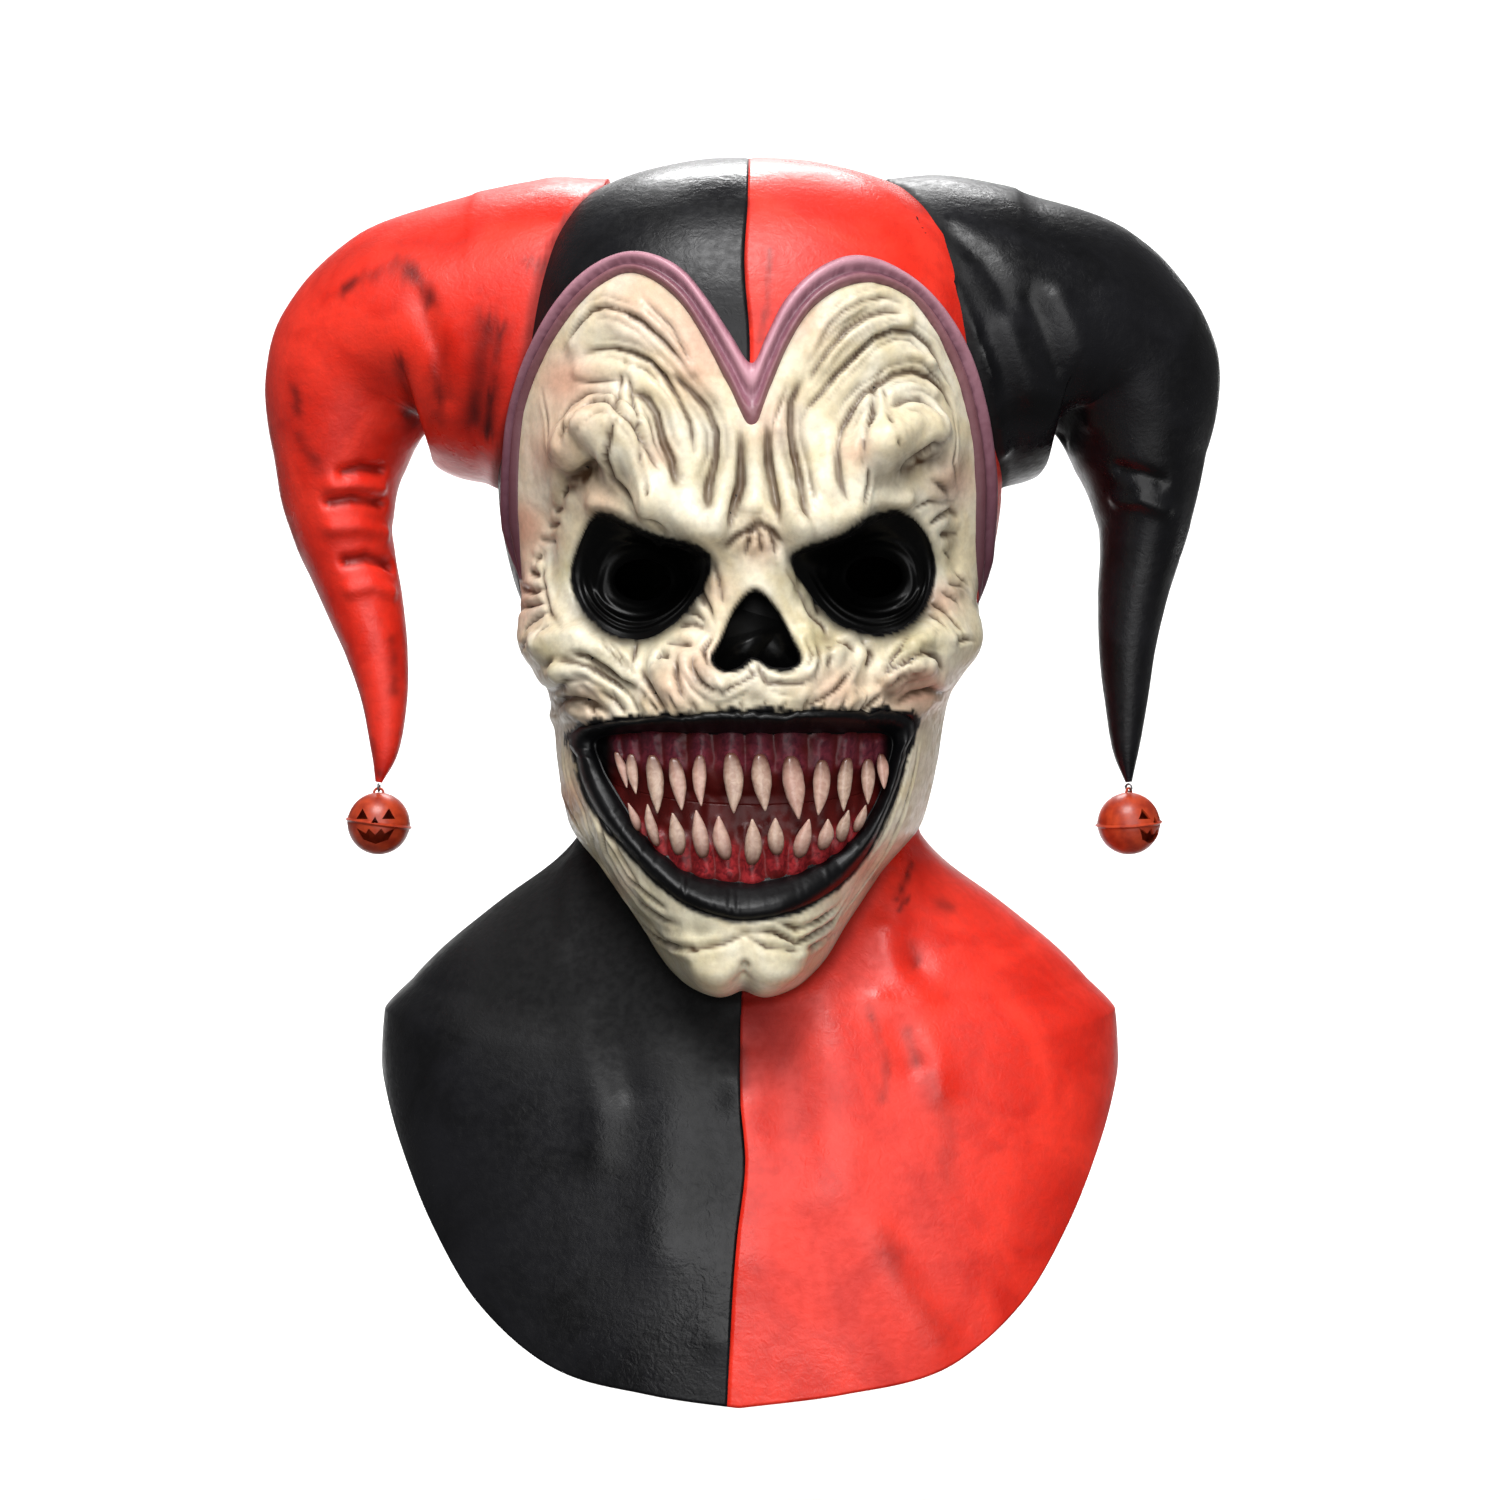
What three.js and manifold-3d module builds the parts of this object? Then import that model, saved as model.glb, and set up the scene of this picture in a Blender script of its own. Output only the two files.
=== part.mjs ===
// Over-the-head jester mask in moulded latex, millimetres, +Z up, face towards -Y.
// The origin is inside the crown, where the mask sits on the head.
import * as THREE from 'three';
import { mergeVertices } from 'three/addons/utils/BufferGeometryUtils.js';
import Module from 'manifold-3d';

// Driving dimensions
const headWidth = 182;
const faceDepth = 97;
const napeDepth = 101;
const crownRise = 74;
const chinDrop = 296;
const jawDepth = 105;
const bibWidth = 266;
const bibDrop = 430;
const bibFront = 86;
const bibBack = 90;
const latexWall = 2;
const gap = 0.3;
const sideSeamDepth = 38;
const trimRise = 4;
const reliefRise = 10;
const socketDepth = 15;
const noseDepth = 13;
const lipDepth = 5.5;
const lipRoll = 3.4;
const gumWall = 2.6;
const toothLean = 1.6;
const toothSeat = 0.35;
const toothWidth = 5.6;
const toothDepth = 4.2;
const hornRadius = 60;
const hornDrop = 221;
const hornReach = 150;
const bellRadius = 11.3;
const bellWall = 0.9;
const bellWire = 0.45;
const bailRadius = 1.7;
const ringRadius = 1.3;

const halfHead = headWidth / 2;
const faceSides = 35;
const neckSides = 32;
const faceSteps = 19;
const neckSteps = 9;
const front = -Math.PI / 2;

// Head, neck and shoulders below the widest level: down as a share of the chin drop,
// wide of the half head, aft of the nape depth, fore of the face depth where jaw is 0
// and of the jaw depth where jaw is 1
const neckTable = [
  { down: 0.243, wide: 1.0, fore: 1.0, jaw: 0, aft: 0.99 },
  { down: 0.338, wide: 1.0, fore: 1.0, jaw: 0, aft: 1.0 },
  { down: 0.422, wide: 0.99, fore: 0.98, jaw: 0, aft: 0.99 },
  { down: 0.507, wide: 0.93, fore: 0.98, jaw: 0, aft: 0.97 },
  { down: 0.591, wide: 0.83, fore: 0.951, jaw: 1, aft: 0.93 },
  { down: 0.676, wide: 0.775, fore: 0.988, jaw: 1, aft: 0.87 },
  { down: 0.76, wide: 0.735, fore: 0.998, jaw: 1, aft: 0.79 },
  { down: 0.795, wide: 0.69, fore: 0.8, jaw: 0, aft: 0.76 },
  { down: 0.811, wide: 0.685, fore: 0.46, jaw: 0, aft: 0.75 },
  { down: 0.845, wide: 0.79, fore: 0.46, jaw: 0, aft: 0.75 },
  { down: 0.885, wide: 0.97, fore: 0.5, jaw: 0, aft: 0.78 },
  { down: 0.926, wide: 1.14, fore: 0.56, jaw: 0, aft: 0.82 },
  { down: 0.966, wide: 1.3, fore: 0.62, jaw: 0, aft: 0.86 },
  { down: 1.0, wide: 1.415, fore: 0.67, jaw: 0, aft: 0.9 },
  { down: 1.014, wide: 1.45, fore: 0.69, jaw: 0, aft: 0.91 },
];

// Face and jaw: the section that stands in front of the neck, side as a shift of its middle,
// fore and jaw as above
const jawTable = [
  { down: 0.243, wide: 0.985, fore: 1.001, jaw: 0, side: 0 },
  { down: 0.422, wide: 0.955, fore: 1.007, jaw: 0, side: 0 },
  { down: 0.507, wide: 0.9, fore: 0.967, jaw: 0.5, side: 0 },
  { down: 0.585, wide: 0.83, fore: 0.95, jaw: 1, side: 0 },
  { down: 0.635, wide: 0.79, fore: 0.975, jaw: 1, side: 0 },
  { down: 0.676, wide: 0.775, fore: 0.99, jaw: 1, side: -0.01 },
  { down: 0.721, wide: 0.758, fore: 1.0, jaw: 1, side: -0.02 },
  { down: 0.777, wide: 0.72, fore: 1.0, jaw: 1, side: -0.03 },
  { down: 0.804, wide: 0.685, fore: 1.0, jaw: 1, side: -0.035 },
  { down: 0.851, wide: 0.556, fore: 1.0, jaw: 1, side: -0.038 },
  { down: 0.912, wide: 0.42, fore: 0.99, jaw: 1, side: -0.03 },
  { down: 0.95, wide: 0.345, fore: 0.97, jaw: 1, side: -0.026 },
  { down: 0.97, wide: 0.29, fore: 0.92, jaw: 1, side: -0.026 },
  { down: 0.984, wide: 0.235, fore: 0.83, jaw: 1, side: -0.026 },
  { down: 0.994, wide: 0.16, fore: 0.68, jaw: 1, side: -0.026 },
  { down: 1.004, wide: 0.06, fore: 0.3, jaw: 1, side: -0.026 },
];

// Bulges and dents of the face: centre and far end of each stroke, its radius as a share
// of the half head, and how far it rises as a share of the relief
const reliefTable = [
  { name: 'brow_left', across: -0.66, down: 0.37, toAcross: -0.5, toDown: 0.345, size: 0.13, rise: 0.45 },
  { name: 'brow_left_low', across: -0.42, down: 0.385, toAcross: -0.17, toDown: 0.452, size: 0.14, rise: 0.75 },
  { name: 'brow_right', across: 0.7, down: 0.37, toAcross: 0.5, toDown: 0.345, size: 0.13, rise: 0.45 },
  { name: 'brow_right_low', across: 0.43, down: 0.385, toAcross: 0.19, toDown: 0.452, size: 0.14, rise: 0.75 },
  { name: 'temple_left', across: -0.78, down: 0.43, toAcross: -0.8, toDown: 0.47, size: 0.14, rise: -0.3 },
  { name: 'temple_right', across: 0.78, down: 0.43, toAcross: 0.8, toDown: 0.47, size: 0.14, rise: -0.3 },
  { name: 'socket_left', across: -0.42, down: 0.51, toAcross: -0.38, toDown: 0.51, size: 0.3, rise: -0.9 },
  { name: 'socket_right', across: 0.44, down: 0.51, toAcross: 0.4, toDown: 0.51, size: 0.3, rise: -0.9 },
  { name: 'cheek_left', across: -0.78, down: 0.575, toAcross: -0.62, toDown: 0.605, size: 0.17, rise: 1.0 },
  { name: 'cheek_right', across: 0.78, down: 0.575, toAcross: 0.62, toDown: 0.605, size: 0.17, rise: 1.0 },
  { name: 'cheek_hollow_left', across: -0.55, down: 0.645, toAcross: -0.42, toDown: 0.64, size: 0.1, rise: -0.35 },
  { name: 'cheek_hollow_right', across: 0.56, down: 0.645, toAcross: 0.45, toDown: 0.64, size: 0.1, rise: -0.35 },
  { name: 'nose_bridge', across: 0.01, down: 0.47, toAcross: 0.02, toDown: 0.52, size: 0.13, rise: 0.6 },
  { name: 'muzzle', across: -0.22, down: 0.635, toAcross: 0.26, toDown: 0.635, size: 0.16, rise: 0.55 },
  { name: 'chin_left', across: -0.17, down: 0.955, toAcross: -0.14, toDown: 0.965, size: 0.12, rise: 0.3 },
  { name: 'chin_right', across: 0.1, down: 0.955, toAcross: 0.07, toDown: 0.965, size: 0.12, rise: 0.3 },
  { name: 'chin_cleft', across: -0.028, down: 0.965, toAcross: -0.028, toDown: 1.0, size: 0.05, rise: -0.5 },
];

// Trim round the forehead: the outer and the inner edge of the band, side by side
const trimTable = [
  { outAcross: -0.945, outDown: 0.425, inAcross: -0.885, inDown: 0.425 },
  { outAcross: -0.935, outDown: 0.37, inAcross: -0.88, inDown: 0.37 },
  { outAcross: -0.905, outDown: 0.31, inAcross: -0.855, inDown: 0.315 },
  { outAcross: -0.835, outDown: 0.25, inAcross: -0.793, inDown: 0.267 },
  { outAcross: -0.74, outDown: 0.2, inAcross: -0.69, inDown: 0.22 },
  { outAcross: -0.61, outDown: 0.16, inAcross: -0.575, inDown: 0.185 },
  { outAcross: -0.481, outDown: 0.142, inAcross: -0.46, inDown: 0.168 },
  { outAcross: -0.365, outDown: 0.142, inAcross: -0.36, inDown: 0.177 },
  { outAcross: -0.249, outDown: 0.159, inAcross: -0.255, inDown: 0.205 },
  { outAcross: -0.153, outDown: 0.194, inAcross: -0.17, inDown: 0.245 },
  { outAcross: -0.069, outDown: 0.232, inAcross: -0.08, inDown: 0.298 },
  { outAcross: 0.005, outDown: 0.262, inAcross: 0.007, inDown: 0.346 },
  { outAcross: 0.06, outDown: 0.232, inAcross: 0.075, inDown: 0.3 },
  { outAcross: 0.13, outDown: 0.192, inAcross: 0.135, inDown: 0.256 },
  { outAcross: 0.235, outDown: 0.161, inAcross: 0.215, inDown: 0.216 },
  { outAcross: 0.35, outDown: 0.144, inAcross: 0.32, inDown: 0.19 },
  { outAcross: 0.45, outDown: 0.146, inAcross: 0.43, inDown: 0.18 },
  { outAcross: 0.56, outDown: 0.161, inAcross: 0.54, inDown: 0.186 },
  { outAcross: 0.665, outDown: 0.184, inAcross: 0.625, inDown: 0.204 },
  { outAcross: 0.76, outDown: 0.214, inAcross: 0.705, inDown: 0.238 },
  { outAcross: 0.84, outDown: 0.258, inAcross: 0.775, inDown: 0.28 },
  { outAcross: 0.9, outDown: 0.315, inAcross: 0.825, inDown: 0.33 },
  { outAcross: 0.938, outDown: 0.39, inAcross: 0.86, inDown: 0.395 },
  { outAcross: 0.935, outDown: 0.465, inAcross: 0.87, inDown: 0.465 },
];

// Jaw line, from the left side seam round the chin to the right one
const jawLineTable = [
  { across: -1.4, down: 0.8 },
  { across: -0.713, down: 0.804 },
  { across: -0.585, down: 0.851 },
  { across: -0.436, down: 0.912 },
  { across: -0.339, down: 0.958 },
  { across: -0.262, down: 0.98 },
  { across: -0.168, down: 0.996 },
  { across: -0.028, down: 1.002 },
  { across: 0.1, down: 0.996 },
  { across: 0.206, down: 0.98 },
  { across: 0.3, down: 0.95 },
  { across: 0.38, down: 0.912 },
  { across: 0.505, down: 0.851 },
  { across: 0.644, down: 0.804 },
  { across: 1.4, down: 0.8 },
];

// Holes in the face, seen from the front
const leftEyeTable = [
  { across: -0.663, down: 0.508 },
  { across: -0.62, down: 0.463 },
  { across: -0.545, down: 0.437 },
  { across: -0.369, down: 0.461 },
  { across: -0.17, down: 0.479 },
  { across: -0.15, down: 0.492 },
  { across: -0.207, down: 0.52 },
  { across: -0.29, down: 0.555 },
  { across: -0.421, down: 0.575 },
  { across: -0.535, down: 0.566 },
  { across: -0.62, down: 0.543 },
];
const rightEyeTable = [
  { across: 0.16, down: 0.484 },
  { across: 0.336, down: 0.464 },
  { across: 0.473, down: 0.438 },
  { across: 0.585, down: 0.44 },
  { across: 0.66, down: 0.465 },
  { across: 0.69, down: 0.5 },
  { across: 0.645, down: 0.54 },
  { across: 0.56, down: 0.562 },
  { across: 0.46, down: 0.572 },
  { across: 0.346, down: 0.56 },
  { across: 0.24, down: 0.526 },
];
const noseTable = [
  { across: 0.018, down: 0.527 },
  { across: -0.054, down: 0.546 },
  { across: -0.105, down: 0.58 },
  { across: -0.145, down: 0.608 },
  { across: -0.095, down: 0.622 },
  { across: -0.03, down: 0.619 },
  { across: 0.018, down: 0.609 },
  { across: 0.07, down: 0.619 },
  { across: 0.145, down: 0.622 },
  { across: 0.192, down: 0.608 },
  { across: 0.155, down: 0.58 },
  { across: 0.094, down: 0.546 },
];

// Mouth: outer edge of the lips and inner edge, side by side, clockwise from the left corner
const mouthTable = [
  { outAcross: -0.672, outDown: 0.685, inAcross: -0.572, inDown: 0.695 },
  { outAcross: -0.477, outDown: 0.672, inAcross: -0.42, inDown: 0.687 },
  { outAcross: -0.254, outDown: 0.667, inAcross: -0.22, inDown: 0.688 },
  { outAcross: -0.08, outDown: 0.665, inAcross: -0.05, inDown: 0.689 },
  { outAcross: 0.1, outDown: 0.664, inAcross: 0.1, inDown: 0.689 },
  { outAcross: 0.34, outDown: 0.663, inAcross: 0.31, inDown: 0.688 },
  { outAcross: 0.6, outDown: 0.668, inAcross: 0.518, inDown: 0.69 },
  { outAcross: 0.575, outDown: 0.721, inAcross: 0.51, inDown: 0.73 },
  { outAcross: 0.512, outDown: 0.776, inAcross: 0.465, inDown: 0.769 },
  { outAcross: 0.428, outDown: 0.828, inAcross: 0.38, inDown: 0.806 },
  { outAcross: 0.309, outDown: 0.866, inAcross: 0.27, inDown: 0.832 },
  { outAcross: 0.14, outDown: 0.89, inAcross: 0.115, inDown: 0.85 },
  { outAcross: -0.04, outDown: 0.897, inAcross: -0.045, inDown: 0.855 },
  { outAcross: -0.213, outDown: 0.883, inAcross: -0.205, inDown: 0.846 },
  { outAcross: -0.331, outDown: 0.859, inAcross: -0.31, inDown: 0.826 },
  { outAcross: -0.447, outDown: 0.824, inAcross: -0.41, inDown: 0.795 },
  { outAcross: -0.584, outDown: 0.774, inAcross: -0.5, inDown: 0.755 },
  { outAcross: -0.652, outDown: 0.724, inAcross: -0.555, inDown: 0.725 },
];

// Gums across the mouth, seen from the front: upper edge, bite line and lower edge
const gumTable = [
  { across: -0.59, top: 0.69, bite: 0.736, foot: 0.75 },
  { across: -0.45, top: 0.68, bite: 0.752, foot: 0.8 },
  { across: -0.25, top: 0.678, bite: 0.764, foot: 0.853 },
  { across: 0.0, top: 0.677, bite: 0.769, foot: 0.868 },
  { across: 0.22, top: 0.677, bite: 0.766, foot: 0.853 },
  { across: 0.42, top: 0.678, bite: 0.756, foot: 0.8 },
  { across: 0.55, top: 0.684, bite: 0.738, foot: 0.754 },
];

// Teeth: where each root and tip lies, and its width as a share of the full tooth width
const upperTeethTable = [
  { across: -0.475, root: 0.712, tip: 0.752, wide: 0.62 },
  { across: -0.43, root: 0.711, tip: 0.757, wide: 0.8 },
  { across: -0.347, root: 0.71, tip: 0.774, wide: 1.0 },
  { across: -0.262, root: 0.712, tip: 0.771, wide: 0.95 },
  { across: -0.175, root: 0.712, tip: 0.77, wide: 1.0 },
  { across: -0.066, root: 0.71, tip: 0.774, wide: 1.1 },
  { across: 0.042, root: 0.71, tip: 0.774, wide: 1.05 },
  { across: 0.16, root: 0.71, tip: 0.78, wide: 1.1 },
  { across: 0.26, root: 0.71, tip: 0.776, wide: 1.0 },
  { across: 0.357, root: 0.71, tip: 0.772, wide: 0.95 },
  { across: 0.432, root: 0.712, tip: 0.764, wide: 0.75 },
  { across: 0.483, root: 0.712, tip: 0.752, wide: 0.6 },
];
const lowerTeethTable = [
  { across: -0.41, root: 0.787, tip: 0.768, wide: 0.6 },
  { across: -0.355, root: 0.803, tip: 0.778, wide: 0.8 },
  { across: -0.267, root: 0.83, tip: 0.784, wide: 0.95 },
  { across: -0.187, root: 0.834, tip: 0.783, wide: 0.8 },
  { across: -0.102, root: 0.838, tip: 0.786, wide: 0.9 },
  { across: 0.008, root: 0.84, tip: 0.788, wide: 0.95 },
  { across: 0.096, root: 0.838, tip: 0.788, wide: 0.85 },
  { across: 0.198, root: 0.834, tip: 0.786, wide: 0.95 },
  { across: 0.275, root: 0.828, tip: 0.783, wide: 0.8 },
  { across: 0.338, root: 0.812, tip: 0.777, wide: 0.8 },
  { across: 0.396, root: 0.796, tip: 0.771, wide: 0.62 },
];

// Horns: sections along the middle line, out as a share of the reach, drop of the horn drop,
// tall and deep as shares of the base radius
const leftHornTable = [
  { out: 0.36, drop: 0.28, tall: 0.98, deep: 1.1 },
  { out: 0.5, drop: 0.275, tall: 0.97, deep: 1.08 },
  { out: 0.65, drop: 0.271, tall: 0.87, deep: 0.98 },
  { out: 0.84, drop: 0.278, tall: 0.7, deep: 0.84 },
  { out: 0.955, drop: 0.345, tall: 0.56, deep: 0.66 },
  { out: 0.995, drop: 0.475, tall: 0.39, deep: 0.48 },
  { out: 0.99, drop: 0.575, tall: 0.31, deep: 0.37 },
  { out: 0.965, drop: 0.64, tall: 0.27, deep: 0.31 },
  { out: 0.933, drop: 0.71, tall: 0.235, deep: 0.26 },
  { out: 0.905, drop: 0.78, tall: 0.19, deep: 0.21 },
  { out: 0.886, drop: 0.86, tall: 0.14, deep: 0.155 },
  { out: 0.885, drop: 0.945, tall: 0.085, deep: 0.09 },
  { out: 0.9, drop: 1.0, tall: 0.02, deep: 0.02 },
];
const rightHornTable = [
  { out: 0.35, drop: 0.28, tall: 0.98, deep: 1.1 },
  { out: 0.48, drop: 0.275, tall: 0.98, deep: 1.09 },
  { out: 0.63, drop: 0.272, tall: 0.9, deep: 1.0 },
  { out: 0.79, drop: 0.28, tall: 0.75, deep: 0.88 },
  { out: 0.91, drop: 0.345, tall: 0.59, deep: 0.68 },
  { out: 0.945, drop: 0.475, tall: 0.4, deep: 0.48 },
  { out: 0.953, drop: 0.56, tall: 0.3, deep: 0.37 },
  { out: 0.945, drop: 0.62, tall: 0.25, deep: 0.3 },
  { out: 0.925, drop: 0.7, tall: 0.21, deep: 0.245 },
  { out: 0.914, drop: 0.785, tall: 0.17, deep: 0.19 },
  { out: 0.912, drop: 0.865, tall: 0.13, deep: 0.14 },
  { out: 0.911, drop: 0.945, tall: 0.082, deep: 0.085 },
  { out: 0.918, drop: 1.0, tall: 0.02, deep: 0.02 },
];

// Black and red meet along this line, from crown to bib hem
const seamTable = [
  { across: 0, down: -0.2 },
  { across: -0.008, down: 0.08 },
  { across: -0.02, down: 0.16 },
  { across: 0, down: 0.26 },
  { across: -0.034, down: 1.0 },
  { across: -0.034, down: 1.1 },
  { across: -0.011, down: 1.18 },
  { across: -0.04, down: 1.264 },
  { across: -0.059, down: 1.346 },
  { across: -0.096, down: 1.6 },
];

// Colours of the real piece
const cream = 0xe0d3b0;
const red = 0xd8271c;
const black = 0x2a2b2f;
const purple = 0x8e5a78;
const gloss = 0x0b0b0d;
const gumDark = 0x4a1826;
const gumRed = 0x9a303a;
const ivory = 0xe4ccae;
const orange = 0xe0552f;
const wireGrey = 0x6a6a6c;

const wasm = await Module();
wasm.setup();
const group = new THREE.Group();

function toSolid(geometry) {
  const bare = geometry.index ? geometry.toNonIndexed() : geometry.clone();
  bare.deleteAttribute('normal');
  bare.deleteAttribute('uv');
  const merged = mergeVertices(bare, 1e-5);
  const vertProperties = new Float32Array(merged.attributes.position.array);
  const triVerts = new Uint32Array(merged.index.array);
  return new wasm.Manifold(new wasm.Mesh({ numProp: 3, vertProperties, triVerts }));
}

function toGeometry(solid) {
  const mesh = solid.getMesh();
  const geometry = new THREE.BufferGeometry();
  geometry.setAttribute('position', new THREE.BufferAttribute(new Float32Array(mesh.vertProperties), 3));
  geometry.setIndex(new THREE.BufferAttribute(new Uint32Array(mesh.triVerts), 1));
  return geometry;
}

function addPiece(name, shape, color, roughness, metalness = 0) {
  const geometry = shape.isBufferGeometry ? shape : toGeometry(shape);
  geometry.computeVertexNormals();
  const mesh = new THREE.Mesh(geometry, new THREE.MeshStandardMaterial({ color, roughness, metalness }));
  mesh.name = name;
  group.add(mesh);
}

// A closed skin through rings of equal length: ends are closed by fans, or joined to each other
function skinRings(rings, closeOnItself = false) {
  const sides = rings[0].length;
  const points = rings.flat();
  const faces = [];
  const last = closeOnItself ? rings.length : rings.length - 1;
  for (let r = 0; r < last; r += 1) {
    const next = (r + 1) % rings.length;
    for (let i = 0; i < sides; i += 1) {
      const j = (i + 1) % sides;
      faces.push([r * sides + i, r * sides + j, next * sides + j]);
      faces.push([r * sides + i, next * sides + j, next * sides + i]);
    }
  }
  if (!closeOnItself) {
    for (const [ring, start, turn] of [[rings[0], 0, true], [rings.at(-1), (rings.length - 1) * sides, false]]) {
      const centre = new THREE.Vector3();
      ring.forEach((p) => centre.addScaledVector(p, 1 / sides));
      points.push(centre);
      for (let i = 0; i < sides; i += 1) {
        const edge = [start + i, start + ((i + 1) % sides)];
        if (turn) edge.reverse();
        faces.push([edge[0], edge[1], points.length - 1]);
      }
    }
  }
  return facesToGeometry(points, faces);
}

function facesToGeometry(points, faces) {
  let volume = 0;
  for (const [a, b, c] of faces) {
    volume += points[a].dot(new THREE.Vector3().crossVectors(points[b], points[c]));
  }
  const order = volume < 0 ? [0, 2, 1] : [0, 1, 2];
  const array = new Float32Array(faces.length * 9);
  faces.forEach((face, f) => {
    order.forEach((corner, k) => points[face[corner]].toArray(array, f * 9 + k * 3));
  });
  const geometry = new THREE.BufferGeometry();
  geometry.setAttribute('position', new THREE.BufferAttribute(array, 3));
  return geometry;
}

// Value of one column of a table at a level, on a smooth curve through its rows
function smoothColumn(table, key, level, column) {
  const at = (i) => table[Math.min(Math.max(i, 0), table.length - 1)];
  let i = 0;
  while (i < table.length - 2 && table[i + 1][key] < level) i += 1;
  const span = at(i + 1)[key] - at(i)[key];
  const t = Math.min(Math.max((level - at(i)[key]) / span, 0), 1);
  const slope = (k) => {
    const run = at(k + 1)[key] - at(k - 1)[key];
    return run === 0 ? 0 : ((at(k + 1)[column] - at(k - 1)[column]) / run) * span;
  };
  const a = at(i)[column];
  const b = at(i + 1)[column];
  const h = t * t * (3 - 2 * t);
  return a + (b - a) * h + slope(i) * (t * (1 - t) * (1 - t)) - slope(i + 1) * (t * t * (1 - t));
}

function ovalRadius(angle, half, depth, power) {
  const across = Math.abs(Math.cos(angle)) / half;
  const along = Math.abs(Math.sin(angle)) / depth;
  return (across ** power + along ** power) ** (-1 / power);
}

// Depth in front of the middle axis, which follows the face, the jaw or a mix of both
function foreDepth(table, down) {
  const depth = faceDepth + (jawDepth - faceDepth) * smoothColumn(table, 'down', down, 'jaw');
  return depth * smoothColumn(table, 'down', down, 'fore');
}

const crownPower = 2.3;
const sectionPower = 2.35;
const jawPower = 2.5;
const widestDown = neckTable[0].down;
const crownTop = crownRise - widestDown * chinDrop;

// Distance from the middle axis to the outside, at a turn round it and a height
function skinRadius(angle, z, withJaw) {
  const down = -z / chinDrop;
  const isFront = Math.sin(angle) < 0;
  if (down < widestDown) {
    const rise = Math.min((z + widestDown * chinDrop) / crownRise, 1);
    const shrink = (1 - rise ** crownPower) ** (1 / crownPower);
    return shrink * ovalRadius(angle, halfHead, isFront ? faceDepth : napeDepth * neckTable[0].aft, sectionPower);
  }
  const wide = halfHead * smoothColumn(neckTable, 'down', down, 'wide');
  const fore = foreDepth(neckTable, down);
  const aft = napeDepth * smoothColumn(neckTable, 'down', down, 'aft');
  const neck = ovalRadius(angle, wide, isFront ? fore : aft, sectionPower);
  if (!withJaw || !isFront || down > jawTable.at(-1).down) return neck;
  const jawWide = halfHead * smoothColumn(jawTable, 'down', down, 'wide');
  const jawFore = foreDepth(jawTable, down);
  const jaw = ovalRadius(angle, jawWide, jawFore, jawPower);
  return Math.max(neck, jaw);
}

function basePoint(angle, z, withJaw = true) {
  const radius = skinRadius(angle, z, withJaw);
  const down = -z / chinDrop;
  const shift = withJaw && down > 0 && down < 1.01 ? halfHead * smoothColumn(jawTable, 'down', down, 'side') : 0;
  const weight = Math.max(0, -Math.sin(angle));
  return new THREE.Vector3(radius * Math.cos(angle) + shift * weight, radius * Math.sin(angle), z);
}

// Turn round the axis at which the skin crosses a given distance from the middle, in front
function turnAt(x, z) {
  let low = -Math.PI;
  let high = 0;
  for (let i = 0; i < 40; i += 1) {
    const middle = (low + high) / 2;
    if (basePoint(middle, z).x < x) low = middle;
    else high = middle;
  }
  return (low + high) / 2;
}

function frontPoint(across, down) {
  return basePoint(turnAt(across * halfHead, -down * chinDrop), -down * chinDrop);
}

const strokes = reliefTable.map((row) => ({
  from: frontPoint(row.across, row.down),
  to: frontPoint(row.toAcross, row.toDown),
  size: row.size * halfHead,
  rise: row.rise * reliefRise,
}));

function relief(point) {
  let total = 0;
  const nearest = new THREE.Vector3();
  for (const stroke of strokes) {
    new THREE.Line3(stroke.from, stroke.to).closestPointToPoint(point, true, nearest);
    const reach = nearest.distanceTo(point) / stroke.size;
    total += stroke.rise * Math.exp(-reach * reach);
  }
  return total;
}

function skinPoint(angle, z, inset, withJaw = true) {
  const base = basePoint(angle, z, withJaw);
  const out = new THREE.Vector3(Math.cos(angle), Math.sin(angle), 0);
  const step = 2;
  const up = basePoint(angle, z + step, withJaw);
  const low = basePoint(angle, z - step, withJaw);
  const lean = (Math.hypot(up.x, up.y) - Math.hypot(low.x, low.y)) / (2 * step);
  const normal = new THREE.Vector3(out.x, out.y, -Math.max(-2.5, Math.min(lean, 2.5))).normalize();
  if (z > crownTop - step) normal.set(out.x, out.y, 1).normalize();
  if (withJaw && inset > 0) {
    const below = skinRadius(angle, z - 1.5 * inset, true);
    const radius = Math.hypot(base.x, base.y);
    if (below < radius) base.multiply(new THREE.Vector3(below / radius, below / radius, 1));
  }
  return base.addScaledVector(normal, relief(base) - inset);
}

function skinRing(z, angles, inset, withJaw) {
  return angles.map((angle) => skinPoint(angle, z, inset, withJaw));
}

// Heights of the rings: crowded at the crown and under the chin
const crownShares = [0.01, 0.035, 0.1, 0.2, 0.34, 0.53, 0.76];
const crownHeights = crownShares.map((share) => crownTop - share * crownRise);
const shoulderDown = neckTable.at(-1).down;

function evenAngles(sides) {
  return Array.from({ length: sides }, (_, i) => (2 * Math.PI * i) / sides);
}

// More columns in front than behind
function faceAngles(sides) {
  const frontCount = Math.round(sides * 0.8);
  const spread = 1.25;
  const list = [];
  for (let i = 0; i <= frontCount; i += 1) list.push(front - spread + (2 * spread * i) / frontCount);
  const backCount = sides - frontCount - 1;
  const rest = 2 * Math.PI - 2 * spread;
  for (let i = 1; i <= backCount; i += 1) list.push(front + spread + (rest * i) / (backCount + 1));
  return list;
}

function heightsBetween(fromDown, toDown, steps) {
  return Array.from({ length: steps }, (_, i) => -chinDrop * (fromDown + ((toDown - fromDown) * i) / steps));
}

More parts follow.
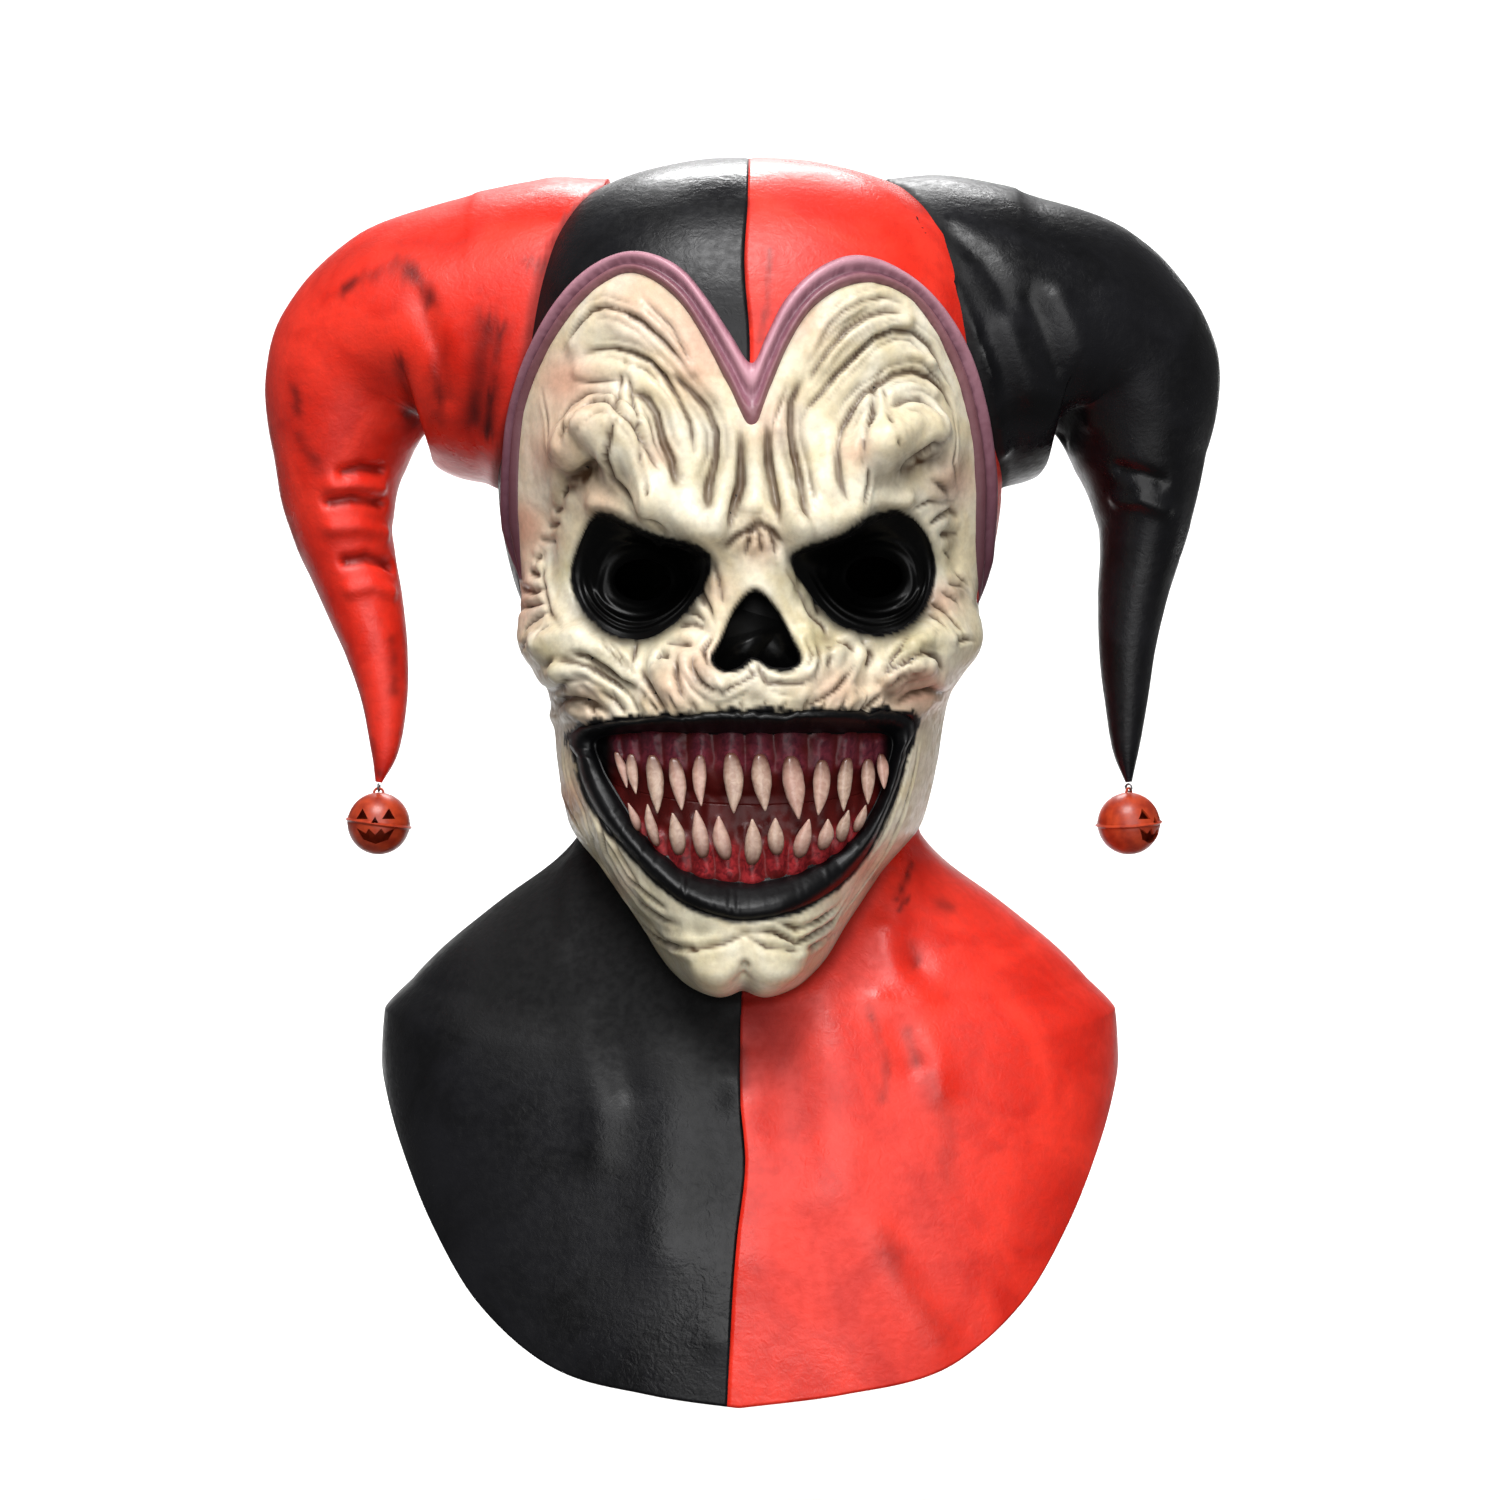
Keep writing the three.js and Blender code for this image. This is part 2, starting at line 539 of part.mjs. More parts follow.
// Hem of the bib: how far down it hangs at each share of the half width
const hemTable = [
  { across: 0, down: 1.0 },
  { across: 0.25, down: 0.99 },
  { across: 0.5, down: 0.972 },
  { across: 0.7, down: 0.925 },
  { across: 0.83, down: 0.865 },
  { across: 0.93, down: 0.8 },
  { across: 0.985, down: 0.755 },
  { across: 1, down: 0.742 },
];

function bibRing(share, angles, inset, reachBelow) {
  return angles.map((angle) => {
    const half = bibWidth / 2;
    const isFront = Math.sin(angle) < 0;
    const hem = ovalRadius(angle, half - inset, (isFront ? bibFront : bibBack) - inset, sectionPower);
    const shoulder = skinPoint(angle, -shoulderDown * chinDrop, inset);
    const across = Math.min(Math.abs(hem * Math.cos(angle)) / half, 1);
    const low = -bibDrop * smoothColumn(hemTable, 'across', across, 'down') - reachBelow;
    const top = shoulder.z;
    const ease = 1 - (1 - share) ** 2;
    const x = shoulder.x + (hem * Math.cos(angle) - shoulder.x) * ease;
    const y = shoulder.y + (hem * Math.sin(angle) - shoulder.y) * ease;
    return new THREE.Vector3(x, y, top + (low - top) * share);
  });
}

function bodySolid(angles, bodySteps, inset, reachBelow, withJaw = false) {
  const rings = crownHeights.filter((z) => z < crownTop - inset).map((z) => skinRing(z, angles, inset, withJaw));
  const heights = [
    ...heightsBetween(widestDown, 0.8, bodySteps),
    ...heightsBetween(0.8, shoulderDown, Math.ceil(bodySteps / 2)),
  ];
  heights.forEach((z) => rings.push(skinRing(z, angles, inset, withJaw)));
  [0, 0.12, 0.3, 0.55, 0.8, 1].forEach((share) => rings.push(bibRing(share, angles, inset, reachBelow)));
  return toSolid(skinRings(rings));
}

// Straight prism along the view direction, from outlines drawn in the front view
function frontPrism(outline, fromDepth, toDepth) {
  const shape = new THREE.Shape(outline.map((p) => new THREE.Vector2(p.x, p.z)));
  const prism = new THREE.ExtrudeGeometry(shape, { depth: toDepth - fromDepth, bevelEnabled: false });
  prism.rotateX(Math.PI / 2);
  prism.translate(0, toDepth, 0);
  return toSolid(prism);
}

function outlineOf(table, acrossKey = 'across', downKey = 'down') {
  return table.map((row) => ({ x: row[acrossKey] * halfHead, z: -row[downKey] * chinDrop }));
}

// Outline moved outwards by a distance, or inwards by a negative one
function grow(outline, distance) {
  const count = outline.length;
  let area = 0;
  outline.forEach((p, i) => {
    const q = outline[(i + 1) % count];
    area += p.x * q.z - q.x * p.z;
  });
  const side = area > 0 ? 1 : -1;
  return outline.map((p, i) => {
    const before = outline[(i + count - 1) % count];
    const after = outline[(i + 1) % count];
    const run = new THREE.Vector2(after.x - before.x, after.z - before.z).normalize();
    return { x: p.x + run.y * side * distance, z: p.z - run.x * side * distance };
  });
}

// A cut can leave crumbs thinner than paper along its edge: the piece is the largest body
function mainBody(solid) {
  return solid.decompose().sort((a, b) => b.volume() - a.volume())[0];
}

const farFront = -(jawDepth + faceDepth);
const trimSeam = trimTable.map((row) => ({
  x: ((row.outAcross + row.inAcross) / 2) * halfHead,
  z: (-(row.outDown + row.inDown) / 2) * chinDrop,
}));
const sideLimit = 1.4 * halfHead;
const faceOutline = [
  { x: -sideLimit, z: trimSeam[0].z },
  ...trimSeam,
  { x: sideLimit, z: trimSeam.at(-1).z },
  ...outlineOf(jawLineTable).reverse(),
];

// Hood, neck and bib with the face left out
const outerBody = bodySolid(evenAngles(neckSides), neckSteps, 0, 0);
const hollowBody = bodySolid(evenAngles(neckSides), neckSteps, latexWall, 40);
const faceWindow = frontPrism(grow(faceOutline, gap / 2), farFront, -sideSeamDepth + gap / 2);
const cowl = outerBody.subtract(hollowBody).subtract(faceWindow);

function halfSpace(isLeft) {
  const line = seamTable.map((row) => ({
    x: row.across * halfHead + (isLeft ? -gap / 2 : gap / 2),
    z: -row.down * chinDrop,
  }));
  const far = (isLeft ? -1 : 1) * (bibWidth / 2 + hornReach);
  const outline = [...line, { x: far, z: line.at(-1).z }, { x: far, z: line[0].z }];
  return frontPrism(outline, farFront, -farFront);
}
addPiece('cowl_black', mainBody(cowl.intersect(halfSpace(true))), black, 0.5);
addPiece('cowl_red', mainBody(cowl.intersect(halfSpace(false))), red, 0.5);

// Face with its openings
const mouthOutline = outlineOf(mouthTable, 'outAcross', 'outDown');
const fineBody = bodySolid(faceAngles(faceSides), faceSteps, 0, 0, true);
const hollowFace = bodySolid(faceAngles(Math.round(faceSides * 0.75)), Math.round(faceSteps * 0.75), latexWall + 3 * gap, 40, true);
const faceBlock = frontPrism(grow(faceOutline, -gap / 2), farFront, -sideSeamDepth - gap / 2);
let face = fineBody.subtract(hollowFace).intersect(faceBlock);
for (const table of [leftEyeTable, rightEyeTable, noseTable]) {
  face = face.subtract(frontPrism(grow(outlineOf(table), gap), farFront, -sideSeamDepth));
}
face = face.subtract(frontPrism(grow(mouthOutline, gap), farFront, -sideSeamDepth));
addPiece('face', mainBody(face), cream, 0.55);

// Trim: two rolls with a groove between them, laid over the edge of hood and forehead
const trimProfile = [
  { share: 0, rise: 0.35 },
  { share: 0.22, rise: 1.0 },
  { share: 0.5, rise: 0.5 },
  { share: 0.76, rise: 0.8 },
  { share: 1, rise: 0.2 },
];

function onSkin(x, z, lift) {
  const angle = turnAt(x, z);
  return skinPoint(angle, z, -lift);
}

const trimSeat = 0.35 * trimRise;

function trimBand(rise, spread) {
  const rings = trimTable.map((row) => {
    const at = (share, lift) => {
      const wide = (share - 0.5) * spread + 0.5;
      const x = (row.outAcross + (row.inAcross - row.outAcross) * wide) * halfHead;
      const z = -(row.outDown + (row.inDown - row.outDown) * wide) * chinDrop;
      return onSkin(x, z, lift);
    };
    const top = trimProfile.map((p) => at(p.share, trimSeat + (rise - trimSeat) * p.rise));
    return [...top, at(1, trimSeat), at(0.5, trimSeat), at(0, trimSeat)];
  });
  return toSolid(skinRings(rings));
}
addPiece('face_trim', trimBand(trimRise, 1), purple, 0.5);

// Bowl set in an opening: rings shrink and sink, with a wall, and may stay pierced
const socketRings = [
  { share: 1, sink: 0.02 },
  { share: 0.9, sink: 0.45 },
  { share: 0.7, sink: 0.85 },
  { share: 0.46, sink: 1 },
];

function bowl(table, depth, wall, pierced) {
  const outline = grow(outlineOf(table), -gap);
  const centre = new THREE.Vector2();
  outline.forEach((p) => centre.add(new THREE.Vector2(p.x, p.z).divideScalar(outline.length)));
  const ringAt = (share, sink) => outline.map((p) => {
    const rim = onSkin(p.x, p.z, 0);
    const x = centre.x + (p.x - centre.x) * share;
    const z = centre.y + (p.z - centre.y) * share;
    return new THREE.Vector3(x, rim.y + sink, z);
  });
  const inside = socketRings.map((row) => ringAt(row.share, row.sink * depth));
  const outside = socketRings.map((row) => ringAt(row.share, row.sink * depth + wall)).reverse();
  if (pierced) return skinRings([...inside, ...outside], true);
  return skinRings([...inside.reverse(), ...outside.reverse()]);
}
addPiece('eye_socket_left', bowl(leftEyeTable, socketDepth, latexWall, true), gloss, 0.2);
addPiece('eye_socket_right', bowl(rightEyeTable, socketDepth, latexWall, true), gloss, 0.2);
addPiece('nose_cavity', bowl(noseTable, noseDepth, latexWall, false), gloss, 0.25);

// Lips: a roll between the outer and the inner edge that sinks towards the teeth
const lipRings = mouthTable.map((row) => {
  const at = (share, sink) => {
    const x = (row.outAcross + (row.inAcross - row.outAcross) * share) * halfHead;
    const z = -(row.outDown + (row.inDown - row.outDown) * share) * chinDrop;
    return onMouth(x, z, sink);
  };
  return [
    at(0.02, 0.2 * lipRoll),
    at(0.3, -0.35 * lipRoll),
    at(0.65, 0.3 * lipDepth),
    at(1, lipDepth - 0.3 * lipRoll),
    at(1, lipDepth + 0.5 * lipRoll),
    at(0.5, lipDepth + 0.4 * lipRoll),
    at(0.04, 0.6 * lipDepth + 0.6 * lipRoll),
  ];
});
addPiece('lips', skinRings(lipRings, true), 0x1c1b1f, 0.35);

// A point behind the level of the skin, inside the mouth
function onMouth(x, z, sink) {
  return new THREE.Vector3(x, onSkin(x, z, 0).y + sink, z);
}

const gumSink = lipDepth + lipRoll;

function gumPlate(edge, biteGap) {
  const steps = 18;
  const first = gumTable[0].across;
  const last = gumTable.at(-1).across;
  const rings = [];
  for (let i = 0; i <= steps; i += 1) {
    const across = first + ((last - first) * i) / steps;
    const far = -chinDrop * smoothColumn(gumTable, 'across', across, edge);
    const near = -chinDrop * smoothColumn(gumTable, 'across', across, 'bite') + biteGap;
    const x = across * halfHead;
    const at = (share, sink) => onMouth(x, far + (near - far) * share, sink);
    rings.push([
      at(0, gumSink),
      at(0.3, gumSink),
      at(0.5, gumSink - 0.3 * gumWall),
      at(1, gumSink + 0.4 * gumWall),
      at(1, gumSink + 1.4 * gumWall),
      at(0, gumSink + gumWall),
    ]);
  }
  return skinRings(rings);
}
addPiece('gum_upper', gumPlate('top', gap / 2), gumDark, 0.3);
addPiece('gum_lower', gumPlate('foot', -gap / 2), gumRed, 0.3);

// A tooth: a leaf-shaped cone that leans out from the gum
const toothSections = [
  { share: 0, wide: 0.5, deep: 0.5 },
  { share: 0.4, wide: 1, deep: 1 },
  { share: 0.98, wide: 0.12, deep: 0.15 },
];
const toothSides = 5;

function tooth(row) {
  const root = -row.root * chinDrop;
  const tip = -row.tip * chinDrop;
  const x = row.across * halfHead;
  const half = (row.wide * toothWidth) / 2;
  const back = onSkin(x, (root + tip) / 2, 0).y + gumSink - 0.3 * gumWall + toothSeat;
  const turn = Math.atan2(x, jawDepth) * 0.6;
  const rings = toothSections.map((section) => evenAngles(toothSides).map((angle) => {
    const u = Math.cos(angle) * half * section.wide;
    const v = Math.sin(angle) * toothDepth * 0.5 * section.deep;
    return new THREE.Vector3(
      x + u * Math.cos(turn) + v * Math.sin(turn),
      back - toothDepth * 0.55 + v - section.share * toothLean,
      root + (tip - root) * section.share,
    );
  }));
  return skinRings(rings);
}

function addTeeth(prefix, table) {
  table.forEach((row, i) => {
    addPiece(`${prefix}_${String(i + 1).padStart(2, '0')}`, tooth(row), ivory, 0.35);
  });
}
addTeeth('tooth_upper', upperTeethTable);
addTeeth('tooth_lower', lowerTeethTable);

// Horns: hollow, trimmed where they meet the hood
const hornSides = 12;
// Rows to either side that a section of the horn is square to
const hornSteps = 2;

function hornBody(table, side, wall) {
  const middle = table.map((row) => new THREE.Vector3(side * row.out * hornReach, 0, -row.drop * hornDrop));
  const rings = table.map((row, i) => {
    const before = middle[Math.max(i - hornSteps, 0)];
    const after = middle[Math.min(i + hornSteps, middle.length - 1)];
    const run = new THREE.Vector3().subVectors(after, before).normalize();
    const across = new THREE.Vector3().crossVectors(run, new THREE.Vector3(0, 1, 0)).normalize();
    return evenAngles(hornSides).map((angle) => {
      const tall = row.tall * hornRadius - wall;
      const deep = row.deep * hornRadius - wall;
      const point = middle[i].clone().addScaledVector(across, tall * Math.cos(angle));
      point.y += deep * Math.sin(angle);
      return point;
    });
  });
  return rings;
}

function horn(table, side) {
  const outer = toSolid(skinRings(hornBody(table, side, 0)));
  const roomy = table.filter((row) => row.tall * hornRadius > 2.5 * latexWall);
  const inner = toSolid(skinRings(hornBody(roomy, side, latexWall)));
  const base = bodySolid(evenAngles(neckSides), neckSteps, -gap, 0);
  const past = halfHorn(side);
  return mainBody(outer.subtract(inner).subtract(base).subtract(trimBand(trimRise + 2 * gap, 1.2)).intersect(past));
}

// Keeps only what lies on the horn's own side of the head
function halfHorn(side) {
  const near = side * 0.3 * halfHead;
  const far = side * 2 * hornReach;
  const outline = [
    { x: near, z: hornDrop },
    { x: far, z: hornDrop },
    { x: far, z: -2 * hornDrop },
    { x: near, z: -2 * hornDrop },
  ];
  return frontPrism(outline, farFront, -farFront);
}
addPiece('horn_red', horn(leftHornTable, -1), red, 0.5);
addPiece('horn_black', horn(rightHornTable, 1), black, 0.45);

// Bells: a hollow ball with a raised rim round its middle, a pierced pumpkin face and a bail
const bellMouth = [
  { x: -0.62, z: -0.12 }, { x: -0.3, z: -0.3 }, { x: -0.2, z: -0.14 }, { x: 0, z: -0.34 },
  { x: 0.2, z: -0.14 }, { x: 0.3, z: -0.3 }, { x: 0.62, z: -0.12 }, { x: 0.4, z: -0.5 },
  { x: 0, z: -0.64 }, { x: -0.4, z: -0.5 },
];
const bellEyes = [[-0.42, 0.3], [0.42, 0.3], [0, 0.12]];

function ring(radius, wire, sides, wireSides) {
  return new THREE.TorusGeometry(radius, wire, wireSides, sides);
}

function bell(turn) {
  const profile = [];
  const rim = 0.09;
  const steps = 6;
  for (let i = 0; i <= steps; i += 1) {
    const a = -Math.PI / 2 + (Math.PI * i) / steps;
    if (i === steps / 2) {
      profile.push(new THREE.Vector2(bellRadius, -rim * bellRadius));
      profile.push(new THREE.Vector2(bellRadius * (1 + rim), 0));
      profile.push(new THREE.Vector2(bellRadius, rim * bellRadius));
    } else {
      profile.push(new THREE.Vector2(bellRadius * Math.max(Math.cos(a), 0), bellRadius * Math.sin(a)));
    }
  }
  const shell = new THREE.LatheGeometry(profile, 12);
  shell.rotateX(Math.PI / 2);
  const hollow = new THREE.SphereGeometry(bellRadius - bellWall, 10, 6);
  hollow.rotateX(Math.PI / 2);
  let solid = toSolid(shell).subtract(toSolid(hollow));
  const cut = (points) => frontPrism(points, -2 * bellRadius, 0);
  solid = solid.subtract(cut(bellMouth.map((p) => ({ x: p.x * bellRadius, z: p.z * bellRadius }))));
  for (const [x, z] of bellEyes) {
    const size = z > 0.2 ? 0.2 : 0.12;
    solid = solid.subtract(cut([
      { x: (x - size) * bellRadius, z: (z - size * 0.7) * bellRadius },
      { x: (x + size) * bellRadius, z: (z - size * 0.7) * bellRadius },
      { x: x * bellRadius, z: (z + size) * bellRadius },
    ]));
  }
  const bail = ring(bailRadius, bellWire, 9, 5);
  bail.rotateX(Math.PI / 2);
  bail.translate(0, 0, bellRadius - 0.1 * bailRadius);
  const bailSolid = toSolid(bail).subtract(toSolid(hollow));
  return solid.add(bailSolid).rotate([0, 0, turn]);
}

// Each bell hangs from the horn tip by a wire ring through its bail
function addBell(name, table, side, turn) {
  const tip = table.at(-1);
  const x = side * tip.out * hornReach;
  const tipZ = -tip.drop * hornDrop - gap;
  const ringZ = tipZ - ringRadius - bellWire;
  const bailTop = ringZ - ringRadius + bellWire + gap + 2 * bellWire;
  const bellZ = bailTop - bailRadius - bellWire - bellRadius + 0.1 * bailRadius;
  addPiece(`bell_${name}`, bell(turn).translate([x, 0, bellZ]), orange, 0.35, 0.3);
  const wireRing = ring(ringRadius, bellWire, 9, 5);
  wireRing.rotateZ(Math.PI / 2);
  wireRing.rotateY(Math.PI / 2);
  wireRing.rotateX(Math.PI / 2);
  wireRing.rotateZ((turn * Math.PI) / 180);
  wireRing.translate(x, 0, ringZ);
  addPiece(`bell_ring_${name}`, wireRing, wireGrey, 0.35, 0.9);
}
addBell('left', leftHornTable, -1, 0);
addBell('right', rightHornTable, 1, 50);

export default group;
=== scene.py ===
"""Over-the-head jester mask in painted latex, held up as a head holds it.

Lengths in this script are millimetres; every mesh is made in metres. +Z is up, the face looks along -Y
and the origin is inside the crown.
"""
import math

import bpy
import numpy as np
from mathutils import Matrix, Vector


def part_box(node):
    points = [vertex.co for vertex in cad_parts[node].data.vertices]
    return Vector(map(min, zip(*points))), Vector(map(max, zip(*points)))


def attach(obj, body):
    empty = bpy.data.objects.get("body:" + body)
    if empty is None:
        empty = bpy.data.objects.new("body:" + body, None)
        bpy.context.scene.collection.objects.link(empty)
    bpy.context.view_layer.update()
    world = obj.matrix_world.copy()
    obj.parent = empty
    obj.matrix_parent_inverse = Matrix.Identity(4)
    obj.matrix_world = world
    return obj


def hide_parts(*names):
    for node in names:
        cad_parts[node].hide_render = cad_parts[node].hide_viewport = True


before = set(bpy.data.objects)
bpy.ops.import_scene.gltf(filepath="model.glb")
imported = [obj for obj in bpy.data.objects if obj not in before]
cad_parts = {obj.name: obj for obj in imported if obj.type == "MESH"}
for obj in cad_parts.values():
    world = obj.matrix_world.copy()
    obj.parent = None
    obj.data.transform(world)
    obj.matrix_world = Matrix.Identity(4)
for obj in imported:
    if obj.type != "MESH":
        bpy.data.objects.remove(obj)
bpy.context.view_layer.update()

bl_info = {
    "name": "Jester mask",
    "version": (1, 0, 0),
    "blender": (4, 5, 0),
    "location": "3D View > Sidebar > Jester mask",
    "description": "Builds the painted latex skins, teeth, trim and bells of a jester mask",
    "category": "Object",
}

MM = 0.001
BODY = "root"
PAINT = "paint"

# Photograph: place of the camera and size of a pixel, one metre in front of it
PHOTO_SIZE = 1500
PHOTO_MIDDLE = 750
CAMERA_AWAY = 1100.0
CAMERA_DROP = -209.3
PIXEL_SLOPE = 0.3636 / CAMERA_AWAY
SENSOR_WIDTH = 36.0

# Sizes in mm that the solids have too
HALF_HEAD = 91.0
FACE_DEPTH = 97.0
NAPE_DEPTH = 101.0
CROWN_RISE = 74.0
CHIN_DROP = 296.0
JAW_DEPTH = 105.0
BIB_WIDTH = 266.0
BIB_DROP = 430.0
BIB_FRONT = 86.0
BIB_BACK = 90.0
SIDE_SEAM = 38.0
RELIEF_RISE = 10.0
HORN_RADIUS = 60.0
HORN_DROP = 221.0
HORN_REACH = 150.0
BELL_RADIUS = 11.3
LIP_THICKNESS = 2.2
TOOTH_SINK = 5.5
GUM_SINK = 9.6
GUM_BACK = 13.0
GUM_SWELL = 2.6
RIM_CLEAR = 1.0
BAIL_RADIUS = 1.7
RING_RADIUS = 1.3
CROWN_POWER = 2.3
SECTION_POWER = 2.35
JAW_POWER = 2.5


def table(columns, *rows):
    """Rows of numbers kept under named columns."""
    names = columns.split()
    return {name: np.array([row[i] for row in rows], dtype=float) for i, name in enumerate(names)}


# The neck is a little narrower behind the jaw than its solid is, so the jaw hides it from the front
NECK = table(
    "down wide fore aft",
    (0.243, 1.0, 1.0, 0.99),
    (0.338, 1.0, 1.0, 1.0),
    (0.422, 0.99, 0.98, 0.99),
    (0.507, 0.93, 0.98, 0.97),
    (0.591, 0.815, 1.03, 0.93),
    (0.676, 0.735, 1.07, 0.87),
    (0.76, 0.685, 1.08, 0.79),
    (0.795, 0.67, 0.8, 0.76),
    (0.811, 0.685, 0.46, 0.75),
    (0.845, 0.79, 0.46, 0.75),
    (0.885, 0.97, 0.5, 0.78),
    (0.926, 1.14, 0.56, 0.82),
    (0.966, 1.3, 0.62, 0.86),
    (1.0, 1.415, 0.67, 0.9),
    (1.014, 1.45, 0.69, 0.91),
)
JAW = table(
    "down wide fore side",
    (0.243, 0.985, 0.925, 0),
    (0.422, 0.955, 0.93, 0),
    (0.507, 0.9, 0.93, 0),
    (0.585, 0.83, 0.95, 0),
    (0.635, 0.79, 0.975, 0),
    (0.676, 0.775, 0.99, -0.01),
    (0.721, 0.758, 1.0, -0.02),
    (0.777, 0.72, 1.0, -0.03),
    (0.804, 0.685, 1.0, -0.035),
    (0.851, 0.556, 1.0, -0.038),
    (0.912, 0.42, 0.99, -0.03),
    (0.95, 0.345, 0.97, -0.026),
    (0.97, 0.29, 0.92, -0.026),
    (0.984, 0.235, 0.83, -0.026),
    (0.994, 0.16, 0.68, -0.026),
    (1.004, 0.06, 0.3, -0.026),
)
RELIEF = table(
    "across down to_across to_down size rise",
    (-0.66, 0.37, -0.5, 0.345, 0.13, 0.45),
    (-0.42, 0.385, -0.17, 0.452, 0.14, 0.75),
    (0.7, 0.37, 0.5, 0.345, 0.13, 0.45),
    (0.43, 0.385, 0.19, 0.452, 0.14, 0.75),
    (-0.78, 0.43, -0.8, 0.47, 0.14, -0.3),
    (0.78, 0.43, 0.8, 0.47, 0.14, -0.3),
    (-0.42, 0.51, -0.38, 0.51, 0.3, -0.9),
    (0.44, 0.51, 0.4, 0.51, 0.3, -0.9),
    (-0.78, 0.575, -0.62, 0.605, 0.17, 1.0),
    (0.78, 0.575, 0.62, 0.605, 0.17, 1.0),
    (-0.55, 0.645, -0.42, 0.64, 0.1, -0.35),
    (0.56, 0.645, 0.45, 0.64, 0.1, -0.35),
    (0.01, 0.47, 0.02, 0.52, 0.13, 0.6),
    (-0.22, 0.635, 0.26, 0.635, 0.16, 0.55),
    (-0.17, 0.955, -0.14, 0.965, 0.12, 0.3),
    (0.1, 0.955, 0.07, 0.965, 0.12, 0.3),
    (-0.028, 0.965, -0.028, 1.0, 0.05, -0.5),
)
TRIM = table(
    "out_across out_down in_across in_down",
    (-0.885, 0.505, -0.868, 0.505),
    (-0.925, 0.47, -0.885, 0.47),
    (-0.945, 0.425, -0.888, 0.425),
    (-0.935, 0.37, -0.88, 0.37),
    (-0.905, 0.31, -0.855, 0.315),
    (-0.835, 0.25, -0.793, 0.267),
    (-0.74, 0.2, -0.69, 0.22),
    (-0.61, 0.16, -0.575, 0.185),
    (-0.481, 0.142, -0.46, 0.168),
    (-0.365, 0.142, -0.36, 0.177),
    (-0.249, 0.159, -0.255, 0.205),
    (-0.153, 0.194, -0.17, 0.245),
    (-0.069, 0.232, -0.08, 0.298),
    (0.005, 0.262, 0.007, 0.346),
    (0.06, 0.232, 0.075, 0.3),
    (0.13, 0.192, 0.135, 0.256),
    (0.235, 0.161, 0.215, 0.216),
    (0.35, 0.144, 0.32, 0.19),
    (0.45, 0.146, 0.43, 0.18),
    (0.56, 0.161, 0.54, 0.186),
    (0.665, 0.184, 0.625, 0.204),
    (0.76, 0.214, 0.705, 0.238),
    (0.84, 0.258, 0.775, 0.28),
    (0.9, 0.315, 0.825, 0.33),
    (0.938, 0.39, 0.86, 0.395),
    (0.93, 0.46, 0.87, 0.46),
    (0.905, 0.505, 0.865, 0.505),
    (0.87, 0.535, 0.852, 0.535),
)
JAW_LINE = table(
    "across down",
    (-1.4, 0.8),
    (-0.713, 0.804),
    (-0.585, 0.851),
    (-0.436, 0.912),
    (-0.339, 0.958),
    (-0.262, 0.98),
    (-0.168, 0.996),
    (-0.028, 1.002),
    (0.1, 0.996),
    (0.206, 0.98),
    (0.3, 0.95),
    (0.38, 0.912),
    (0.505, 0.851),
    (0.644, 0.804),
    (1.4, 0.8),
)
LEFT_EYE = table(
    "across down",
    (-0.675, 0.508),
    (-0.63, 0.462),
    (-0.55, 0.436),
    (-0.369, 0.46),
    (-0.185, 0.478),
    (-0.135, 0.494),
    (-0.155, 0.52),
    (-0.235, 0.555),
    (-0.37, 0.582),
    (-0.5, 0.58),
    (-0.62, 0.551),
)
RIGHT_EYE = table(
    "across down",
    (0.148, 0.488),
    (0.336, 0.463),
    (0.473, 0.437),
    (0.59, 0.438),
    (0.672, 0.465),
    (0.702, 0.503),
    (0.66, 0.546),
    (0.57, 0.572),
    (0.45, 0.58),
    (0.315, 0.565),
    (0.2, 0.528),
)
NOSE = table(
    "across down",
    (0.018, 0.527),
    (-0.054, 0.546),
    (-0.105, 0.58),
    (-0.145, 0.608),
    (-0.095, 0.622),
    (-0.03, 0.619),
    (0.018, 0.609),
    (0.07, 0.619),
    (0.145, 0.622),
    (0.192, 0.608),
    (0.155, 0.58),
    (0.094, 0.546),
)
MOUTH = table(
    "out_across out_down in_across in_down",
    (-0.672, 0.685, -0.572, 0.695),
    (-0.477, 0.672, -0.42, 0.687),
    (-0.254, 0.667, -0.22, 0.688),
    (-0.08, 0.665, -0.05, 0.689),
    (0.1, 0.664, 0.1, 0.689),
    (0.34, 0.663, 0.31, 0.688),
    (0.6, 0.668, 0.518, 0.69),
    (0.575, 0.721, 0.51, 0.73),
    (0.512, 0.776, 0.465, 0.769),
    (0.428, 0.828, 0.38, 0.806),
    (0.309, 0.866, 0.27, 0.832),
    (0.14, 0.89, 0.115, 0.85),
    (-0.04, 0.897, -0.045, 0.855),
    (-0.213, 0.883, -0.205, 0.846),
    (-0.331, 0.859, -0.31, 0.826),
    (-0.447, 0.824, -0.41, 0.795),
    (-0.584, 0.774, -0.5, 0.755),
    (-0.652, 0.724, -0.555, 0.725),
)
GUM = table(
    "across top bite foot",
    (-0.59, 0.69, 0.736, 0.75),
    (-0.45, 0.68, 0.752, 0.8),
    (-0.25, 0.678, 0.764, 0.853),
    (0.0, 0.677, 0.769, 0.868),
    (0.22, 0.677, 0.766, 0.853),
    (0.42, 0.678, 0.756, 0.8),
    (0.55, 0.684, 0.738, 0.754),
)
SEAM = table(
    "down across",
    (-0.2, 0),
    (0.08, -0.008),
    (0.16, -0.02),
    (0.26, 0),
    (1.0, -0.034),
    (1.1, -0.034),
    (1.18, -0.011),
    (1.264, -0.04),
    (1.346, -0.059),
    (1.6, -0.096),
)
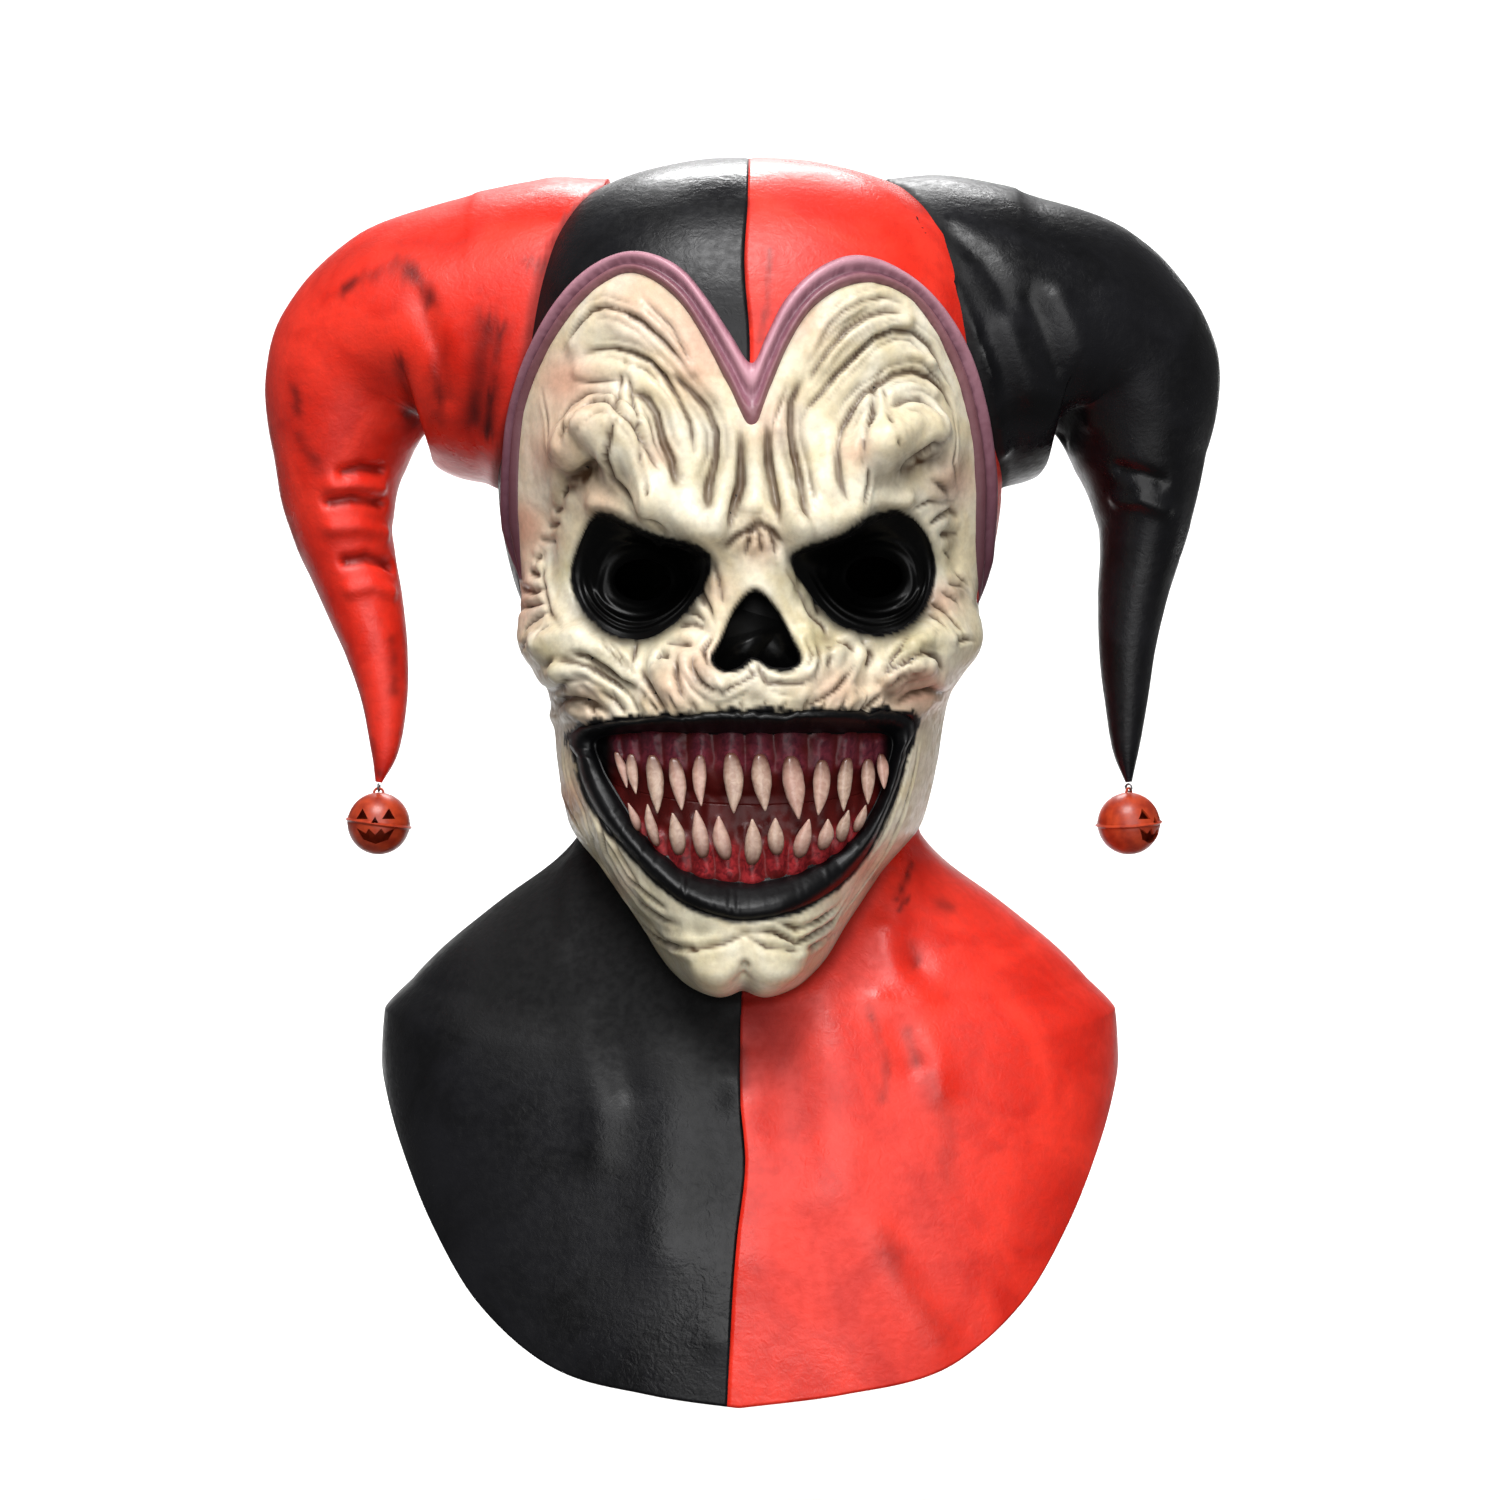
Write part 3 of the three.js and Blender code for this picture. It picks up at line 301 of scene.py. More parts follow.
HEM = table(
    "across down",
    (0, 1.0),
    (0.25, 0.99),
    (0.5, 0.972),
    (0.7, 0.925),
    (0.83, 0.865),
    (0.93, 0.8),
    (0.985, 0.755),
    (1, 0.742),
)
LEFT_HORN = table(
    "row out drop tall deep",
    (0, 0.36, 0.28, 0.98, 1.1),
    (1, 0.5, 0.275, 0.97, 1.08),
    (2, 0.65, 0.271, 0.87, 0.98),
    (3, 0.84, 0.278, 0.7, 0.84),
    (4, 0.955, 0.345, 0.56, 0.66),
    (5, 0.995, 0.475, 0.39, 0.48),
    (6, 0.99, 0.575, 0.31, 0.37),
    (7, 0.965, 0.64, 0.27, 0.31),
    (8, 0.933, 0.71, 0.235, 0.26),
    (9, 0.905, 0.78, 0.19, 0.21),
    (10, 0.886, 0.86, 0.14, 0.155),
    (11, 0.885, 0.945, 0.085, 0.09),
    (12, 0.9, 1.0, 0.02, 0.02),
)
RIGHT_HORN = table(
    "row out drop tall deep",
    (0, 0.35, 0.28, 0.98, 1.1),
    (1, 0.48, 0.275, 0.98, 1.09),
    (2, 0.63, 0.272, 0.9, 1.0),
    (3, 0.79, 0.28, 0.75, 0.88),
    (4, 0.91, 0.345, 0.59, 0.68),
    (5, 0.945, 0.475, 0.4, 0.48),
    (6, 0.953, 0.56, 0.3, 0.37),
    (7, 0.945, 0.62, 0.25, 0.3),
    (8, 0.925, 0.7, 0.21, 0.245),
    (9, 0.914, 0.785, 0.17, 0.19),
    (10, 0.912, 0.865, 0.13, 0.14),
    (11, 0.911, 0.945, 0.082, 0.085),
    (12, 0.918, 1.0, 0.02, 0.02),
)

# Teeth by pixel of the photograph: root, tip and width at the widest place
UPPER_TEETH = table(
    "root_x root_y tip_x tip_y wide",
    (616, 752, 629, 788, 9),
    (631, 754, 638, 794, 11),
    (652, 755, 659, 813, 16),
    (674, 758, 683, 810, 15),
    (700, 755, 702, 806, 13),
    (731, 753, 734, 813, 18),
    (760, 754, 765, 811, 18),
    (791, 756, 798, 819, 20),
    (822, 760, 817, 815, 16),
    (848, 758, 842, 811, 14),
    (868, 759, 866, 804, 13),
    (881, 754, 882, 789, 11),
)
LOWER_TEETH = table(
    "root_x root_y tip_x tip_y wide",
    (638, 831, 630, 803, 9),
    (657, 846, 649, 804, 11),
    (679, 855, 674, 813, 15),
    (703, 858, 697, 810, 15),
    (726, 860, 719, 816, 16),
    (752, 865, 752, 819, 16),
    (777, 855, 775, 818, 15),
    (799, 858, 808, 819, 15),
    (822, 850, 827, 819, 14),
    (841, 842, 847, 810, 12),
    (856, 832, 864, 805, 10),
)

# Wrinkles of the face: half width and depth in mm, strength of the dark brown paint and painted shade along them,
# route by pixel
WRINKLES = (
    (1.1, 0.8, 0.7, ((561, 354), (578, 328), (592, 311), (606, 306), (622, 310), (643, 322), (663, 340),
                     (680, 360), (692, 379), (700, 387))),
    (0.8, 0.45, 0.45, ((641, 299), (655, 309), (673, 328), (686, 354), (698, 381))),
    (0.8, 0.4, 0.4, ((566, 340), (580, 322), (590, 314))),
    (1.1, 0.9, 0.7, ((584, 354), (596, 350), (614, 348), (633, 354), (651, 362), (665, 375), (680, 401),
                     (690, 424), (694, 456))),
    (1.8, 1.4, 0.85, ((669, 371), (690, 391), (706, 409), (716, 432), (716, 456), (708, 485), (706, 522))),
    (0.8, 0.4, 0.4, ((573, 381), (596, 383), (622, 381))),
    (1.3, 1.4, 0.8, ((557, 442), (563, 432), (569, 424), (578, 411), (592, 403), (606, 403), (622, 415),
                     (637, 430), (647, 450), (657, 469))),
    (0.9, 0.7, 0.6, ((557, 442), (561, 428), (571, 413))),
    (1.7, 1.6, 0.85, ((633, 391), (647, 399), (657, 415), (663, 440), (673, 462), (675, 485))),
    (1.0, 1.1, 0.9, ((624, 360), (622, 379), (618, 401), (614, 424), (608, 444), (606, 460), (614, 479),
                     (631, 499), (649, 520), (663, 534))),
    (0.8, 0.8, 0.7, ((624, 360), (629, 381), (633, 403), (637, 428), (641, 460), (647, 493), (655, 520),
                     (667, 534))),
    (1.9, 1.5, 0.6, ((741, 430), (741, 485), (731, 520), (720, 544))),
    (0.7, 0.35, 0.45, ((541, 389), (547, 424), (549, 454), (548, 495))),
    (1.7, 1.3, 0.6, ((572, 478), (584, 470), (596, 462))),
    (1.2, 0.8, 0.8, ((562, 496), (570, 487))),
    (1.0, 0.7, 0.7, ((555, 513), (563, 508))),
    (1.0, 0.7, 0.6, ((549, 526), (561, 524))),
    (1.0, 0.7, 0.6, ((541, 541), (556, 540))),
    (1.1, 0.8, 0.75, ((535, 561), (543, 554))),
    (1.2, 0.9, 0.8, ((530, 573), (541, 575))),
    (1.2, 1.0, 0.8, ((522, 589), (535, 592), (546, 589))),
    (1.0, 0.9, 0.8, ((518, 612), (530, 606), (547, 604))),
    (1.0, 0.9, 0.8, ((524, 633), (534, 622), (549, 613))),
    (0.7, 0.4, 0.5, ((525, 632), (528, 643), (531, 653))),
    (0.9, 0.6, 0.5, ((544, 550), (543, 576), (547, 598), (550, 613), (562, 628))),
    (0.8, 0.4, 0.35, ((535, 639), (541, 630), (549, 626))),
    (0.7, 0.5, 0.5, ((601, 637), (606, 646), (619, 660), (632, 676))),
    (0.6, 0.5, 0.5, ((609, 642), (621, 657), (631, 672))),
    (0.9, 0.5, 0.45, ((638, 641), (634, 659), (631, 672))),
    (1.3, 1.5, 0.75, ((572, 654), (587, 656), (606, 666), (626, 679), (644, 696), (659, 713))),
    (1.4, 1.2, 0.6, ((544, 668), (566, 660), (593, 668), (616, 682), (632, 696))),
    (1.0, 0.8, 0.6, ((540, 674), (560, 676))),
    (1.6, 1.2, 0.6, ((543, 691), (562, 687), (566, 681), (593, 676))),
    (1.5, 1.6, 0.8, ((559, 704), (566, 697), (579, 696), (593, 704), (606, 712))),
    (1.2, 0.9, 0.6, ((600, 689), (613, 700), (625, 712))),
    (1.3, 1.1, 0.7, ((641, 666), (646, 679), (656, 694), (666, 709))),
    (1.2, 1.0, 0.6, ((655, 660), (663, 655), (669, 658))),
    (1.1, 0.9, 0.6, ((676, 659), (676, 676), (682, 694), (694, 709))),
    (1.3, 1.2, 0.8, ((693, 654), (691, 668), (699, 681), (712, 691), (722, 694))),
    (1.2, 1.0, 0.6, ((709, 679), (721, 693), (738, 685), (754, 676), (745, 665))),
    (1.2, 0.8, 0.6, ((666, 644), (679, 643), (694, 646))),
    (0.9, 0.7, 0.6, ((693, 569), (703, 593), (712, 613), (716, 626))),
    (0.9, 0.7, 0.6, ((713, 562), (721, 583), (722, 603))),
    (1.3, 0.9, 0.7, ((678, 626), (693, 622), (704, 629))),
    (0.8, 0.5, 0.5, ((699, 593), (707, 606))),
    (1.0, 0.8, 0.6, ((684, 611), (697, 615), (706, 621))),
    (1.5, 1.1, 0.8, ((723, 549), (737, 536), (757, 526), (756, 523), (770, 530), (783, 544))),
    (0.9, 0.6, 0.6, ((749, 529), (747, 541), (745, 556))),
    (0.9, 0.6, 0.6, ((758, 526), (760, 539), (762, 554))),
    (0.9, 0.6, 0.6, ((769, 533), (774, 546), (776, 561))),
    (0.8, 0.5, 0.5, ((752, 530), (750, 541), (746, 552))),
    (1.1, 0.8, 0.6, ((815, 354), (828, 328), (842, 313), (862, 301), (883, 296), (901, 303))),
    (1.3, 1.0, 0.85, ((809, 380), (813, 371), (828, 350), (846, 332), (867, 318), (885, 311), (901, 313))),
    (1.9, 1.5, 0.85, ((801, 379), (791, 403), (791, 436), (799, 475), (807, 511), (815, 534))),
    (1.2, 1.0, 0.8, ((799, 424), (807, 409), (822, 393), (836, 375), (856, 354), (873, 338), (893, 330),
                     (913, 332), (930, 346), (940, 367), (952, 391))),
    (1.3, 1.1, 0.8, ((840, 440), (842, 428), (852, 409), (864, 395), (879, 385), (893, 375), (911, 371),
                     (930, 377), (944, 393), (954, 411))),
    (0.9, 0.6, 0.5, ((905, 358), (922, 362), (938, 378), (950, 396))),
    (1.2, 1.0, 0.75, ((891, 409), (903, 401), (920, 401), (934, 409), (946, 428))),
    (1.0, 1.0, 0.85, ((879, 373), (875, 387), (871, 415), (864, 444), (862, 466))),
    (0.8, 0.8, 0.7, ((881, 373), (885, 395), (891, 420), (899, 444), (905, 458))),
    (1.1, 0.9, 0.7, ((840, 436), (836, 456), (840, 481), (848, 501))),
    (0.8, 0.7, 0.6, ((869, 466), (869, 485), (864, 505))),
    (1.9, 1.5, 0.7, ((766, 424), (769, 464), (777, 501), (783, 526))),
    (0.8, 0.5, 0.5, ((771, 444), (773, 424), (781, 401), (787, 383))),
    (1.7, 1.4, 0.6, ((903, 463), (918, 454), (934, 447), (946, 444))),
    (1.2, 1.0, 0.6, ((930, 480), (943, 486), (950, 494))),
    (0.8, 0.6, 0.6, ((912, 509), (930, 502), (955, 500))),
    (1.0, 0.8, 0.8, ((929, 524), (939, 516), (950, 510), (959, 515))),
    (1.4, 1.0, 0.85, ((940, 536), (958, 535))),
    (0.8, 0.5, 0.5, ((942, 549), (950, 556))),
    (0.7, 0.4, 0.45, ((954, 411), (956, 444), (954, 464), (960, 497))),
    (1.0, 0.7, 0.7, ((955, 572), (961, 580), (969, 583))),
    (1.0, 0.7, 0.7, ((947, 583), (958, 586), (969, 592))),
    (1.0, 0.7, 0.7, ((942, 592), (950, 596), (959, 605))),
    (1.0, 0.7, 0.7, ((931, 603), (939, 606), (949, 614))),
    (0.9, 0.6, 0.7, ((927, 616), (937, 619), (947, 627))),
    (0.8, 0.5, 0.6, ((947, 615), (956, 626), (963, 632))),
    (0.9, 0.5, 0.7, ((936, 630), (939, 632))),
    (0.7, 0.35, 0.4, ((956, 638), (966, 638), (977, 642))),
    (1.0, 0.7, 0.6, ((796, 569), (800, 593), (809, 613), (823, 626), (827, 638))),
    (0.9, 0.6, 0.5, ((784, 566), (795, 587), (799, 606))),
    (0.9, 0.6, 0.6, ((813, 593), (816, 606), (819, 617))),
    (1.5, 1.0, 0.7, ((828, 645), (830, 657), (827, 668))),
    (1.2, 0.8, 0.6, ((835, 641), (847, 643), (855, 650))),
    (1.2, 1.0, 0.6, ((862, 638), (871, 654), (867, 666))),
    (0.7, 0.7, 0.7, ((878, 681), (890, 666), (899, 650), (908, 637))),
    (1.3, 1.6, 0.8, ((877, 686), (888, 673), (906, 660), (924, 653), (936, 657), (944, 669))),
    (1.4, 1.0, 0.6, ((886, 689), (899, 678), (916, 672), (927, 671))),
    (1.3, 1.3, 0.7, ((898, 704), (910, 695), (929, 691), (946, 695))),
    (0.8, 0.7, 0.85, ((803, 707), (819, 700), (836, 689), (847, 676), (856, 663))),
    (1.0, 0.8, 0.7, ((862, 710), (872, 703), (883, 693))),
    (0.9, 0.6, 0.5, ((846, 699), (859, 694))),
    (1.5, 1.2, 0.7, ((756, 663), (766, 680), (784, 685), (802, 682), (813, 678))),
    (1.2, 0.9, 0.6, ((818, 646), (819, 666), (813, 679))),
    (0.9, 0.9, 0.6, ((563, 740), (565, 765), (570, 790), (573, 810))),
    (1.1, 1.0, 0.65, ((576, 740), (580, 773), (593, 806), (603, 833), (609, 856), (623, 878), (638, 899),
                      (659, 916), (679, 926))),
    (0.9, 0.8, 0.55, ((606, 836), (616, 856), (629, 876), (649, 897), (666, 910))),
    (1.0, 0.8, 0.6, ((619, 890), (629, 905), (639, 920), (653, 934), (666, 943), (691, 948), (721, 943))),
    (0.8, 0.6, 0.5, ((588, 835), (600, 862), (616, 888), (628, 908), (640, 928))),
    (0.8, 0.6, 0.5, ((557, 770), (566, 800), (576, 822), (592, 846))),
    (1.1, 1.0, 0.6, ((740, 931), (773, 933), (795, 942), (813, 933), (833, 922), (846, 904))),
    (0.9, 0.7, 0.5, ((773, 920), (795, 927), (818, 921), (840, 905))),
    (0.8, 0.6, 0.5, ((905, 805), (893, 838), (876, 866), (858, 893), (842, 914))),
    (0.8, 0.5, 0.4, ((914, 770), (908, 796), (896, 826), (884, 848))),
    (0.7, 0.6, 0.35, ((612, 690), (622, 712))),
    (0.7, 0.6, 0.35, ((628, 690), (640, 713))),
    (0.7, 0.6, 0.35, ((646, 692), (657, 712))),
    (0.7, 0.6, 0.35, ((668, 694), (677, 711))),
    (0.7, 0.6, 0.35, ((690, 699), (697, 712))),
    (0.7, 0.5, 0.3, ((716, 702), (719, 712))),
    (0.7, 0.5, 0.3, ((740, 699), (741, 710))),
    (0.7, 0.5, 0.3, ((764, 699), (764, 708))),
    (0.7, 0.5, 0.3, ((786, 699), (784, 711))),
    (0.7, 0.6, 0.35, ((808, 699), (803, 713))),
    (0.7, 0.6, 0.35, ((828, 697), (819, 716))),
    (0.7, 0.6, 0.35, ((848, 696), (838, 718))),
    (0.7, 0.6, 0.35, ((868, 697), (857, 720))),
    (0.7, 0.6, 0.35, ((886, 700), (875, 722))),
    (0.9, 0.7, 0.6, ((586, 700), (594, 712), (600, 716))),
    (0.8, 0.6, 0.5, ((580, 745), (586, 775), (598, 808), (612, 838), (628, 864))),
    (0.8, 0.6, 0.5, ((910, 745), (905, 775), (895, 806), (884, 832), (868, 858))),
    (0.8, 0.6, 0.5, ((918, 745), (914, 772), (905, 803), (893, 838), (878, 862))),
    (0.7, 0.5, 0.5, ((555, 735), (556, 760), (560, 790), (566, 815))),
    (1.0, 0.9, 0.6, ((655, 930), (672, 944), (695, 950), (722, 944), (745, 934))),
    (1.0, 0.9, 0.6, ((745, 934), (768, 946), (792, 952), (815, 944), (834, 928))),
    (0.9, 0.7, 0.5, ((660, 560), (664, 582), (672, 600))),
    (0.9, 0.7, 0.5, ((815, 566), (822, 588), (824, 606))),
    (0.9, 0.8, 0.6, ((712, 636), (704, 652), (708, 668))),
    (0.9, 0.8, 0.6, ((806, 640), (812, 655), (806, 668))),
    (0.8, 0.6, 0.5, ((520, 650), (528, 642), (540, 640))),
    (0.8, 0.6, 0.5, ((952, 645), (960, 640), (970, 640))),
)

# Swellings and hollows of the face between the wrinkles: radius and rise in mm, route by pixel
SWELLINGS = (
    (7.0, 6.2, ((566, 446), (580, 428), (604, 424))),
    (5.0, -3.4, ((560, 480), (588, 472))),
    (5.0, -3.2, ((912, 468), (945, 456))),
    (5.0, -1.6, ((548, 520), (550, 560))),
    (5.0, -1.4, ((955, 520), (955, 560))),
    (4.0, 2.4, ((596, 505), (640, 522), (700, 544))),
    (4.0, 2.4, ((800, 540), (850, 524), (905, 500))),
    (4.5, 2.6, ((594, 430), (606, 452))),
    (5.5, 4.2, ((626, 432), (640, 468), (655, 500))),
    (6.5, 6.6, ((660, 496), (690, 516), (702, 522))),
    (4.5, 3.4, ((600, 498), (628, 506), (655, 522))),
    (2.8, 2.0, ((724, 430), (726, 490), (718, 528))),
    (2.8, 1.8, ((755, 436), (755, 505))),
    (2.8, 2.0, ((781, 430), (786, 480), (796, 524))),
    (6.5, 6.4, ((804, 524), (822, 518), (842, 510))),
    (4.5, 3.4, ((846, 508), (872, 498), (900, 492))),
    (5.5, 4.0, ((854, 456), (852, 488))),
    (7.0, 5.8, ((884, 442), (912, 424), (934, 428))),
    (4.0, 2.0, ((826, 440), (822, 480))),
    (3.2, 1.5, ((575, 346), (592, 330), (614, 325), (645, 340), (672, 372))),
    (3.0, 1.6, ((580, 372), (600, 366), (628, 372), (652, 390), (668, 420), (678, 456))),
    (2.6, 1.2, ((612, 316), (640, 312), (668, 338), (690, 370))),
    (3.0, 1.6, ((826, 366), (836, 350), (870, 328), (905, 322))),
    (3.0, 1.6, ((820, 420), (832, 395), (862, 362), (900, 350), (926, 362))),
    (2.6, 1.4, ((862, 408), (884, 394), (910, 388), (930, 394))),
    (2.4, 1.2, ((812, 350), (830, 322), (856, 300))),
    (2.4, 1.8, ((704, 560), (716, 590), (716, 625))),
    (2.4, 1.8, ((776, 556), (800, 596), (808, 636))),
    (2.8, 1.8, ((654, 660), (668, 690))),
    (2.8, 1.8, ((686, 658), (706, 686), (722, 692))),
    (2.8, 1.6, ((745, 664), (757, 640))),
    (2.8, 1.6, ((786, 680), (812, 672), (830, 655))),
    (2.8, 1.6, ((560, 668), (590, 672), (622, 696))),
    (2.8, 1.6, ((600, 640), (622, 655), (640, 678))),
    (2.8, 1.6, ((850, 676), (862, 650), (884, 632))),
    (2.8, 1.6, ((880, 680), (905, 668), (925, 672))),
    (4.2, 3.2, ((536, 645), (556, 638), (578, 636))),
    (4.2, 3.2, ((915, 650), (925, 632), (946, 640))),
    (3.0, 1.4, ((553, 716), (580, 712), (600, 716))),
    (3.0, 1.4, ((900, 712), (925, 708))),
    (4.0, -1.6, ((700, 935), (790, 935))),
    (5.0, 1.8, ((700, 966), (722, 975))),
    (5.0, 1.8, ((776, 975), (800, 966))),
    (1.6, -2.4, ((745, 966), (745, 1004))),
    (3.2, 2.0, ((560, 672), (590, 684), (620, 706))),
    (3.2, 2.2, ((590, 648), (622, 668), (650, 700))),
    (3.0, 2.0, ((662, 668), (682, 700))),
    (3.0, 2.0, ((706, 676), (722, 688), (740, 684))),
    (3.0, 2.0, ((850, 700), (876, 694), (892, 684))),
    (3.2, 2.2, ((886, 676), (905, 666), (925, 664))),
    (3.0, 2.2, ((800, 640), (812, 668), (800, 690))),
    (3.0, 2.0, ((832, 660), (846, 640), (860, 630))),
)

# Tints of the face by pixel: place, radius in mm and strength
PINK_TINTS = table(
    "x y size strength",
    (640, 300, 14, 0.6), (700, 370, 10, 0.6), (560, 380, 9, 0.6), (520, 520, 7, 0.8), (518, 590, 7, 0.9),
    (660, 455, 6, 0.5), (590, 690, 8, 0.6), (700, 660, 9, 0.45), (670, 690, 9, 0.5), (900, 690, 9, 0.7),
    (925, 685, 7, 1.0), (770, 420, 9, 0.5), (855, 450, 6, 0.6), (800, 320, 9, 0.6), (940, 600, 7, 0.7),
    (566, 800, 7, 0.9), (596, 740, 8, 0.6), (626, 890, 7, 0.6), (872, 870, 7, 0.6), (760, 545, 7, 0.5),
    (575, 380, 14, 0.5), (530, 540, 10, 0.6), (525, 620, 8, 0.4), (700, 330, 12, 0.6), (548, 450, 11, 0.6),
    (955, 480, 8, 0.7), (600, 500, 8, 0.5), (835, 690, 9, 0.6), (712, 590, 7, 0.5),
)
# Olive tints lie mostly in the hollows under the cheekbones, beside the nose and under the lower lip, where they are
# partly painted shade.
OLIVE_TINTS = table(
    "x y size strength",
    (550, 655, 9, 0.3), (600, 672, 9, 0.45), (600, 345, 8, 0.25), (560, 570, 6, 0.5), (925, 640, 9, 0.3),
    (905, 660, 9, 0.45), (815, 640, 8, 0.5), (880, 350, 11, 0.12), (700, 480, 9, 0.25), (930, 560, 6, 0.5),
    (700, 940, 12, 0.4), (790, 940, 12, 0.4), (640, 900, 9, 0.5), (800, 590, 8, 0.4), (690, 590, 7, 0.4),
    (650, 640, 7, 0.3),
)

# Brown in the deepest hollows by pixel, partly sprayed paint and partly painted shade under the brow pads and in the
# other hollows: place, radius in mm and strength
WASH_AND_SHADE_TINTS = table(
    "x y size strength",
    (582, 477, 4.0, 0.75), (570, 484, 3.0, 0.55), (597, 470, 3.6, 0.6), (612, 486, 3.2, 0.4), (905, 470, 3.6, 0.65),
    (920, 460, 3.8, 0.6), (936, 455, 3.4, 0.4), (893, 482, 3.0, 0.35), (707, 505, 3.0, 0.4), (738, 512, 3.0, 0.35),
    (778, 505, 3.0, 0.35), (803, 510, 3.0, 0.4), (755, 522, 3.6, 0.45), (680, 478, 2.6, 0.35), (556, 500, 3.0, 0.3),
    (560, 700, 4.0, 0.45), (582, 696, 4.0, 0.45), (700, 676, 3.4, 0.45), (660, 668, 3.4, 0.3), (826, 640, 3.4, 0.4),
    (890, 690, 4.0, 0.45), (915, 680, 4.0, 0.4), (755, 690, 5.0, 0.3), (690, 610, 3.6, 0.4), (818, 610, 3.6, 0.4),
    (525, 600, 3.6, 0.35), (960, 590, 3.6, 0.35), (950, 540, 3.2, 0.4), (566, 810, 3.6, 0.4), (745, 990, 3.0, 0.4),
    (575, 722, 5.0, 0.4), (915, 718, 5.0, 0.4), (610, 885, 3.6, 0.3), (876, 880, 3.6, 0.3),
)

# Folds and dents of hood, neck and bib: radius and rise in mm, route by pixel
COWL_FOLDS = (
    (5.4, -1.8, ((912, 950), (917, 965))),
    (6.8, -2.1, ((908, 1030), (914, 1060))),
    (6.1, 1.8, ((880, 1000), (905, 1010), (935, 1060), (940, 1090))),
    (5.4, 1.3, ((885, 930), (900, 980), (925, 1000))),
    (9.5, 1.7, ((880, 1240), (905, 1290), (940, 1340))),
    (8.1, -1.3, ((895, 1235), (930, 1290), (960, 1330))),
    (6.8, -1.7, ((612, 1048), (624, 1085))),
    (8.1, 1.3, ((590, 1010), (600, 1090), (596, 1150))),
    (5.4, 1.2, ((572, 860), (566, 910), (560, 960))),
    (4.7, -1.3, ((566, 850), (556, 930))),
    (5.4, 1.0, ((905, 850), (896, 900), (906, 940))),
    (12.2, 1.7, ((820, 1000), (835, 1080), (830, 1180))),
    (10.8, -1.2, ((790, 1050), (800, 1150))),
    (12.2, 1.5, ((680, 1050), (668, 1160), (660, 1240))),
)
HORN_CREASES = (
    (2.2, -2.6, ((342, 472), (360, 468), (382, 472))),
    (2.2, -2.8, ((328, 502), (350, 498), (382, 504))),
    (2.4, -3.0, ((345, 562), (368, 558), (392, 566))),
    (3.2, 1.8, ((334, 486), (356, 484), (380, 488))),
    (3.4, 1.8, ((332, 528), (358, 526), (384, 534))),
    (3.0, 1.4, ((350, 590), (372, 586), (392, 592))),
    (4.0, -1.6, ((420, 300), (440, 350), (448, 400))),
    (3.0, -1.8, ((1120, 470), (1142, 474), (1160, 480))),
    (3.0, 1.6, ((1116, 500), (1140, 500), (1164, 508))),
    (5.0, 2.0, ((1010, 330), (1030, 390), (1034, 450))),
    (4.5, -2.0, ((1030, 300), (1056, 370), (1060, 440))),
    (5.0, 1.6, ((1060, 300), (1086, 360), (1090, 420))),
    (4.0, -1.6, ((950, 230), (985, 262), (1010, 300))),
)
GLUE_SEAM = ((881, 190), (909, 221), (934, 252), (960, 295), (975, 329), (988, 367), (997, 405), (1003, 456))


def smooth(rows, key, level, column):
    """Value of one column at a level, on a smooth curve through the rows."""
    keys, values = rows[key], rows[column]
    level = np.asarray(level, dtype=float)
    i = np.searchsorted(keys[1:-1], level, side="left")
    span = keys[i + 1] - keys[i]
    t = np.clip((level - keys[i]) / span, 0, 1)

    def slope(k):
        low = np.maximum(k - 1, 0)
        high = np.minimum(k + 1, len(keys) - 1)
        return (values[high] - values[low]) / (keys[high] - keys[low]) * span

    ease = t * t * (3 - 2 * t)
    bend = slope(i) * t * (1 - t) ** 2 - slope(i + 1) * t * t * (1 - t)
    return values[i] + (values[i + 1] - values[i]) * ease + bend


def step(low, high, value):
    """Soft step from 0 at low to 1 at high."""
    t = np.clip((value - low) / (high - low), 0, 1)
    return t * t * (3 - 2 * t)


def oval(angle, half, depth, power):
    across = np.abs(np.cos(angle)) / half
    along = np.abs(np.sin(angle)) / depth
    return (across ** power + along ** power) ** (-1 / power)


def neck_radius(angle, z):
    """Distance from the middle axis to hood, neck and shoulders."""
    down = -z / CHIN_DROP
    widest = NECK["down"][0]
    is_front = np.sin(angle) < 0
    wide = HALF_HEAD * smooth(NECK, "down", down, "wide")
    fore = FACE_DEPTH * smooth(NECK, "down", down, "fore")
    aft = NAPE_DEPTH * smooth(NECK, "down", down, "aft")
    below = oval(angle, wide, np.where(is_front, fore, aft), SECTION_POWER)
    rise = np.clip((z + widest * CHIN_DROP) / CROWN_RISE, 0, 1)
    shrink = (1 - rise ** CROWN_POWER) ** (1 / CROWN_POWER)
    depth = np.where(is_front, FACE_DEPTH, NAPE_DEPTH * NECK["aft"][0])
    return np.where(down < widest, shrink * oval(angle, HALF_HEAD, depth, SECTION_POWER), below)


def face_radius(angle, z):
    """The same with the jaw in front, which stands clear of the neck below the ears."""
    down = -z / CHIN_DROP
    wide = HALF_HEAD * smooth(JAW, "down", down, "wide")
    fore = JAW_DEPTH * smooth(JAW, "down", down, "fore")
    jaw = oval(angle, wide, fore, JAW_POWER)
    neck = neck_radius(angle, z)
    joined = np.maximum(jaw, neck * (1 - step(0.775, 0.8, down)))
    return neck + (joined - neck) * step(JAW["down"][0], 0.37, down)


def face_base(angle, z):
    radius = face_radius(angle, z)
    shift = HALF_HEAD * smooth(JAW, "down", -z / CHIN_DROP, "side") * np.maximum(0, -np.sin(angle))
    return np.stack([radius * np.cos(angle) + shift, radius * np.sin(angle), z + 0 * angle], axis=-1)


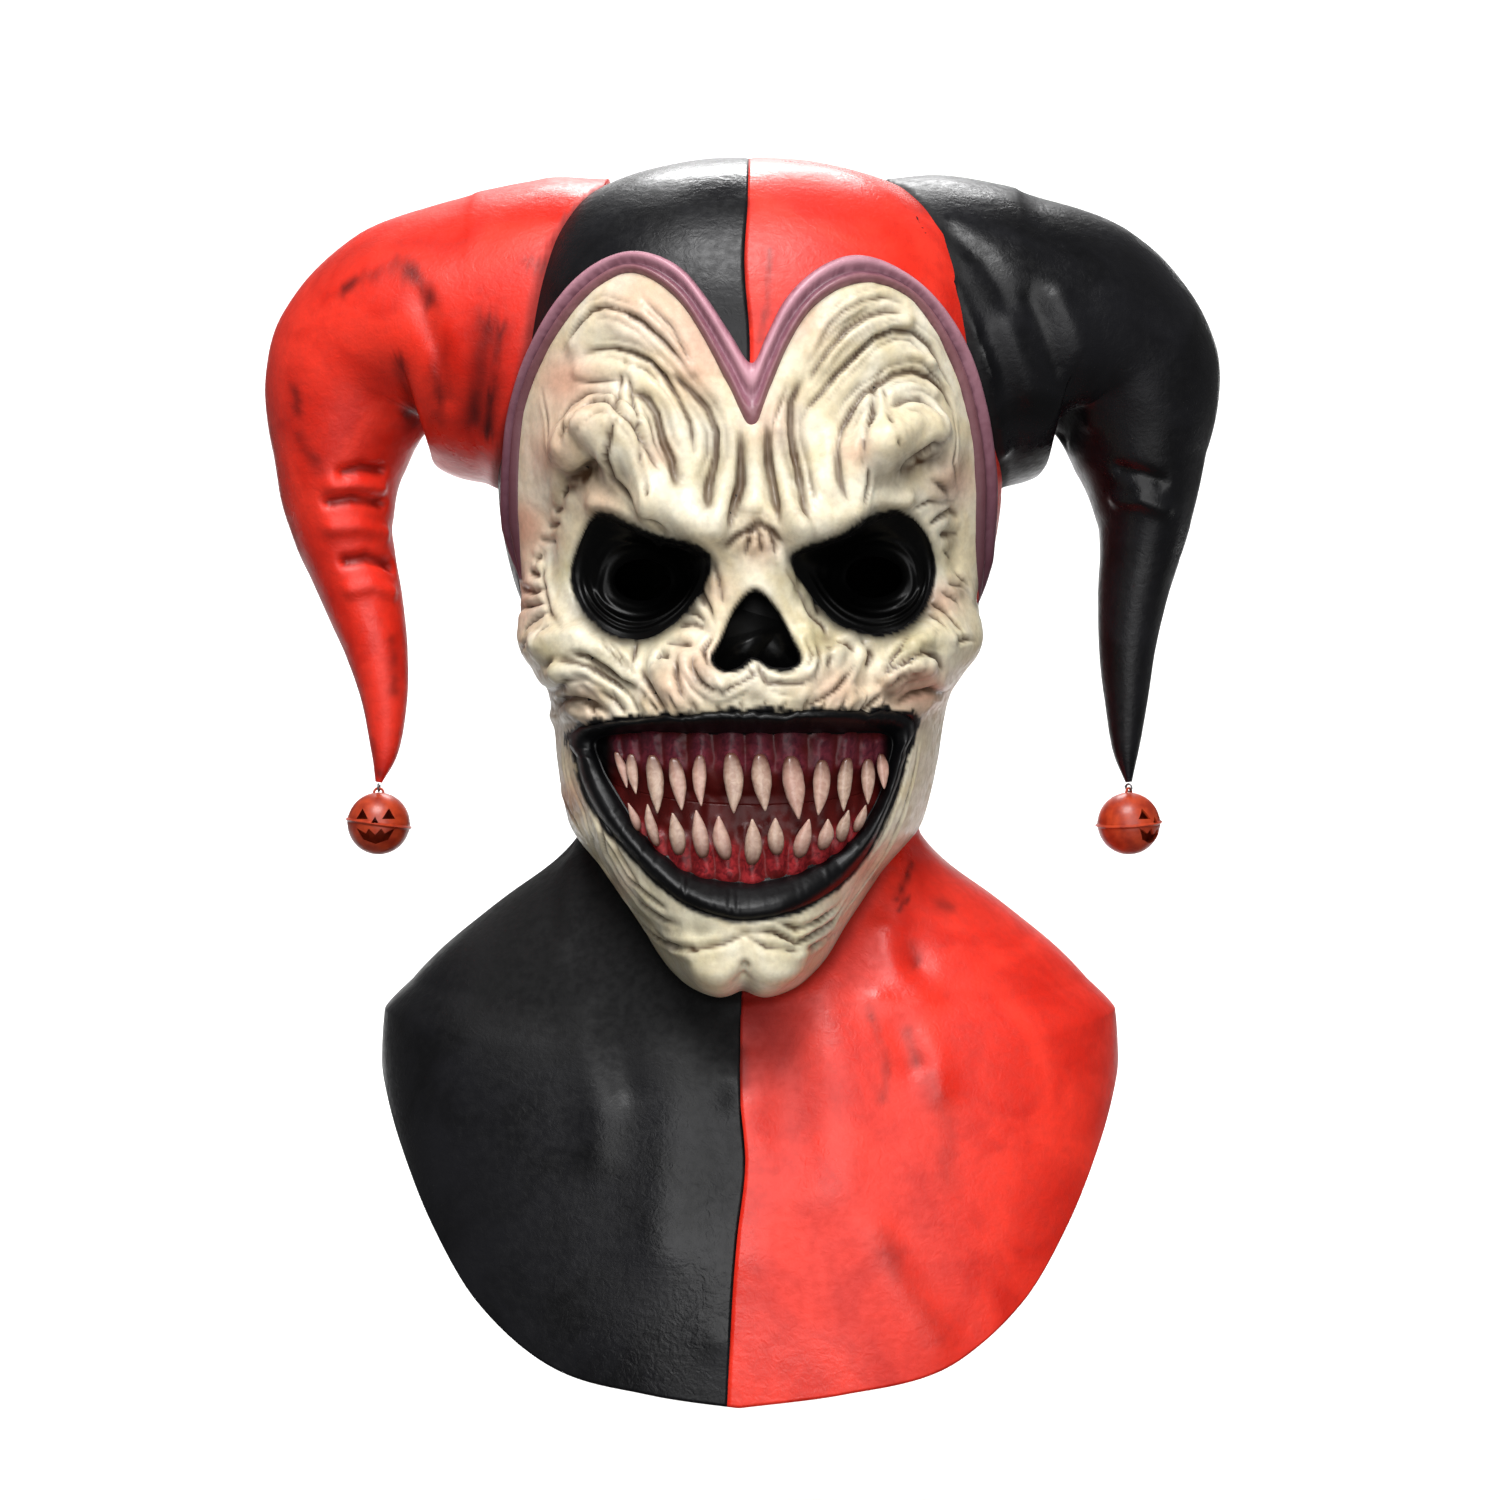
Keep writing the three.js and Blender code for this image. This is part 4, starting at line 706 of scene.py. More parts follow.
def front_point(across, down):
    """Points of the face surface at shares of the half head and of the chin drop."""
    x, z = np.asarray(across) * HALF_HEAD, -np.asarray(down) * CHIN_DROP
    low, high = np.full(x.shape, -math.pi), np.zeros(x.shape)
    for _ in range(40):
        middle = (low + high) / 2
        is_left = face_base(middle, z)[..., 0] < x
        low, high = np.where(is_left, middle, low), np.where(is_left, high, middle)
    return face_base((low + high) / 2, z)


def segment_reach(points, start, end):
    """Distance of points to a segment, and the share along it of the nearest place."""
    run = end - start
    t = np.clip(((points - start) @ run) / max(run @ run, 1e-9), 0, 1)
    return np.linalg.norm(points - start - t[..., None] * run, axis=-1), t


def relief(points):
    """Large bulges and dents of the face, the same as on the solids."""
    starts = front_point(RELIEF["across"], RELIEF["down"])
    ends = front_point(RELIEF["to_across"], RELIEF["to_down"])
    total = np.zeros(points.shape[:-1])
    for start, end, size, rise in zip(starts, ends, RELIEF["size"], RELIEF["rise"]):
        reach, _ = segment_reach(points, start, end)
        total += rise * RELIEF_RISE * np.exp(-(reach / (size * HALF_HEAD)) ** 2)
    return total


def grid_normals(grid, wraps=False):
    """Normals of a grid of points, to the left of its rows seen along its columns."""
    if wraps:
        across = np.roll(grid, -1, axis=1) - np.roll(grid, 1, axis=1)
    else:
        across = np.gradient(grid, axis=1)
    along = np.gradient(grid, axis=0)
    normal = np.cross(along, across)
    return normal / np.maximum(np.linalg.norm(normal, axis=-1, keepdims=True), 1e-9)


def in_photo(points):
    """Pixel of the photograph at which each point shows."""
    slope = PIXEL_SLOPE * (CAMERA_AWAY + points[..., 1])
    return np.stack([PHOTO_MIDDLE + points[..., 0] / slope,
                     PHOTO_MIDDLE - (points[..., 2] - CAMERA_DROP) / slope], axis=-1)


def from_photo(x, y, depth):
    """Point at a pixel of the photograph and a given Y."""
    slope = PIXEL_SLOPE * (CAMERA_AWAY + depth)
    return np.stack([(x - PHOTO_MIDDLE) * slope, depth + 0 * x, CAMERA_DROP + (PHOTO_MIDDLE - y) * slope], axis=-1)


def noise(points, size, seed):
    """Smooth seeded noise between -1 and 1 with lumps of the given size."""
    scaled = points / size + 0.37 * seed
    cell = np.floor(scaled).astype(np.int64)
    t = scaled - cell
    t = t * t * (3 - 2 * t)
    total = np.zeros(points.shape[:-1])
    for corner in np.ndindex(2, 2, 2):
        key = (cell + corner).astype(np.uint64)
        mixed = key[..., 0] * np.uint64(374761393) + key[..., 1] * np.uint64(668265263)
        mixed += key[..., 2] * np.uint64(2147483647) + np.uint64(seed * 144665)
        mixed = (mixed ^ (mixed >> np.uint64(13))) * np.uint64(1274126177)
        value = ((mixed ^ (mixed >> np.uint64(16))) & np.uint64(65535)).astype(float) / 32767.5 - 1
        weight = np.prod(np.where(corner, t, 1 - t), axis=-1)
        total += value * weight
    return total


def blurred(values, reach):
    """Values of a grid averaged over a square of cells, twice over."""
    for axis in (0, 1, 0, 1):
        padded = np.concatenate([np.repeat(np.take(values, [0], axis), reach + 1, axis), values,
                                 np.repeat(np.take(values, [-1], axis), reach, axis)], axis)
        sums = np.cumsum(padded, axis=axis)
        count = values.shape[axis]
        high = np.take(sums, np.arange(2 * reach + 1, 2 * reach + 1 + count), axis)
        low = np.take(sums, np.arange(count), axis)
        values = (high - low) / (2 * reach + 1)
    return values


def place_route(flat, shown, facing, route):
    """Route by pixel laid on the nearest shown points of a surface."""
    chosen = []
    for x, y in route:
        off = (shown[:, 0] - x) ** 2 + (shown[:, 1] - y) ** 2
        chosen.append(flat[np.argmin(np.where(facing, off, np.inf))])
    return np.array(chosen)


def route_reach(points, route):
    """Distance to a route of points, and the share along it of the nearest place."""
    lengths = np.linalg.norm(np.diff(route, axis=0), axis=1)
    marks = np.concatenate([[0], np.cumsum(lengths)]) / max(lengths.sum(), 1e-9)
    best = np.full(len(points), np.inf)
    share = np.zeros(len(points))
    for i in range(len(route) - 1):
        reach, t = segment_reach(points, route[i], route[i + 1])
        nearer = reach < best
        best = np.where(nearer, reach, best)
        share = np.where(nearer, marks[i] + (marks[i + 1] - marks[i]) * t, share)
    return best, share


def near_route(flat, route, margin):
    low, high = route.min(axis=0) - margin, route.max(axis=0) + margin
    return np.nonzero(np.all((flat > low) & (flat < high), axis=1))[0]


def echoes(wrinkles, apart, share):
    """Fainter folds that follow each long wrinkle on both sides, as in slack skin."""
    made = []
    for wide, deep, strength, pixels in wrinkles:
        route = np.array(pixels, dtype=float)
        if len(route) < 5 or wide < 1.1:
            continue
        run = np.gradient(route, axis=0)
        run /= np.linalg.norm(run, axis=1, keepdims=True)
        square = np.stack([-run[:, 1], run[:, 0]], axis=-1)
        for side in (-1, 1):
            shifted = route + side * apart * square
            made.append((0.8 * wide, share * deep, share * strength, shifted[1:-1]))
    return made


def carve(grid, normals, wrinkles):
    """Height of wrinkles, and their dark line of brown paint and painted shade, given by half width, depth, strength
    and route.
    """
    flat, shown = grid.reshape(-1, 3), in_photo(grid).reshape(-1, 2)
    facing = normals.reshape(-1, 3)[:, 1] < 0.15
    height, wash_and_shade = np.zeros(len(flat)), np.zeros(len(flat))
    for wide, deep, strength, pixels in wrinkles:
        route = place_route(flat, shown, facing, pixels)
        near = near_route(flat, route, 5 * wide)
        reach, share = route_reach(flat[near], route)
        taper = np.sqrt(np.clip(np.sin(math.pi * share), 0.02, 1))
        ragged = 1 + 0.2 * noise(flat[near], 5.0, 3)
        groove = np.exp(-(reach / (0.85 * wide)) ** 2) * taper * ragged
        folds = np.exp(-((reach - 2.6 * wide) / (1.7 * wide)) ** 2) * taper
        height[near] += deep * (0.75 * folds - 1.7 * groove)
        # Dark line in the groove: brown paint that is partly painted shade of the groove; the haze on both sides of
        # it is painted shade.
        line = 0.95 * np.exp(-(reach / (0.62 * wide)) ** 2) * taper * ragged
        haze = 0.34 * np.exp(-(reach / (2.2 * wide)) ** 2) * taper
        wash_and_shade[near] = np.maximum(wash_and_shade[near], 1.2 * strength * (line + haze))
    return height.reshape(grid.shape[:2]), wash_and_shade.reshape(grid.shape[:2])


def swell(grid, normals, swellings):
    """Height of soft swellings given by radius, rise and route."""
    flat, shown = grid.reshape(-1, 3), in_photo(grid).reshape(-1, 2)
    facing = normals.reshape(-1, 3)[:, 1] < 0.25
    height = np.zeros(len(flat))
    for size, rise, pixels in swellings:
        route = place_route(flat, shown, facing, pixels)
        near = near_route(flat, route, 3 * size)
        reach, _ = route_reach(flat[near], route)
        height[near] += rise * np.exp(-(reach / size) ** 2)
    return height.reshape(grid.shape[:2])


def tint(grid, spots):
    """Strength of a sprayed tint from spots given by pixel."""
    shown = in_photo(grid)
    total = np.zeros(grid.shape[:2])
    scale = PIXEL_SLOPE * (CAMERA_AWAY - FACE_DEPTH)
    for x, y, size, strength in zip(spots["x"], spots["y"], spots["size"], spots["strength"]):
        reach = np.hypot(shown[..., 0] - x, shown[..., 1] - y) * scale / size
        total += strength * np.exp(-reach ** 2)
    return np.clip(total, 0, 1)


def closed_curve(points, steps):
    """Smooth closed curve through points, in any number of dimensions."""
    t = (np.arange(steps) / steps)[:, None]
    count = len(points)
    parts = []
    for i in range(count):
        a, b, c, d = (points[(i + k) % count] for k in (-1, 0, 1, 2))
        ease = t * t * (3 - 2 * t)
        parts.append(b + (c - b) * ease + 0.5 * (c - a) * t * (1 - t) ** 2 - 0.5 * (d - b) * t * t * (1 - t))
    return np.concatenate(parts)


def outline_of(rows, steps, across="across", down="down"):
    corners = np.stack([rows[across] * HALF_HEAD, -rows[down] * CHIN_DROP], axis=-1)
    return closed_curve(corners, steps)


def inside_reach(x, z, outline):
    """Distance to a closed outline in the front view, positive inside."""
    shape = x.shape
    flat = np.stack([x.ravel(), z.ravel()], axis=-1)
    best = np.full(len(flat), np.inf)
    inside = np.zeros(len(flat), dtype=bool)
    for a, b in zip(outline, np.roll(outline, -1, axis=0)):
        reach, _ = segment_reach(flat, a, b)
        best = np.minimum(best, reach)
        crosses = (a[1] > flat[:, 1]) != (b[1] > flat[:, 1])
        at = (b[0] - a[0]) * (flat[:, 1] - a[1]) / np.where(b[1] == a[1], 1e-9, b[1] - a[1]) + a[0]
        inside ^= crosses & (flat[:, 0] < at)
    return np.where(inside, best, -best).reshape(shape)


def face_outline():
    """Front-view outline of the face, open at the sides, where the side seam ends it."""
    seam = np.stack([(TRIM["out_across"] + TRIM["in_across"]) / 2 * HALF_HEAD,
                     -(TRIM["out_down"] + TRIM["in_down"]) / 2 * CHIN_DROP], axis=-1)
    jaw = np.stack([JAW_LINE["across"] * HALF_HEAD, -JAW_LINE["down"] * CHIN_DROP], axis=-1)
    side = np.array([[1.4 * HALF_HEAD, seam[-1, 1]]])
    return np.concatenate([np.array([[-1.4 * HALF_HEAD, seam[0, 1]]]), seam, side, jaw[::-1]])


def face_reach(grid):
    """How far a point lies inside the face's own area."""
    reach = inside_reach(grid[..., 0], grid[..., 2], face_outline())
    return np.minimum(reach, -SIDE_SEAM - grid[..., 1])


def even_steps(values, lengths, count):
    """Values at even steps of length along a fine list."""
    marks = np.concatenate([[0], np.cumsum(lengths)])
    return np.interp(np.linspace(0, marks[-1], count), marks, values)


# Meshes from grids


def clear_selection():
    for obj in bpy.context.selected_objects:
        obj.select_set(False)


def pick(obj):
    """Select one object alone and make it active."""
    clear_selection()
    obj.select_set(True)
    bpy.context.view_layer.objects.active = obj


def added(name):
    """The primitive that was just added, named, with its place moved into its mesh."""
    obj = bpy.context.active_object
    obj.name = name
    obj.data.name = name
    bpy.ops.object.transform_apply(location=True, rotation=True, scale=True)
    return obj


def mesh_piece(name, points, faces):
    mesh = bpy.data.meshes.new(name)
    mesh.from_pydata((points * MM).tolist(), [], faces)
    mesh.update()
    obj = bpy.data.objects.new(name, mesh)
    bpy.context.scene.collection.objects.link(obj)
    pick(obj)
    bpy.ops.object.shade_smooth()
    return obj


def walled_skin(name, outer, inner, keep):
    """A thin wall from a fine outer grid and an inner grid with every second point of it.

    keep says which cells of the inner grid stay; each covers four cells of the outer grid.
    """
    rows, cols = keep.shape
    fine_cols = outer.shape[1]
    fine = lambda r, c: r * fine_cols + c
    start = outer.shape[0] * fine_cols
    coarse = lambda r, c: start + r * (cols + 1) + c
    faces = []
    for r in range(rows):
        for c in range(cols):
            if not keep[r, c]:
                continue
            for i, j in ((0, 0), (0, 1), (1, 0), (1, 1)):
                y, x = 2 * r + i, 2 * c + j
                faces.append((fine(y, x), fine(y + 1, x), fine(y + 1, x + 1), fine(y, x + 1)))
            faces.append((coarse(r, c), coarse(r, c + 1), coarse(r + 1, c + 1), coarse(r + 1, c)))

            def edge(ends, middle):
                (ra, ca), (rb, cb) = ends
                a, b = fine(2 * ra, 2 * ca), fine(2 * rb, 2 * cb)
                inner_a, inner_b = coarse(ra, ca), coarse(rb, cb)
                faces.append((a, middle, inner_a))
                faces.append((middle, inner_b, inner_a))
                faces.append((middle, b, inner_b))

            if r == 0 or not keep[r - 1, c]:
                edge(((r, c), (r, c + 1)), fine(2 * r, 2 * c + 1))
            if r == rows - 1 or not keep[r + 1, c]:
                edge(((r + 1, c + 1), (r + 1, c)), fine(2 * r + 2, 2 * c + 1))
            if c == 0 or not keep[r, c - 1]:
                edge(((r + 1, c), (r, c)), fine(2 * r + 1, 2 * c))
            if c == cols - 1 or not keep[r, c + 1]:
                edge(((r, c + 1), (r + 1, c + 1)), fine(2 * r + 1, 2 * c + 2))
    points = np.concatenate([outer.reshape(-1, 3), inner.reshape(-1, 3)])
    used = np.unique(np.concatenate([np.array(face) for face in faces]))
    renumber = np.zeros(len(points), dtype=int)
    renumber[used] = np.arange(len(used))
    faces = [tuple(int(renumber[i]) for i in face) for face in faces]
    obj = mesh_piece(name, points[used], faces)
    return obj, used


def paint_points(obj, values):
    """Four paint strengths kept on the points of a mesh."""
    layer = obj.data.color_attributes.new(name=PAINT, type="FLOAT_COLOR", domain="POINT")
    layer.data.foreach_set("color", np.clip(values, 0, 1).astype(np.float32).ravel())


def inner_paint(paint):
    """Paint of the wall inside, where only the last strength counts."""
    count = paint[::2, ::2].shape[0] * paint[::2, ::2].shape[1]
    return np.tile(np.array([0.0, 0.0, 0.0, 1.0]), (count, 1))


def wrapped_grid(name, grid, closes_on_itself=False):
    """A tube: a grid primitive wrapped round by its points, merged along the join and closed."""
    rows, cols = grid.shape[:2]
    wrapped = np.concatenate([grid, grid[:, :1]], axis=1)
    if closes_on_itself:
        wrapped = np.concatenate([wrapped, wrapped[:1]], axis=0)
    clear_selection()
    bpy.ops.mesh.primitive_grid_add(x_subdivisions=wrapped.shape[1] - 1, y_subdivisions=wrapped.shape[0] - 1)
    obj = added(name)
    obj.data.vertices.foreach_set("co", (wrapped * MM).astype(np.float32).ravel())
    obj.data.update()
    bpy.ops.object.mode_set(mode="EDIT")
    bpy.ops.mesh.select_all(action="SELECT")
    bpy.ops.mesh.remove_doubles(threshold=1e-6)
    if not closes_on_itself:
        bpy.ops.mesh.select_all(action="DESELECT")
        bpy.ops.mesh.select_non_manifold()
        bpy.ops.mesh.edge_face_add()
    bpy.ops.mesh.select_all(action="SELECT")
    bpy.ops.mesh.normals_make_consistent(inside=False)
    bpy.ops.object.mode_set(mode="OBJECT")
    bpy.ops.object.shade_smooth()
    return obj


def apply_modifier(obj, kind, **settings):
    pick(obj)
    modifier = obj.modifiers.new(kind.title(), kind)
    for key, value in settings.items():
        setattr(modifier, key, value)
    bpy.ops.object.modifier_apply(modifier=modifier.name)


def dress(obj, material):
    obj.data.materials.clear()
    obj.data.materials.append(material)


def settle(obj, material, node):
    """Dress a finished piece, fix it to the body and hide the solid it stands for."""
    dress(obj, material_of(material))
    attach(obj, BODY)
    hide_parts(node)


# Materials


LATEX_IOR = 1.52
VARNISH_IOR = 1.5
SKIN_SCATTER = (1.0, 0.5, 0.3)


def linear(colour):
    """Linear colour with alpha from an sRGB hex string such as '#E0D3B0'."""
    parts = [int(colour[i:i + 2], 16) / 255 for i in (1, 3, 5)]
    return [p / 12.92 if p <= 0.04045 else ((p + 0.055) / 1.055) ** 2.4 for p in parts] + [1.0]


def add_node(tree, kind, inputs=None, **settings):
    """Add a node with its settings, and set or link its inputs by name or number."""
    made = tree.nodes.new(kind)
    for key, value in settings.items():
        setattr(made, key, value)
    for key, value in (inputs or {}).items():
        if isinstance(value, bpy.types.NodeSocket):
            tree.links.new(value, made.inputs[key])
        else:
            made.inputs[key].default_value = value
    return made


def new_material(name):
    material = bpy.data.materials.new(name)
    material.use_nodes = True
    material.node_tree.nodes.clear()
    return material, material.node_tree


def finished(material, tree, sockets):
    """The material with a shader that has the given sockets, linked to its output."""
    shader = add_node(tree, "ShaderNodeBsdfPrincipled", sockets)
    add_node(tree, "ShaderNodeOutputMaterial", {"Surface": shader.outputs[0]})
    return material


def mix(tree, share, first, second):
    """Colour between two, by a share."""
    made = add_node(tree, "ShaderNodeMix", data_type="RGBA")
    for socket, value in zip((made.inputs[0], made.inputs[6], made.inputs[7]), (share, first, second)):
        if isinstance(value, bpy.types.NodeSocket):
            tree.links.new(value, socket)
        else:
            socket.default_value = value
    return made.outputs[2]


def speckle(tree, spacing, detail=2.0, distortion=0.0):
    """Noise on the object's own place with lumps a given number of millimetres apart."""
    place = add_node(tree, "ShaderNodeTexCoord").outputs["Object"]
    made = add_node(tree, "ShaderNodeTexNoise", {
        "Vector": place, "Scale": 1 / (spacing * MM), "Detail": detail, "Distortion": distortion})
    return made.outputs["Fac"]


def window(tree, value, low, high):
    """Value stretched so that low gives 0 and high gives 1."""
    return add_node(tree, "ShaderNodeMapRange", {
        "Value": value, "From Min": low, "From Max": high}).outputs["Result"]


def painted_channels(tree):
    """The four paint strengths of a skin."""
    layer = add_node(tree, "ShaderNodeAttribute", attribute_name=PAINT)
    parts = add_node(tree, "ShaderNodeSeparateColor", {"Color": layer.outputs["Color"]})
    return [parts.outputs[0], parts.outputs[1], parts.outputs[2], layer.outputs["Alpha"]]


def bump(tree, height, distance, strength=1.0, below=None):
    inputs = {"Height": height, "Distance": distance * MM, "Strength": strength}
    if below is not None:
        inputs["Normal"] = below
    return add_node(tree, "ShaderNodeBump", inputs).outputs["Normal"]


def bone_latex(colours):
    """Moulded latex, painted: satin bone colour, brown in the creases that is partly brushed-in paint and partly
    painted shade, black in the hollows.
    """
    material, tree = new_material("bone_latex_moulded_painted")
    wash_and_shade, black, hue, inside = painted_channels(tree)
    pink = window(tree, hue, 0.5, 1.0)
    olive = window(tree, hue, 0.5, 0.0)
    blotches = window(tree, speckle(tree, 16, 3, 0.6), 0.35, 0.65)
    fine = window(tree, speckle(tree, 2.2, 3), 0.4, 0.62)
    base = mix(tree, blotches, linear(colours.bone_light), linear(colours.bone_dark))
    base = mix(tree, pink, base, linear(colours.bone_pink))
    base = mix(tree, olive, base, linear(colours.bone_olive))
    stain = add_node(tree, "ShaderNodeMath", {0: fine, 1: 0.12}, operation="MULTIPLY").outputs[0]
    base = mix(tree, stain, base, linear(colours.wash_and_shade))
    # The brown also paints the shade of the creases, hollows and face outline.
    base = mix(tree, wash_and_shade, base, linear(colours.wash_and_shade))
    base = mix(tree, black, base, linear(colours.hollow))
    base = mix(tree, inside, base, linear(INSIDE))
    rough = window(tree, fine, -1.2, 2.6)
    grain = bump(tree, speckle(tree, 0.9, 2), 0.12, 0.5)
    return finished(material, tree, {
        "Base Color": base, "Roughness": rough, "Normal": grain, "IOR": LATEX_IOR, "Specular IOR Level": 0.32,
        "Subsurface Weight": 0.05, "Subsurface Scale": 0.004, "Subsurface Radius": SKIN_SCATTER})


def dyed_latex(name, light, dark, smudge, rough_low, rough_high, shine):
    """Dipped latex in one dyed colour: soft satin and cloudy, with dark smudges, and painted shade in the folds and
    where the shade channel asks for it, rougher there.
    """
    material, tree = new_material(name)
    fold, shade, glossy, inside = painted_channels(tree)
    cloud = window(tree, speckle(tree, 26, 3, 0.8), 0.36, 0.66)
    mottle = window(tree, speckle(tree, 3.2, 4), 0.4, 0.66)
    base = mix(tree, cloud, linear(light), linear(dark))
    # The fold channel holds painted shade in folds and creases together with dark brush marks, both in the smudge
    # colour.
    base = mix(tree, fold, base, linear(smudge))
    speck = add_node(tree, "ShaderNodeMath", {0: mottle, 1: 0.1}, operation="MULTIPLY").outputs[0]
    base = mix(tree, speck, base, linear(smudge))
    # Painted shade: the shade channel darkens towards the smudge colour and below also roughens the surface.
    base = mix(tree, shade, base, linear(smudge))
    base = mix(tree, inside, base, linear(INSIDE))
    rough = add_node(tree, "ShaderNodeMapRange", {
        "Value": mottle, "From Min": 0.0, "From Max": 1.0, "To Min": rough_low, "To Max": rough_high}).outputs[0]
    gloss = add_node(tree, "ShaderNodeMapRange", {
        "Value": glossy, "From Min": 0.0, "From Max": 1.0, "To Min": 1.0, "To Max": 0.35}).outputs[0]
    rough = add_node(tree, "ShaderNodeMath", {0: rough, 1: gloss}, operation="MULTIPLY").outputs[0]
    matt = add_node(tree, "ShaderNodeMath", {0: shade, 1: 0.45}, operation="MULTIPLY").outputs[0]
    rough = add_node(tree, "ShaderNodeMath", {0: rough, 1: matt}, operation="ADD").outputs[0]
    crackle = bump(tree, speckle(tree, 3.5, 4, 1.5), 0.5, 0.3)
    place = add_node(tree, "ShaderNodeTexCoord").outputs["Object"]
    slanted = add_node(tree, "ShaderNodeMapping", {
        "Vector": place, "Rotation": (0.0, 0.9, 0.3), "Scale": (1.0, 1.0, 2.5)}).outputs["Vector"]
    streak = add_node(tree, "ShaderNodeTexNoise", {"Vector": slanted, "Scale": 1 / (9 * MM), "Detail": 5.0})
    scratch = bump(tree, streak.outputs["Fac"], 0.8, 0.2, crackle)
    grain = bump(tree, speckle(tree, 0.8, 2), 0.1, 0.4, scratch)
    return finished(material, tree, {
        "Base Color": base, "Roughness": rough, "Normal": grain, "IOR": LATEX_IOR, "Specular IOR Level": shine})


def purple_latex(colours):
    """Moulded latex brushed lilac on the outer roll, partly a painted highlight on its top, and plum in the groove,
    partly painted shade there and along the edges.
    """
    material, tree = new_material("purple_latex_moulded_brushed")
    groove, brown, light, _ = painted_channels(tree)
    streak = window(tree, speckle(tree, 5, 4, 1.0), 0.35, 0.65)
    base = mix(tree, streak, linear(colours.purple), linear(colours.purple_dark))
    base = mix(tree, light, base, linear(colours.lilac))
    base = mix(tree, brown, base, linear(colours.purple_brown))
    base = mix(tree, groove, base, linear(colours.plum))
    grain = bump(tree, speckle(tree, 1.2, 3), 0.15, 0.5)
    return finished(material, tree, {
        "Base Color": base, "Roughness": 0.42, "Normal": grain, "IOR": LATEX_IOR})


def gloss_latex(name, colour, sheen, roughness, spacing, shine):
    """Latex under a gloss varnish: near black with sharp soft-edged highlights."""
    material, tree = new_material(name)
    cloud = window(tree, speckle(tree, spacing, 3, 0.5), 0.35, 0.7)
    base = mix(tree, cloud, linear(colour), linear(sheen))
    waves = bump(tree, speckle(tree, 2.5, 2), 0.25, 0.4)
    return finished(material, tree, {
        "Base Color": base, "Roughness": roughness, "Normal": waves, "IOR": VARNISH_IOR, "Specular IOR Level": shine})


def gum_latex(name, light, dark):
    """Painted and varnished latex gum: wet look, darker in the grooves between the teeth and towards the bite, partly
    painted shade, and near black in painted shadow.
    """
    material, tree = new_material(name)
    deep, shadow, _, _ = painted_channels(tree)
    vein = window(tree, speckle(tree, 2.4, 3, 1.2), 0.35, 0.65)
    base = mix(tree, vein, linear(light), linear(dark))
    # Dark red between the teeth and towards the bite is partly painted shade of the mouth's depth; the near black is
    # painted shadow.
    base = mix(tree, deep, base, linear("#4E100E"))
    base = mix(tree, shadow, base, linear("#040304"))
    wet = bump(tree, speckle(tree, 1.6, 2), 0.2, 0.5)
    return finished(material, tree, {
        "Base Color": base, "Roughness": 0.34, "Normal": wet, "IOR": VARNISH_IOR, "Specular IOR Level": 0.2})


def tooth_latex(colours):
    """Cast tooth painted ivory, brown at the root, painted shade down its sides, satin varnished."""
    material, tree = new_material("ivory_latex_cast_varnished")
    root, pink, _, _ = painted_channels(tree)
    streak = window(tree, speckle(tree, 2.0, 3, 0.8), 0.35, 0.65)
    base = mix(tree, streak, linear(colours.tooth), linear(colours.tooth_dark))
    base = mix(tree, pink, base, linear("#C88E86"))
    base = mix(tree, root, base, linear(colours.tooth_root))
    return finished(material, tree, {
        "Base Color": base, "Roughness": 0.3, "IOR": VARNISH_IOR, "Subsurface Weight": 0.1,
        "Subsurface Scale": 0.002, "Subsurface Radius": SKIN_SCATTER})


def bell_enamel(colours):
    """Pressed tin dipped in orange enamel: glossy, deeper orange in cloudy patches."""
    material, tree = new_material("orange_enamel_dipped_tin")
    cloud = window(tree, speckle(tree, 4.0, 3), 0.35, 0.65)
    base = mix(tree, cloud, linear(colours.orange), linear(colours.orange_dark))
    return finished(material, tree, {
        "Base Color": base, "Roughness": 0.4, "IOR": VARNISH_IOR, "Coat Weight": 0.12, "Coat Roughness": 0.12})


def ring_wire():
    """Drawn steel wire, dull: grey, flecked darker by fine noise."""
    material, tree = new_material("steel_wire_drawn")
    scratch = window(tree, speckle(tree, 0.4, 3), 0.35, 0.65)
    base = mix(tree, scratch, linear("#8C8C8E"), linear("#55565A"))
    return finished(material, tree, {"Base Color": base, "Roughness": 0.35, "Metallic": 1.0})


def studio_paper():
    material, tree = new_material("studio_paper_matt")
    fibre = window(tree, speckle(tree, 30, 2), 0.3, 0.7)
    base = mix(tree, fibre, linear("#F4F4F3"), linear("#F8F8F8"))
    return finished(material, tree, {"Base Color": base, "Roughness": 0.9})


# Near-black colour of the wall inside: painted shade for the dark inside of the head, which shows through the eye
# holes
INSIDE = "#0C0A0A"


class MaskSizes(bpy.types.PropertyGroup):
    """Sizes of the visible mask that are not set by the frame."""
    wall: bpy.props.FloatProperty(
        name="Latex wall", description="Thickness of the latex skins in mm", default=2.0, min=1.0, max=3.0)
    wrinkle: bpy.props.FloatProperty(
        name="Wrinkle depth", description="Share of the full depth of the wrinkles", default=1.0, subtype="FACTOR")
    trim_rise: bpy.props.FloatProperty(
        name="Trim height", description="How far the trim stands over the skin in mm", default=3.2)
    lip_roll: bpy.props.FloatProperty(
        name="Lip roll", description="How far the lips swell in mm", default=3.4)
    socket_depth: bpy.props.FloatProperty(
        name="Socket depth", description="Depth of the eye sockets in mm", default=15.0)
    bell_wall: bpy.props.FloatProperty(
        name="Bell wall", description="Thickness of the tin of the bells in mm", default=0.9)
    wire: bpy.props.FloatProperty(
        name="Ring wire", description="Half the thickness of the ring wire in mm", default=0.45)


def colour_property(name, description, default):
    return bpy.props.StringProperty(name=name, description=description, default=default)


